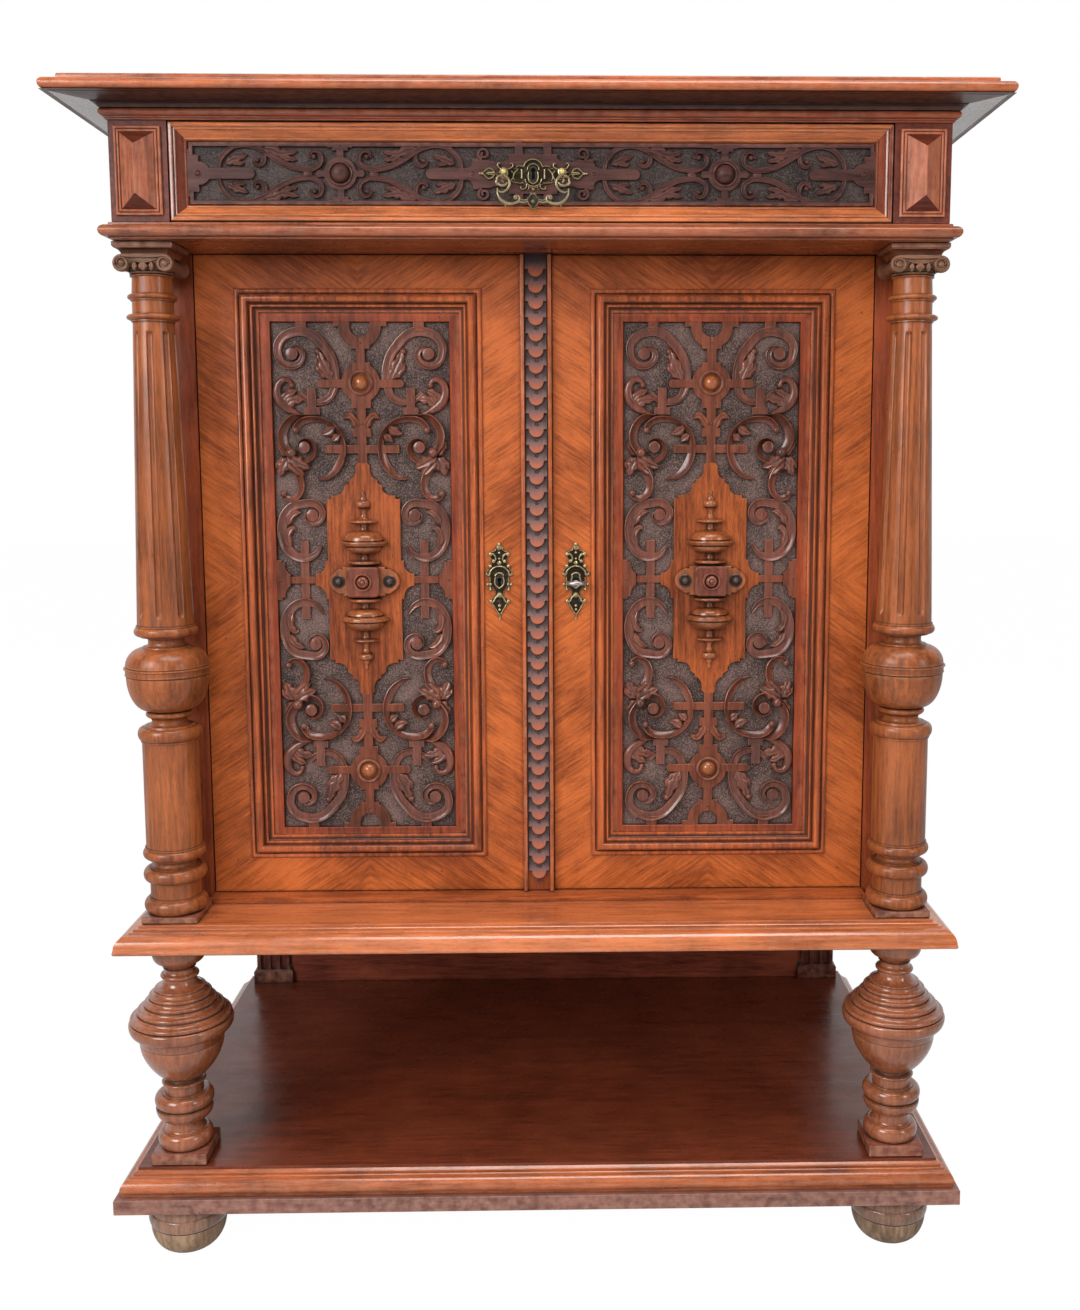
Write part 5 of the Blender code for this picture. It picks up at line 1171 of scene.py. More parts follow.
def axis_straps():
    """Strap down the middle of the upper half: hanging loop, shoulders and ring plate."""
    ring = arc((0.0, RING_HEIGHT), RING_RADIUS, 60.0, -60.0, 16)
    spine = (
        [(12, 293), (12, 284), (5.8, 284), (5.8, 268), (12, 268)] + ring
        + [(12, 212), (5.8, 212), (5.8, 189), (11.3, 187), (11.3, 177), (5.8, 177), (5.8, 136)]
    )
    loop = [(33, 320), (33, 311), (26, 311)] + arc((0, 311), 26.0, 0.0, -90.0, 12)
    half_loop = loop + arc((0, 311), 12.5, -90.0, 0.0, 10) + [(12.5, 320)]
    bead = [(15.8, -0.8), (15.8, 3.5), (15.3, 6.4), (13.7, 7.4), (12.0, 6.4), (11.2, 4.0)]
    return [
        plate(both_sides(spine), STRAP_RISE),
        plate(half_loop, STRAP_RISE + 0.05),
        plate([(-x, z) for x, z in half_loop], STRAP_RISE + 0.05),
        boss(bead, (0.0, RING_HEIGHT), 40),
        boss(NAIL, (0.0, 291.0), 16),
        boss(NAIL, (0.0, 193.0), 16),
    ]


def side_brackets():
    """Bracket at the field's edge, half way up, with the bar to the cartouche."""
    upper = [(58, 4.4), (92.5, 4.4), (92.5, 7.5)] + scoop((92.5, 7.5), (100.5, 22), (92.5, 22))
    upper += [(104, 22), (104, 24.5), (112, 24.5)]
    return [plate(up_and_down(upper), STRAP_RISE - 0.2), boss(NAIL, (106, 0), 16)]


def cartouche_outline():
    """Pointed plate behind the split turning, with scooped shoulders and ears."""
    return four_fold(
        [(5.6, 147), (9, 143), (9, 138)] + scoop((9, 138), (18, 126), (18, 138))
        + [(18, 122), (24, 118), (24, 115)] + scoop((24, 115), (38, 106), (38, 115))
        + [(40, 106), (40, 102), (46, 102), (46, 24.5), (49, 24.5), (49, 22)]
        + scoop((49, 22), (62, 7.5), (62, 22)) + [(62, 4.0)]
    )


def field_ground(look, name, place, body, half, half_height, grid):
    """Sunk ground of a carved field, uneven from the punch."""
    rough = np.random.default_rng(SEED)
    across = np.linspace(-half, half, grid[0])
    up = np.linspace(-half_height, half_height, grid[1])
    height = rough.normal(0.0, GROUND_ROUGHNESS, (grid[1], grid[0]))
    height[[0, -1], :] = 0.0
    height[:, [0, -1]] = 0.0
    wide, tall = np.meshgrid(across, up)
    top = np.stack([wide, -height - GROUND_SINK, tall], -1).reshape(-1, 3)
    index = np.arange(len(top)).reshape(grid[1], grid[0])
    quads = np.stack([index[:-1, :-1], index[:-1, 1:], index[1:, 1:], index[1:, :-1]], -1)
    rim = np.concatenate([index[0, :-1], index[:-1, -1], index[-1, :0:-1], index[:0:-1, 0]])
    faces = quads.reshape(-1, 4).tolist()
    lower = np.arange(len(rim)) + len(top)
    faces += np.stack([rim, lower, np.roll(lower, -1), np.roll(rim, -1)], -1).tolist()
    faces.append(lower[::-1].tolist())
    sunk = top[rim] + (0.0, GROUND_SKIRT, 0.0)
    shape = outward(np.concatenate([top, sunk]) * MM + np.asarray(place), faces)
    add_piece(name, shape, look, body)


def rectangle(half_x, half_z, y):
    """Corners of an upright rectangle about the middle."""
    return [(-half_x, y, -half_z), (half_x, y, -half_z), (half_x, y, half_z), (-half_x, y, half_z)]


def panel_slab():
    """Panel board with a stepped edge round its carved field."""
    half, tall = half_size("door_panel_right")
    thick = (PANEL_HIGH.y - PANEL_FRONT) / MM
    board = [rectangle(half, tall - PANEL_CLEARANCE, depth) for depth in (thick, 0.0)]
    rim = ((2.0, 0.0), (0.7, 0.0), (0.0, 0.7), (-0.4, FIELD_DEPTH))
    return skin(board + [rectangle(FIELD_HALF + out, FIELD_HALF_HEIGHT + out, depth) for out, depth in rim])


def build_door_panels():
    """Carved panels: border, ground, straps and scrolls, cartouche and its turned bosses."""
    slab = panel_slab()
    scrolls = repeated(corner_scroll() + edge_leaf() + bold_scroll() + lower_scroll())
    straps = repeated(small_straps()) + repeated(axis_straps(), x=(1,)) + repeated(side_brackets(), z=(1,))
    shield = plate(cartouche_outline(), STRAP_RISE + 0.1, chamfer=0.7)
    bosses = repeated([boss(dome(10.6, 11.2, foot=2.0, steps=9), (0.0, RING_HEIGHT), 40)], x=(1,))
    field = (FIELD_HALF - FIELD_MARGIN, FIELD_HALF_HEIGHT - FIELD_MARGIN)
    for side, word in SIDES:
        body = f"{word}_door"
        front = (side * PANEL_X, PANEL_FRONT, FIELD_MIDDLE)
        ground = (side * PANEL_X, PANEL_FRONT + FIELD_DEPTH * MM, FIELD_MIDDLE)
        carved = [f"door_strapwork_{word}"]
        board = [f"door_panel_{word}"]
        add_piece(f"panel_border_{word}", placed([slab], front), "stile", body, board)
        field_ground("ground", f"panel_ground_{word}", ground, body, *field, GROUND_GRID)
        for name, bodies, stretch, look, slot, nodes in (
            ("straps", straps, FIELD_STRETCH, "strap", "walnut", carved),
            ("shield", [shield], 1.0, "shield", "walnut", carved),
            ("scrolls", scrolls, FIELD_STRETCH, "carved", "dark_walnut", carved),
            ("bosses", bosses, FIELD_STRETCH, "spindle", "walnut", ()),
        ):
            add_piece(f"panel_{name}_{word}", placed(bodies, ground, stretch), look, body, nodes)


# Split turning, from the block outwards: kind, height, and the radii at the ends or at the greatest bulge
SPINDLE_TURNING = (
    ("drum", 2.0, 7.0, 6.6), ("drum", 1.0, 15.6, 19.0), ("bead", 3.8, 19.0, 20.6), ("drum", 1.0, 16.0, 8.0),
    ("cove", 8.0, 6.6, 4.8), ("flare", 8.2, 9.0, 22.6), ("drum", 1.4, 20.0, 20.0),
    ("flare", 3.0, 23.0, 29.0),
    ("bead", 3.2, 29.0, 30.4), ("drum", 1.6, 22.4, 22.0), ("shoulder", 10.8, 24.6, 10.0),
    ("drum", 0.8, 7.6, 6.6),
    ("cove", 9.0, 5.8, 4.4), ("drum", 0.8, 11.0, 15.6), ("bead", 2.8, 15.8, 17.6), ("drum", 1.0, 13.0, 8.0),
    ("cove", 14.4, 8.0, 3.6), ("bead", 9.6, 4.6, 9.5), ("shoulder", 5.0, 4.4, 2.6), ("drum", 5.4, 2.6, 2.4),
    ("shoulder", 2.0, 2.4, 0.4),
)
SPINDLE_ROUND = 0.92
SPINDLE_STEPS = 8
HALF_TURN_POINTS = 29
BLOCK_HALF = (20.0, 18.8)
BLOCK_RISE = 20.0
BLOCK_CUT = 5.0
EAR_RISE = 8.0
EAR_REACH = 32.0
BOSS_SINK = 0.4
BUTTON = (
    (11.6, 0.0), (11.6, 1.8), (10.8, 2.8), (9.4, 2.8), (8.4, 1.8), (8.0, 0.4), (7.6, 0.4), (7.2, 2.6),
    (6.0, 4.2), (4.2, 5.0), (3.4, 4.6), (2.6, 6.0), (1.2, 6.8), (0.1, 7.0),
)
KNOB = (
    (8.2, 0.0), (8.2, 1.0), (7.2, 1.8), (6.2, 1.2), (5.6, 0.4), (4.8, 1.6), (4.4, 3.6), (3.0, 5.4),
    (1.2, 6.2), (0.1, 6.4),
)


def half_turning(turning):
    """A turning split down its length, flat on its back."""
    angles = np.linspace(0.0, math.pi, HALF_TURN_POINTS)
    rings = []
    level = 0.0
    for kind, height, first, second in turning:
        for radius, rise in turned_member(kind, height, first, second, SPINDLE_STEPS):
            across = -radius * np.cos(angles)
            out = -radius * np.sin(angles) * SPINDLE_ROUND
            rings.append(np.column_stack([across, out, np.full(len(angles), level + rise)]))
        level += height
    return skin(rings)


def turning_block():
    """Square block at the middle of the split turning, its ear plate and its bosses."""
    lobe = arc((EAR_REACH, 0.0), 12.8, 62.0, 0.0, 8)
    ears = four_fold([(17, 18.4), (26.5, 18.4), (26.5, 15.6), (32, 15.6)] + lobe[:-1])
    wide, tall = BLOCK_HALF
    inner, lower = wide - BLOCK_CUT, tall - BLOCK_CUT
    corner = scoop((inner, tall), (wide, lower), (inner, lower), 4)[1:]
    block = four_fold([(inner, tall)] + corner)
    button = [(radius, height + BLOCK_RISE - BOSS_SINK) for radius, height in BUTTON]
    knob = [(radius, height + EAR_RISE - BOSS_SINK) for radius, height in KNOB]
    block = [plate(block, BLOCK_RISE, base=0.0, chamfer=1.6), boss(button, segments=40)]
    ears = plate(ears, EAR_RISE, base=0.0, chamfer=1.0)
    return block, ears, repeated([boss(knob, (EAR_REACH, 0.0))], z=(1,))


def build_split_turnings():
    """Split turnings on the cartouches, with their blocks and dark knobs."""
    upper = moved(half_turning(SPINDLE_TURNING), (0.0, 0.0, BLOCK_HALF[1]))
    block, ears, knobs = turning_block()
    turning = [ears, upper, flipped(upper, z=-1)]
    for side, word in SIDES:
        place = (side * PANEL_X, PANEL_FRONT + (FIELD_DEPTH - STRAP_RISE - 0.1) * MM, DOOR_MIDDLE)
        body = f"{word}_door"
        node = f"split_turning_{word}"
        add_piece(f"spindle_{word}", placed(turning, place), "spindle", body, [node])
        add_piece(f"spindle_block_{word}", placed(block, place), "block", body, [node])
        add_piece(f"spindle_knobs_{word}", placed(knobs, place), "ebony", body)


def hump(centre, half, rise, start, end, count):
    """Points over a round member, between two angles in degrees."""
    angles = np.radians(np.linspace(start, end, count))
    return [(centre[0] - half * math.cos(a), centre[1] - rise * math.sin(a)) for a in angles]


# Door moulding, in millimetres: closed section of inset and depth
BOLECTION_OUTLINE = (
    [(0.0, 0.0), (0.1, -0.6)]
    + hump((3.4, -0.6), 3.2, 3.4, 10.0, 165.0, 9)
    + [(7.2, -1.4), (8.0, -2.0)]
    + hump((13.0, -3.0), 5.1, 6.4, 0.0, 180.0, 14)
    + [(18.6, -1.8), (19.2, -1.6)]
    + hump((20.9, -1.0), 1.7, 1.7, 15.0, 165.0, 7)
    + [(22.8, 0.8), (23.4, 1.4), (23.6, 3.6), (27.2, 4.4), (28.2, 5.2), (28.5, 7.7), (10.3, 7.7)]
    + [(10.3, 0.0)]
)
BOLECTION_LIFT = 2.2
BOLECTION_SPREAD = 2.0


def mitred_frame(outline, half_x, half_z):
    """A mitred frame about the middle. The outline is a closed section of inset and depth."""
    return skin([rectangle(half_x - inset, half_z - inset, depth) for inset, depth in outline], loop=True)


def build_door_mouldings():
    """Bolection mouldings round the panels."""
    for _, word in SIDES:
        node = f"door_moulding_{word}"
        low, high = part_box(node)
        level = (low.z + high.z) / 2 + BOLECTION_LIFT * MM
        middle = ((low.x + high.x) / 2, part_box(f"door_frame_{word}")[0].y, level)
        half, tall = half_size(node)
        moulding = mitred_frame(BOLECTION_OUTLINE, half + BOLECTION_SPREAD, tall + BOLECTION_LIFT)
        shape = placed([moulding], middle)
        add_piece(f"bolection_{word}", shape, "moulding", f"{word}_door", [node], MOULDING_ANGLE)


def middle_of(node):
    """The middle of a node's box."""
    low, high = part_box(node)
    return (low + high) / 2


def back_of(node):
    """The middle of the back of a node's box."""
    middle = middle_of(node)
    return middle.x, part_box(node)[1].y, middle.z


def half_size(node):
    """Half the width and half the height of a node's box, in millimetres."""
    low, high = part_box(node)
    return (high.x - low.x) / 2 / MM, (high.z - low.z) / 2 / MM


# Astragal, in millimetres from its middle
SCALE_PITCH = 19.4
SCALE_HALF = 13.5
SCALE_ROUND = 9.2
SCALE_LOW = 3.4
SCALE_HIGH = 8.6
SCALE_START = 7.0
SCALE_DROP = ((2.9, 3.0), (2.9, 6.6), (2.2, 7.1), (1.5, 6.4), (0.8, 5.6), (0.1, 5.5))


def scale_body():
    """One carved scale: stepped sides, a round tip, rising from its tucked top to its worn tip."""
    top = SCALE_PITCH + 1.0
    tip = arc((0.0, 0.0), SCALE_ROUND, 0.0, -180.0, 16)
    outline = [(-SCALE_HALF, top), (SCALE_HALF, top), (SCALE_HALF, 0.6), (SCALE_ROUND + 0.4, 0.6)] + tip
    outline += [(-SCALE_ROUND - 0.4, 0.6), (-SCALE_HALF, 0.6)]
    points, faces = plate(outline, SCALE_HIGH, base=2.0, chamfer=0.6)
    fall = (SCALE_HIGH - SCALE_LOW) * (points[:, 2] + SCALE_ROUND) / (top + SCALE_ROUND)
    raised = points[:, 1] < -2.5
    points = points.copy()
    points[raised, 1] += fall[raised]
    return points, faces


def astragal_strip():
    """Strip with a channel down its face."""
    half, tall = half_size("astragal")
    section = [
        (half, 0.0), (half, 8.8), (half - 0.5, 9.6), (half - 1.3, 10.0), (15.0, 10.0), (14.4, 9.4),
        (14.0, 3.0),
    ]
    outline = section + [(-x, h) for x, h in reversed(section)]
    return skin([[(x, -h, z) for x, h in outline] for z in (-tall, tall)])


def astragal_scales():
    """Overlapping scales with a drop under each, and the tone of each of their points: painted shade at the
    tuck, worn at the tip.
    """
    _, tall = half_size("astragal")
    body = scale_body()
    drop = boss(SCALE_DROP, (0.0, -SCALE_ROUND - 2.9), 18)
    # Tone of each point of a scale, from the painted shade of the tuck to the worn tip
    worn = 1.0 - (body[0][:, 2] + SCALE_ROUND) / SCALE_PITCH
    scales = []
    tones = []
    for step in range(int((2 * tall - SCALE_ROUND) // SCALE_PITCH)):
        level = tall - SCALE_START - (step + 1) * SCALE_PITCH + SCALE_ROUND
        scales.append(moved(body, (0.0, 0.0, level)))
        tones.append(worn)
        if level - SCALE_ROUND - 6.0 >= -tall:
            scales.append(moved(drop, (0.0, 0.0, level)))
            # The drops take the darkest tone: painted shade in the punched eyes
            tones.append(np.zeros(len(drop[0])))
    return scales, np.concatenate(tones).astype(np.float32)


def build_astragal():
    """Strip between the doors, its channel filled with overlapping scales."""
    place = back_of("astragal")
    strip = placed([astragal_strip()], place)
    add_piece("astragal_strip", strip, "moulding", "left_door", ["astragal"])
    scales, tones = astragal_scales()
    thing = add_piece("astragal_scales", placed(scales, place), "scale", "left_door")
    layer = thing.data.attributes.new("tone", "FLOAT", "POINT")
    layer.data.foreach_set("value", tones)


def keyhole_outline(radius, drop, narrow, wide):
    """A round keyhole with a slot that widens downwards."""
    start = math.degrees(math.acos(narrow / radius))
    right = arc((0.0, 0.0), radius, 90.0, -start, 8) + [(narrow, -radius), (wide, -drop)]
    return both_sides(right)


def oval(half_x, half_z, centre):
    """A closed oval about a centre."""
    return [(centre[0] + half_x * math.cos(turn), centre[1] + half_z * math.sin(turn)) for turn in around(36)]


def wire(points, halves, rises, step=0.6):
    """A round cast bar."""
    return band(points, halves, rises, ROUND, step=step)


def stud(radius, lift, x, z, segments):
    """A small cast ball."""
    return boss(ball(radius, lift), (x, z), segments)


def inlay(outline, rise):
    """A thin flat plate let into the brass."""
    return plate(outline, rise, base=1.0, chamfer=0.15)


def backing(outline):
    """The flat plate behind a casting."""
    return plate(outline, 1.4, base=0.0, chamfer=0.4)


# Key plates of the doors, in millimetres from the middle
KEY_PLATE_RIGHT = [
    (0.8, 46.6), (3.0, 44.0), (4.2, 39.0), (8.5, 36.5), (12.0, 34.0), (10.6, 29.0), (8.0, 25.5),
    (9.4, 21.8), (13.4, 20.4), (12.4, 15.6), (15.8, 10.4), (14.8, 7.4), (11.6, 5.6), (12.6, 0.0),
    (15.4, -3.4), (13.2, -5.6), (12.2, -11.4), (9.6, -12.0), (8.2, -6.4), (5.2, -12.8), (5.4, -17.6),
    (9.0, -21.0), (12.4, -24.4), (10.6, -27.8), (6.4, -30.0), (2.4, -39.0), (1.4, -43.0), (1.2, -47.0),
]
KEY_PLATE_STRETCH = (1.05, 1.0, 1.02)


def key_plate_half():
    """Scrolls and balls on the right half of a key plate."""
    curl = [(10.0, 34.0), (7.0, 33.4), (4.6, 30.4), (4.4, 27.0), (6.8, 25.4)]
    tail = [(2.0, -17.4), (5.0, -20.6), (7.4, -24.8), (10.4, -25.6), (11.4, -23.2)]
    hoop = [(4.2, 6.0), (5.4, 1.0), (4.4, -4.4), (0.0, -8.4)]
    return [
        wire(curl, (2.2, 1.7, 1.3, 1.4, 1.8), (4.6, 4.2, 4.4)),
        stud(2.6, 3.0, 10.4, 33.8, 18),
        stud(2.3, 2.8, 6.4, 25.0, 18),
        stud(2.3, 2.6, 10.8, 18.9, 16),
        wire([(3.2, 42.5), (4.4, 38.6), (9.4, 36.4)], (0.7, 0.7, 0.7), (2.6, 2.6)),
        wire([(11.0, 4.8), (11.2, -2.0), (11.0, -9.0)], (1.0, 0.8, 1.2), (2.8, 2.8, 3.2)),
        stud(1.7, 2.6, 14.2, -3.6, 14),
        stud(1.9, 3.0, 10.6, -3.4, 16),
        stud(1.7, 2.2, 11.0, -10.0, 14),
        wire(tail, (1.5, 1.7, 1.5, 1.7), (4.2, 4.4, 4.2)),
        stud(2.3, 3.0, 10.6, -24.2, 16),
        wire([(8.6, -27.6), (5.4, -33.0), (1.2, -40.0)], (0.8, 0.8, 0.8), (2.8, 2.8)),
        wire(hoop, (1.2, 1.3, 1.4, 1.3), (4.0, 4.0)),
    ]


def key_plate():
    """A whole key plate: backing, hood over the keyhole, and what stands on its middle line."""
    hood = [(16.0, 9.4), (12.4, 8.2), (10.6, 12.8), (6.2, 17.2), (0.0, 18.8)]
    hood = hood + [(-x, z) for x, z in reversed(hood[:-1])]
    rim = arc((0.0, 5.0), 5.4, 20.0, 160.0, 8)
    middle = [
        backing(both_sides(KEY_PLATE_RIGHT)),
        wire(hood, (2.1, 1.4, 1.3, 1.4, 2.1), (4.0, 5.0, 4.0), step=0.7),
        wire(rim, (1.3, 1.3), (4.0, 4.0), step=0.7),
        stud(2.3, 2.8, 0.0, 45.8, 18),
        boss(dome(3.6, 4.0, foot=0.0), (0.0, 41.4), 20),
        stud(1.7, 2.0, 0.0, 35.4, 14),
        stud(1.4, 2.0, 0.0, 28.0, 14),
        leaf([(0.0, 25.6), (0.0, 22.6), (0.0, 19.4)], 2.4, 3.4, 1, base=0.4),
        boss(dome(3.8, 4.4, foot=0.0), (0.0, -17.2), 20),
        stud(2.0, 2.4, 0.0, -30.0, 14),
        stud(1.8, 2.4, 0.0, -35.0, 14),
        wire([(0.0, -39.4), (0.0, -46.6)], (0.9, 0.7), (2.6, 2.4)),
        stud(1.3, 1.7, 0.0, -46.4, 14),
    ]
    return middle + repeated(key_plate_half(), z=(1,))


def build_escutcheons():
    """Cast brass key plates of the doors."""
    hole = moved(inlay(keyhole_outline(2.7, 9.2, 1.5, 2.1), 1.95), (0.0, 0.0, 1.8))
    funnel = inlay(oval(4.8, 7.4, (0.0, 1.2)), 1.8)
    cast = key_plate()
    for _, word in SIDES:
        node = f"escutcheon_{word}"
        for name, bodies, look, slot, nodes in (
            ("key_plate", cast, "brass", "brass", [node]),
            ("key_funnel", [funnel], "pewter", "steel", ()),
            ("keyhole", [hole], "shadow", "steel", ()),
        ):
            shape = placed(bodies, back_of(node), KEY_PLATE_STRETCH)
            add_piece(f"{name}_{word}", shape, look, f"{word}_door", nodes)


# Key, in millimetres: radius and thickness of the bow, how oval it is, and its middle behind the tip
BOW_RADIUS = 10.0
BOW_WIRE = 2.0
BOW_SQUASH = 0.72
BOW_HEIGHT = 1.15
BOW_MIDDLE = 9.2


def key_bow():
    """Oval ring of the key, lying level."""
    rings = []
    for turn in around(40):
        ring = []
        for angle in around(14):
            reach = BOW_RADIUS + BOW_WIRE * math.cos(angle)
            back = BOW_MIDDLE + BOW_SQUASH * reach * math.sin(turn)
            ring.append((reach * math.cos(turn), back, BOW_HEIGHT * BOW_WIRE * math.sin(angle)))
        rings.append(ring)
    return skin(rings, loop=True)


def build_key():
    """Key with an oval bow lying level, collars on its shank and a bit inside the lock."""
    low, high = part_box("key")
    length = (high.y - low.y) / MM
    shank = [
        (0.3, 16.0), (2.6, 16.0), (3.3, 16.8), (3.3, 18.2), (2.4, 19.2), (2.4, 21.0), (3.1, 21.8),
        (3.1, 22.8), (2.3, 23.6), (2.3, length - 0.6), (1.7, length), (0.3, length),
    ]
    bit = rounded_box((-1.2, length - 6.4, -9.0), (1.2, length - 0.4, 0.0), 0.3)
    bodies = [key_bow(), boss([(r, -h) for r, h in shank], segments=24), bit]
    shape = placed(bodies, (middle_of("key").x, low.y, middle_of("escutcheon_right").z))
    add_piece("door_key_ring", shape, "steel", "door_key", ["key"])


# How far the dark ends of the diamonds stand proud, in millimetres; their dark is end grain with painted
# shade
FACET_SKIN = 0.15
# Half height of the diamonds' ridge, and the beads round their foot as inset and depth
DIAMOND_RIDGE = 27.0
DIAMOND_ANGLE = 8.0
DIAMOND_BEADS = (
    (0.0, 0.0), (0.0, -1.6), (0.5, -2.8), (1.6, -3.4), (2.6, -3.0), (3.1, -2.0), (3.6, -1.8), (3.9, -2.8),
    (4.6, -3.6), (5.6, -3.8), (6.3, -3.4), (6.6, -2.6),
)


def build_diamonds():
    """Diamond points on the frieze ends, each in a double bead."""
    for _, word in SIDES:
        node = f"diamond_{word}"
        low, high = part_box(node)
        wide, tall = half_size(node)
        rings = [rectangle(wide - inset, tall - inset, height) for inset, height in DIAMOND_BEADS]
        foot = np.array(rings[-1])
        crest = np.array(rectangle(0.25, DIAMOND_RIDGE, -(high.y - low.y) / MM))
        rings += [foot + (crest - foot) * share for share in (0.08, 0.92, 1.0)]
        place = back_of(node)
        shape = placed([skin(rings)], place)
        add_piece(f"diamond_point_{word}", shape, "diamond", "carcass", [node], DIAMOND_ANGLE)
        # Top and bottom facets darker: end grain, with painted shade
        facet = np.array([foot[2], foot[3], crest[3], crest[2]])
        ends = skin([facet + (0.0, lift, 0.0) for lift in (0.3, -FACET_SKIN)])
        shape = placed(repeated([ends], x=(1,)), place)
        add_piece(f"diamond_ends_{word}", shape, "end_grain_and_shade", "carcass", angle=DIAMOND_ANGLE)


# Drawer front, in millimetres from the middle of the drawer
DRAWER_FRAME = 20.0
DRAWER_MARGIN = 0.4
DRAWER_FIELD_DEPTH = 13.5
DRAWER_STRAP_RISE = 4.0
DRAWER_BOSS = 219.0
DRAWER_GRID = (260, 24)
DRAWER_BED = 13.6
DRAWER_LEVELS = (
    (0.0, 1.6), (1.2, 0.2), (2.0, 0.0), (4.4, 0.0), (5.0, 0.5), (5.3, 1.6), (5.9, 1.7), (6.4, 0.9),
    (7.4, 0.6), (8.4, 1.2), (8.9, 2.4), (9.4, 3.0), (15.2, 7.6), (15.6, 8.5), (16.2, 8.5), (16.7, 7.9),
    (17.6, 8.0), (18.4, 9.0), (18.9, 10.4), (20.0, 11.6), (20.0, DRAWER_BED), (0.0, DRAWER_BED),
)


def drawer_quarter():
    """Scrolls of one quarter of the carving about a drawer boss; the first axis runs away from the boss."""
    main = [
        (24.4, 9), (32.3, 5), (42.4, 5), (56, 7.9), (74, 16.9), (87.6, 26), (98.9, 30.5), (110, 31.6),
        (121.4, 28.9), (130.5, 21.9), (136.1, 13.5), (137.9, 4.0),
    ]
    first = spiral((30, 19.2), ((-20, 3.4), (90, 5.6), (180, 8.4), (230, 11.2)))
    second = spiral((94.3, 14.7), ((0, 3.4), (-90, 5.4), (-180, 8.4), (-230, 11.6)))
    return [
        boss(dome(3.4, 4.4), (30, 19.2), 20),
        band(first + main, (1.6, 2.6, 3.0, 3.2, 3.2, 3.2, 3.0, 2.2), (4.4, 4.2, 4.0, 4.0, 3.4)),
        boss(dome(3.2, 4.2), (94.3, 14.7), 20),
        band(second, (1.6, 2.4, 2.6, 1.6), (4.2, 4.0, 3.8)),
        leaf([(88, 27), (76, 26), (66, 22), (48, 25)], 5.2, 4.6, 4),
        leaf([(70, 21), (60, 17), (49, 15)], 3.6, 4.2, 3),
        leaf([(130, 11), (121, 15), (105, 21)], 4.6, 4.4, 3),
        leaf([(124, 14), (115, 11), (108, 12)], 2.8, 4.0, 2),
    ]


def drawer_axis():
    """Ring plate of a drawer boss, with its straps, brackets and knobs."""
    ring = arc((0.0, 0.0), 18.5, 75.0, 14.0, 8)
    upright = [(14, 33.4), (14, 28.6), (9, 28.6), (9, 25.4), (4.2, 25.4), (4.2, 18)]
    cross = four_fold(upright + ring + [(19, 3.4)] + arc((23.0, 0.0), 4.4, 60.0, 10.0, 4))
    link = [boss(dome(6.3, 3.6), (37.5, 0.0), 24)]
    strap = [(150.8, 6.0), (103, 6.0)] + arc((103, 0), 6.0, 90.0, 180.0, 6)[1:]
    strap = strap + [(x, -z) for x, z in reversed(strap[:-1])]
    bead = [(14.4, 1.0), (14.4, 4.6), (13.4, 6.0), (12.0, 5.6), (11.2, 4.2), (11.0, 3.0)]
    cap = bead + [(10.2, 5.0), (9.6, 8.4), (8.2, 10.8), (6.0, 12.4), (3.2, 13.4), (0.2, 13.7)]
    flat = [plate(cross, DRAWER_STRAP_RISE + 0.1), boss(cap, (0.0, 0.0), 40)]
    flat += repeated(link + [plate(strap, DRAWER_STRAP_RISE + 0.15)], z=(1,))
    return flat + repeated([boss(dome(2.2, 5.0), (0.0, 30.4), 14)], x=(1,))


def drawer_end():
    """Bracket at the outer end of the drawer's field."""
    lobe = arc((160.0, 0.0), 13.0, 90.0, 180.0, 10)
    upper = [(173, 26), (170.5, 26), (170.5, 20.5), (160, 20.5), (160, 13)] + lobe[1:]
    outline = upper + [(x, -z) for x, z in reversed(upper[:-1])]
    nail = [(4.2, 3.0), (4.2, 4.6), (3.4, 5.0), (2.9, 4.4), (2.4, 5.0), (1.2, 5.6), (0.1, 5.8)]
    return [plate(outline, DRAWER_STRAP_RISE + 0.25), boss(nail, (161, 0), 20)]


def pull_bracket():
    """Shaped plate behind the pull, with a spiral in each corner and tabs to the border."""
    quadrant = [(0.0, 22.0), (27.4, 22.0), (27.4, 19.0)] + scoop((27.4, 19.0), (36.0, 13.5), (36.0, 19.0))
    quadrant += [(45.0, 13.5), (47.6, 14.6), (52.0, 15.6), (61.0, 15.6)]
    quadrant += [(64.0, 17.0), (68.8, 17.0), (68.8, 14.2)]
    quadrant += scoop((68.8, 14.2), (77.2, 6.4), (77.2, 14.2), 5) + [(82.0, 6.2)]
    turns = ((-70, 6.2), (90, 5.6), (200, 4.4), (330, 2.6), (420, 1.2))
    snail = band(spiral((56.5, 22.0), turns), (1.6, 1.5, 1.4, 1.4), (4.4, 4.4), FLAT, step=0.7)
    tab = plate([(11.7, 36), (20.7, 36), (20.7, 20), (11.7, 20)], DRAWER_STRAP_RISE + 0.2)
    nail = [(3.6, 3.0), (3.6, 5.0), (2.9, 5.2), (2.4, 4.6), (1.2, 5.2), (0.1, 5.3)]
    bracket = [plate(four_fold(quadrant), DRAWER_STRAP_RISE + 0.4)]
    return bracket + repeated([snail, tab]) + repeated([boss(nail, (69.5, 0.0), 18)], z=(1,))


def drawer_member(half, tall, ends):
    """One side of the drawer's moulding, from mitre to mitre."""
    rings = []
    for x, z in ends:
        rings.append([(x * (half - inset), depth, z * (tall - inset)) for inset, depth in DRAWER_LEVELS])
    return skin(rings)


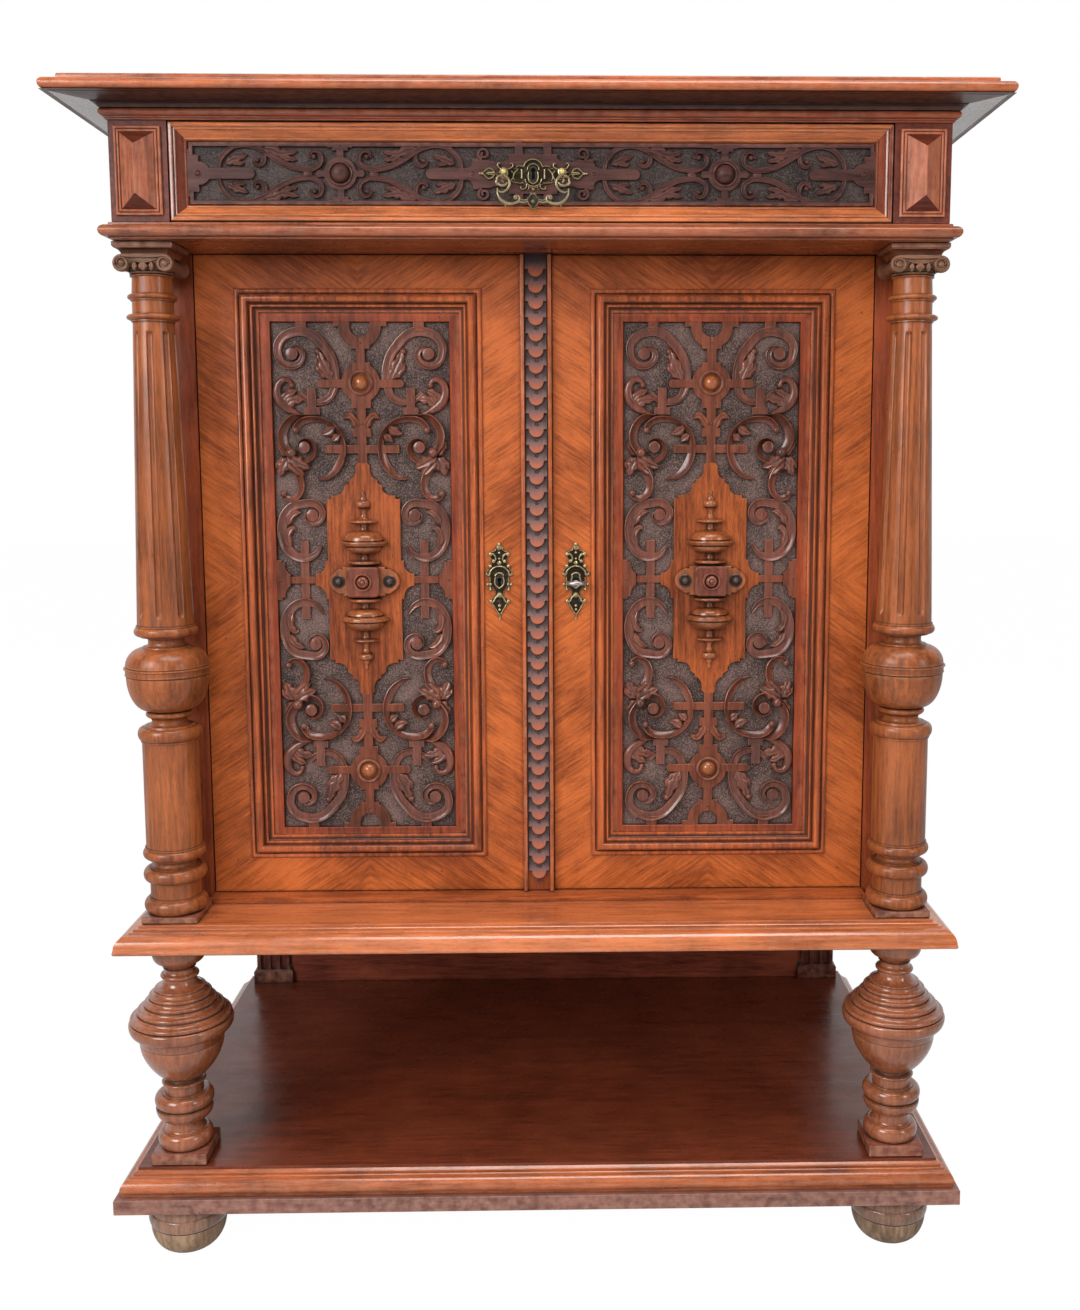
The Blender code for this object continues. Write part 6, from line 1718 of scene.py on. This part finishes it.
def drawer_edging(wide, tall):
    """Flat border strap round the drawer's field."""
    rise = DRAWER_STRAP_RISE
    section = ((0.0, -0.2), (0.0, rise - 0.3), (0.3, rise), (4.2, rise), (4.6, rise - 0.5), (4.6, -0.2))
    return skin([rectangle(wide - inset, tall - inset, -height) for inset, height in section], loop=True)


def build_drawer_front():
    """Drawer front with its sunk carved field."""
    low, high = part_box("drawer_front")
    half, tall = half_size("drawer_front")
    thick = (high.y - low.y) / MM
    face = (0.0, low.y, middle_of("drawer_front").z)
    ground = (0.0, low.y + DRAWER_FIELD_DEPTH * MM, face[2])
    level = [skin([rectangle(half, tall, thick), rectangle(half, tall, DRAWER_BED)])]
    upright = []
    for end in (-1, 1):
        level.append(drawer_member(half, tall, ((-1, end), (1, end))))
        upright.append(drawer_member(half, tall, ((end, -1), (end, 1))))
    # Level members are painted lighter and uprights darker, for the light they catch
    for name, members, look in (("moulding", level, "lit_moulding_x"), ("uprights", upright, "upright")):
        shape = placed(members, face)
        add_piece(f"drawer_{name}", shape, look, "drawer", ["drawer_front"], MOULDING_ANGLE)
    field = (half - DRAWER_FRAME - DRAWER_MARGIN, tall - DRAWER_FRAME - DRAWER_MARGIN)
    # The drawer's ground takes the darker copy, painted shade
    field_ground("sunk", "drawer_ground", ground, "drawer", *field, DRAWER_GRID)
    groups = repeated(drawer_quarter()) + drawer_axis()
    carving = pull_bracket() + [drawer_edging(field[0] + 0.2, field[1] + 0.2)]
    for side in (LEFT, RIGHT):
        bodies = groups + [flipped(body, x=side) for body in drawer_end()]
        carving += [moved(body, (side * DRAWER_BOSS, 0.0, 0.0)) for body in bodies]
    shape = placed(carving, ground)
    add_piece("drawer_carving", shape, "carved_x", "drawer", ["drawer_strapwork"])


# Drawer pull, in millimetres from the middle of the drawer: the right edge of its plate, and its posts
PULL_RIGHT = [
    (0.0, 15.6), (5.4, 14.4), (9.6, 10.8), (11.6, 8.4), (18.8, 8.6), (20.0, 5.6), (24.4, 7.4), (29.4, 5.6),
    (36.8, 5.4), (39.4, 1.6), (43.0, 1.2), (50.0, 5.6), (56.0, 1.4), (61.6, 0.8), (61.6, -0.8),
    (56.0, -1.4), (50.0, -5.6), (43.0, -1.2), (39.0, -3.0), (34.0, -6.0), (27.0, -7.4), (19.6, -10.8),
    (11.6, -11.4), (7.6, -13.4), (3.6, -15.4), (0.0, -16.2),
]
POST_SPREAD = 33.0
POST_PROFILE = (
    (4.8, 0.0), (4.8, 2.2), (3.4, 3.4), (2.6, 5.0), (2.6, 8.0), (4.4, 9.0), (5.0, 10.2), (4.6, 11.6),
    (2.6, 12.4),
)


def pull_half():
    """Post, scrolls and arrow finial on the right half of the pull."""
    horn = ((1.0, 1.1, 1.2, 1.0), (3.6, 3.8, 3.6))
    barb = ((0.9, 1.1, 1.1, 0.9), (3.0, 3.2))
    bead = ((0.8, 0.8, 0.8), (3.0, 3.0))
    arrow = [(43.4, 0.4), (46.6, 4.6), (51.0, 5.6), (56.4, 1.0)]
    foot = [(7.6, -12.0), (8.4, -15.6), (11.4, -17.2), (14.2, -16.4), (14.0, -14.4)]
    return [
        boss(POST_PROFILE, (POST_SPREAD, 0.0), 28),
        wire([(30.4, 4.4), (26.6, 5.2), (23.2, 8.0), (23.6, 11.0), (25.8, 10.4)], *horn),
        wire([(35.4, 4.4), (38.4, 6.0), (40.2, 9.4), (38.8, 11.6), (37.2, 10.2)], *horn),
        wire(arrow, *barb),
        wire([(x, -z) for x, z in arrow], *barb),
        leaf([(43.0, 0.0), (48.0, 0.0), (54.0, 0.0)], 2.0, 3.6, 2, base=0.4),
        stud(1.8, 2.0, 57.8, 0.0, 16),
        stud(1.4, 1.8, 60.6, 0.0, 16),
        wire([(11.8, 8.0), (15.4, 8.2), (19.0, 7.8)], *bead),
        wire([(11.0, -10.4), (15.4, -10.6), (20.4, -9.6)], *bead),
        wire([(13.0, 4.6), (13.0, -5.6)], (1.3, 1.6), (3.0, 3.4)),
        wire([(17.0, 5.0), (20.6, 1.0), (22.6, -4.0), (20.8, -8.0)], (0.9, 1.2, 1.2, 0.9), (3.0, 3.4)),
        wire([(25.0, 3.0), (22.2, -0.6), (24.4, -6.6), (28.0, -9.6)], (0.9, 1.2, 1.3, 0.8), (3.0, 3.6)),
        wire(foot, (1.1, 1.0, 1.1, 1.2), (3.0, 3.4)),
        wire([(4.6, -13.6), (5.6, -16.8), (7.4, -18.2)], (0.8, 0.7, 0.5), (2.6, 2.2)),
        wire([(5.2, 1.6), (5.6, -3.4), (4.4, -8.6), (0.0, -11.6)], (0.9, 1.2, 1.2, 1.0), (3.6, 3.6)),
    ]


def pull_casting():
    """Pierced plate of the pull, with the arch and skirt round its keyhole."""
    outline = PULL_RIGHT + [(-x, z) for x, z in reversed(PULL_RIGHT[1:-1])]
    arch = [(12.0, 7.6)] + arc((0.0, 4.2), 11.4, 20.0, 160.0, 12) + [(-12.0, 7.6)]
    skirt = arc((0.0, -4.6), 9.6, -10.0, -170.0, 10)
    middle = [
        backing(outline),
        wire(arch, (1.0, 1.2, 1.0), (3.4, 3.8, 3.4), step=0.7),
        wire(skirt, (0.9, 1.0, 0.9), (3.2, 3.4, 3.2), step=0.7),
        wire(arc((0.0, 4.2), 6.6, 0.0, 180.0, 10), (0.8, 1.0, 0.8), (2.8, 3.0), step=0.7),
        stud(1.6, 1.8, 0.0, -17.2, 16),
    ]
    return middle + repeated(pull_half(), z=(1,))


def build_pull():
    """Cast drawer pull: pierced plate with key arch, post heads and arrow finials."""
    place = (0.0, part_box("pull_plate")[1].y, middle_of("drawer_front").z)
    hole = moved(inlay(keyhole_outline(2.7, 9.8, 1.4, 2.0), 2.0), (0.0, 0.0, 3.6))
    funnel = inlay(oval(5.2, 8.6, (0.0, -0.6)), 1.8)
    heads = repeated([stud(3.4, 15.0, POST_SPREAD, 0.0, 24)], z=(1,))
    for name, bodies, look, slot, nodes in (
        ("casting", pull_casting(), "brass", "brass", ["pull_plate"]),
        ("keyhole", [hole], "shadow", "steel", ()),
        ("funnel", [funnel], "pewter", "steel", ()),
        ("studs", heads, "gold", "brass", ()),
    ):
        add_piece(f"pull_{name}", placed(bodies, place), look, "drawer", nodes)


# How much thinner than drawn the bars of the bail are
BAIL_GAUGE = 0.82


def bar(path, radii, sides=12):
    """A round bar through points in a plane, with its radius changing evenly."""
    gauges = [radius * BAIL_GAUGE for radius in radii]
    rows = smooth_rows(graded(path, gauges, gauges), 0.9)
    ahead = np.gradient(rows[:, :2], axis=0)
    ahead /= np.linalg.norm(ahead, axis=1, keepdims=True) + TINY
    angles = around(sides)
    rings = []
    for (x, z, radius, _), (run_x, run_z) in zip(rows, ahead):
        side = radius * np.cos(angles)
        rings.append(np.column_stack([x - run_z * side, radius * np.sin(angles), z + run_x * side]))
    return skin(rings)


def bail_half():
    """Scrolls and leaves of the right half of the bail."""
    upper = [
        (37.6, 0.0), (33.0, -3.6), (27.6, -8.6), (26.4, -14.6), (30.0, -20.4), (36.0, -23.0), (40.6, -20.4),
    ]
    lower = [
        (40.4, -18.6), (39.6, -25.6), (35.6, -31.8), (28.6, -35.6), (20.6, -35.0), (15.6, -31.4),
        (16.0, -27.6), (19.4, -26.8),
    ]
    return [
        bar([(29.2, 0.0), (37.6, 0.0)], (1.9, 1.9)),
        bar(upper, (1.7, 1.9, 2.0, 1.9, 1.6, 0.7)),
        bar(lower, (0.8, 1.9, 2.4, 2.3, 2.0, 1.6)),
        bar([(40.0, -12.4), (36.4, -15.6), (31.6, -15.0), (28.6, -12.0)], (0.8, 1.8, 2.0, 1.2)),
        bar([(40.6, -9.0), (41.4, -12.4), (39.2, -15.4)], (1.6, 1.9, 1.0)),
        bar([(34.4, -4.6), (39.0, -5.8), (41.4, -9.0)], (1.6, 1.8, 1.5)),
        bar([(35.4, -9.4), (33.0, -12.4)], (1.7, 1.3)),
        bar([(31.0, -35.4), (31.6, -39.4)], (1.3, 0.7)),
        bar([(16.6, -33.4), (11.4, -34.2), (6.0, -33.2)], (1.5, 1.2, 1.3)),
        bar([(15.4, -30.6), (11.4, -31.6), (6.0, -31.2)], (1.0, 0.9, 1.0)),
        moved(boss(ball(3.2, 0.0), segments=20), (19.6, 0.0, -28.6)),
    ]


def build_bail():
    """Swinging bail of scrolls and leaves, with a small shield at its middle."""
    shield = both_sides([
        (1.6, -24.6), (3.4, -25.4), (5.0, -28.4), (7.0, -29.6), (6.6, -33.4), (5.0, -37.0), (2.4, -39.4),
        (3.8, -42.4), (1.4, -42.0),
    ])
    knob = boss(ball(1.3, 0.0), segments=14)
    middle = [
        plate(shield, 2.0, base=-1.6, chamfer=0.6),
        moved(boss(dome(2.4, 2.4, foot=-1.0), segments=18), (0.0, -1.0, -33.4)),
        moved(knob, (1.7, -0.4, -24.4)),
        moved(knob, (-1.7, -0.4, -24.4)),
    ]
    place = (0.0, middle_of("pull_bail").y, middle_of("drawer_front").z)
    shape = placed(middle + repeated(bail_half(), z=(1,)), place)
    add_piece("bail_casting", shape, "bail", "bail", ["pull_bail"])


# Capitals, in millimetres from the middle of the underside of the abacus
VOLUTE_REACH = 24.7
VOLUTE_DROP = 10.6
VOLUTE_SIZE = 10.4
VOLUTE_TURNS = ((0.0, 8.2), (170.0, 7.8), (330.0, 6.6), (460.0, 4.6))
ROLL_SEGMENTS = 36
THROAT_SEGMENTS = 64
ABACUS = 13.7


def volute_roll(centre, depth):
    """Roll from the front scroll of a capital to the back one, waisted at the middle."""
    wide = VOLUTE_SIZE - 1.0
    back = [(depth * 0.5, 7.4), (depth - 3, wide), (depth, wide)]
    rows = [(-y, radius) for y, radius in reversed(back)] + [(0.0, 6.6)] + back
    angles = around(ROLL_SEGMENTS)
    rings = []
    for y, radius in rows:
        across = centre[0] + radius * np.cos(angles)
        rings.append(np.column_stack([across, np.full(len(angles), y), centre[1] + radius * np.sin(angles)]))
    return skin(rings)


def capital_face():
    """What is carved on one face of a capital: sagging bands and eggs between the scrolls."""
    sag = [(-VOLUTE_REACH, -2.0), (-16.0, -2.6), (0.0, -3.0), (16.0, -2.6), (VOLUTE_REACH, -2.0)]
    dip = [(-15.5, -6.0), (-8.0, -8.4), (0.0, -9.2), (8.0, -8.4), (15.5, -6.0)]
    bodies = [
        band(sag, (1.8, 1.8, 1.8), (1.8, 1.8), ROUND, base=-3.0, step=1.0),
        band(dip, (1.0, 1.1, 1.0), (1.4, 1.4), ROUND, base=-3.0, step=1.0),
    ]
    for place, width in ((0.0, 4.4), (-9.6, 2.2), (9.6, 2.2)):
        bodies.append(leaf([(place, -9.0), (place, -13.4), (place, -19.0)], width, 2.4, 1, base=-4.0))
    return bodies


def capital_bodies(depth):
    """Scrolls, sagging bands and eggs of a capital, drawn about its middle, front and back alike."""
    bodies = []
    faces = []
    for side in (LEFT, RIGHT):
        centre = np.array((side * VOLUTE_REACH, -VOLUTE_DROP))
        bodies.append(volute_roll(centre, depth))
        path = spiral(centre, [(90.0 - side * turn, radius) for turn, radius in VOLUTE_TURNS])
        faces.append(band(path, (2.1, 1.9, 1.5, 0.9), (2.8, 2.6, 2.2), ROUND, base=-1.0, step=0.7))
        faces.append(boss(dome(4.0, 2.6, foot=-1.0), tuple(centre), 24))
    faces += capital_face()
    for face in (1, -1):
        bodies += [flipped(moved(body, (0.0, -depth, 0.0)), y=face) for body in faces]
    return bodies


def squares(rows):
    """A body through level squares or oblongs, from half width, half depth and level."""
    return skin([[(-w, -d, z), (w, -d, z), (w, d, z), (-w, d, z)] for w, d, z in rows])


def build_capitals():
    """Scroll capitals under square moulded tops."""
    for _, word in SIDES:
        node = f"capital_{word}"
        low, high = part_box(node)
        half = (high.y - low.y) / 2 / MM
        depth = half - 3.0
        foot = -(high.z - low.z) / MM + ABACUS
        rows = [
            (26.0, -0.4), (26.0, 0.0), (26.6, 2.0), (28.2, 4.4), (30.8, 6.2), (33.2, 7.0), (33.2, 7.8),
            (34.0, 8.2), (half - 0.4, 8.4), (half, 9.0), (half, 13.1), (half - 0.6, ABACUS),
        ]
        slab = squares([(reach, reach, level) for reach, level in rows])
        throat = [
            (22.0, foot), (24.6, foot + 1.0), (25.2, -18.4), (24.0, -17.6), (26.0, -15.0), (28.0, -11.0),
            (28.4, -7.0), (26.0, -3.0), (26.0, 0.0),
        ]
        near = depth - 1
        rows = ((20.0, depth - 6, -14.0), (22.0, near, -9.0), (24.0, near, -1.2), (24.0, near, 0.2))
        cushion = squares(rows)
        place = (middle_of(node).x, middle_of(node).y, high.z - ABACUS * MM)
        shape = placed([lathe(throat, THROAT_SEGMENTS), cushion] + capital_bodies(depth), place)
        add_piece(f"scroll_capital_{word}", shape, "capital", "carcass", [node])
        add_piece(f"abacus_{word}", placed([slab], place), "abacus", "carcass", [node])


# Rear posts, in millimetres: half width, depth of the face, middles of the flutes and foot of the shaft
POST_HALF = 27.0
POST_FACE = 1.6
POST_FLUTES = (-16.0, 0.0, 16.0)
POST_FOOT = 21.0


def build_rear_posts():
    """Flat rear posts, fluted on the face, each on a shouldered block."""
    flutes = []
    for centre in POST_FLUTES:
        flute = hump((centre, POST_FACE), 5.0, -4.2, 0.0, 180.0, 11)
        flutes += [(centre - 5.6, POST_FACE)] + flute + [(centre + 5.6, POST_FACE)]
    for _, word in SIDES:
        node = f"rear_post_{word}"
        low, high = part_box(node)
        foot = (high.x - low.x) / 2 / MM
        tall = (high.z - low.z) / MM
        deep = (high.y - low.y) / MM
        right = [(POST_HALF - 0.6, POST_FACE), (POST_HALF, 2.2), (POST_HALF, deep)]
        outline = [(-x, y) for x, y in reversed(right)] + flutes + right
        shaft = skin([[(x, y, z) for x, y in outline] for z in (POST_FOOT, tall)])
        levels = ((foot, 0.0, 0.0), (foot, 0.0, 18.6), (foot - 1.0, 0.6, 19.6), (POST_HALF + 0.4, 1.2, 22.8))
        block = skin([[(-w, f, z), (w, f, z), (w, deep, z), (-w, deep, z)] for w, f, z in levels])
        shape = placed([shaft, block], (middle_of(node).x, low.y, low.z))
        # The posts' finish paints the shade at the back of the bay
        add_piece(f"fluted_post_{word}", shape, "shaded_post", "carcass", [node])


# Softened edges of nodes that keep their shape: width in millimetres, segments, least angle in degrees
NODE_EDGE = 0.8
PIVOT_EDGE = 0.2
EDGE_SEGMENTS = 2
EDGE_ANGLE = 40.0


def finish_node(node, look, edge=NODE_EDGE):
    """Give a node that keeps its own shape a finish and softened edges."""
    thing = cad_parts[node]
    thing.data.materials.clear()
    thing.data.materials.append(FINISH[look])
    bevel = thing.modifiers.new("edges", "BEVEL")
    bevel.width = edge * MM
    bevel.segments = EDGE_SEGMENTS
    bevel.limit_method = "ANGLE"
    bevel.angle_limit = math.radians(EDGE_ANGLE)


# Nodes whose own shape is right, by their finish
PLAIN_NODES = {
    "shelf": ("base_shelf",),
    "lit_ledge": ("platform_board",),
    "board": ("waist_board", "door_sill"),
    "lower": ("lower_back_panel",),
    "frieze": ("frieze_end_left", "frieze_end_right"),
    "side": ("cupboard_side_left", "cupboard_side_right"),
    "veneer": ("door_frame_left", "door_frame_right"),
    "back": ("back_panel",),
    "lining": ("inner_shelf", "drawer_side_left", "drawer_side_right", "drawer_back", "drawer_bottom"),
    "steel": ("lock_case", "lock_bolt"),
}


def finish_nodes():
    """Finish the pieces whose own shape is right."""
    for look, names in PLAIN_NODES.items():
        for node in names:
            finish_node(node, look)
    for end in ("lower", "upper"):
        for _, word in SIDES:
            finish_node(f"{end}_pivot_{word}", "steel", PIVOT_EDGE)


# Floor: share and strength of its plain white to the camera, its share in polish, half its width in metres
FLOOR_WHITE = 0.93
FLOOR_GLOW = 1.06
FLOOR_SHEEN = 0.5
FLOOR_REACH = 14.0


def make_stage():
    """A pale floor that stays white to the camera and keeps the object's shadow."""
    mesh = bpy.data.meshes.new("floor")
    corners = ((-1, -1), (1, -1), (1, 1), (-1, 1))
    mesh.from_pydata([(x * FLOOR_REACH, y * FLOOR_REACH, 0) for x, y in corners], [], [(0, 1, 2, 3)])
    floor = bpy.data.objects.new("floor", mesh)
    bpy.context.collection.objects.link(floor)
    material, nodes, shader = new_material("pale_floor")
    nodes.fill(shader, {"Base Color": (0.34, 0.34, 0.34, 1.0), "Roughness": 0.9})
    path = nodes.add("LightPath")
    seen = nodes.math("MAXIMUM", path.outputs["Is Camera Ray"], path.outputs["Is Transmission Ray"])
    sheen = nodes.scaled(path.outputs["Is Glossy Ray"], FLOOR_SHEEN)
    share = nodes.math("MAXIMUM", nodes.scaled(seen, FLOOR_WHITE), sheen)
    glow = nodes.add("Emission", {"Color": (1.0, 1.0, 1.0, 1.0), "Strength": FLOOR_GLOW})
    mixed = nodes.add("MixShader", {0: share, 1: shader.outputs[0], 2: glow.outputs[0]})
    output = material.node_tree.nodes["Material Output"]
    nodes.feed(output.inputs["Surface"], mixed.outputs[0])
    mesh.materials.append(material)


# Strength of the room, as diffuse light and as seen in polish
AMBIENT = 0.15
ROOM_SHEEN = 0.12


def make_world():
    """Soft room light, with a white background behind the object."""
    world = bpy.data.worlds.new("studio")
    world.use_nodes = True
    bpy.context.scene.world = world
    nodes = Nodes(world.node_tree)
    path = nodes.add("LightPath")
    way = nodes.add("SeparateXYZ", {0: nodes.add("TexCoord").outputs["Generated"]})
    behind = nodes.span(way.outputs[1], 0.0, 0.5)
    glossy = nodes.math("MULTIPLY", path.outputs["Is Glossy Ray"], behind)
    seen = nodes.math("MAXIMUM", path.outputs["Is Camera Ray"], path.outputs["Is Transmission Ray"])
    seen = nodes.math("MAXIMUM", seen, glossy)
    room = nodes.span(path.outputs["Is Glossy Ray"], 0.0, 1.0, AMBIENT, ROOM_SHEEN)
    strength = nodes.math("MAXIMUM", room, seen)
    background = world.node_tree.nodes["Background"]
    background.inputs["Color"].default_value = (1.0, 1.0, 1.0, 1.0)
    nodes.feed(background.inputs["Strength"], strength)


def add_lamp(name, place, target, size, power, shines=True):
    """A soft square lamp aimed at a point. One that doesn't shine is not mirrored in the polish."""
    lamp = bpy.data.lights.new(name, "AREA")
    lamp.shape = "RECTANGLE"
    lamp.size, lamp.size_y = size
    lamp.energy = power
    thing = bpy.data.objects.new(name, lamp)
    thing.location = place
    aim = np.asarray(target, float) - np.asarray(place, float)
    pitch = math.atan2(math.hypot(aim[0], aim[1]), -aim[2])
    thing.rotation_euler = (pitch, 0.0, math.atan2(-aim[0], aim[1]))
    thing.visible_glossy = shines
    bpy.context.collection.objects.link(thing)


def make_lamps():
    """Soft lamps: a broad one and a softer one in front, one overhead, one right, a level one, one behind."""
    aim = (0.0, -0.2, 0.8)
    add_lamp("key_light", (-2.3, -2.8, 2.2), aim, (1.5, 1.8), 100.0)
    add_lamp("soft_light", (0.0, -3.4, 2.2), aim, (2.2, 1.6), 57.0, shines=False)
    add_lamp("top_light", (0.2, -1.2, 3.4), aim, (2.0, 1.2), 56.0)
    add_lamp("fill_light", (2.7, -2.4, 1.7), (0.0, -0.1, 0.7), (0.5, 1.8), 24.0)
    add_lamp("front_light", (-0.6, -4.0, 1.2), (0.0, 0.0, 1.0), (1.6, 0.8), 25.0, shines=False)
    add_lamp("back_light", (0.8, 3.6, 2.2), (0.0, 0.3, 0.7), (2.0, 1.6), 42.0, shines=False)


def make_camera():
    """The photograph's camera."""
    lens = bpy.data.cameras.new("camera")
    lens.sensor_width = CAMERA_SENSOR
    lens.lens = CAMERA_LENS
    lens.shift_x, lens.shift_y = CAMERA_SHIFT
    camera = bpy.data.objects.new("camera", lens)
    camera.location = CAMERA_PLACE
    camera.rotation_euler = (
        math.radians(90.0 + CAMERA_PITCH), math.radians(CAMERA_ROLL), math.radians(-CAMERA_YAW),
    )
    bpy.context.collection.objects.link(camera)
    bpy.context.scene.camera = camera


def main():
    """Dress the frame and set the stage."""
    bpy.context.scene.view_settings.view_transform = "Standard"
    make_materials()
    build_columns()
    build_legs()
    build_feet()
    build_mouldings()
    build_top()
    build_soffits()
    build_capitals()
    build_rear_posts()
    build_door_mouldings()
    build_door_panels()
    build_split_turnings()
    build_astragal()
    build_escutcheons()
    build_key()
    build_diamonds()
    build_drawer_front()
    build_pull()
    build_bail()
    finish_nodes()
    make_stage()
    make_world()
    make_lamps()
    make_camera()


main()
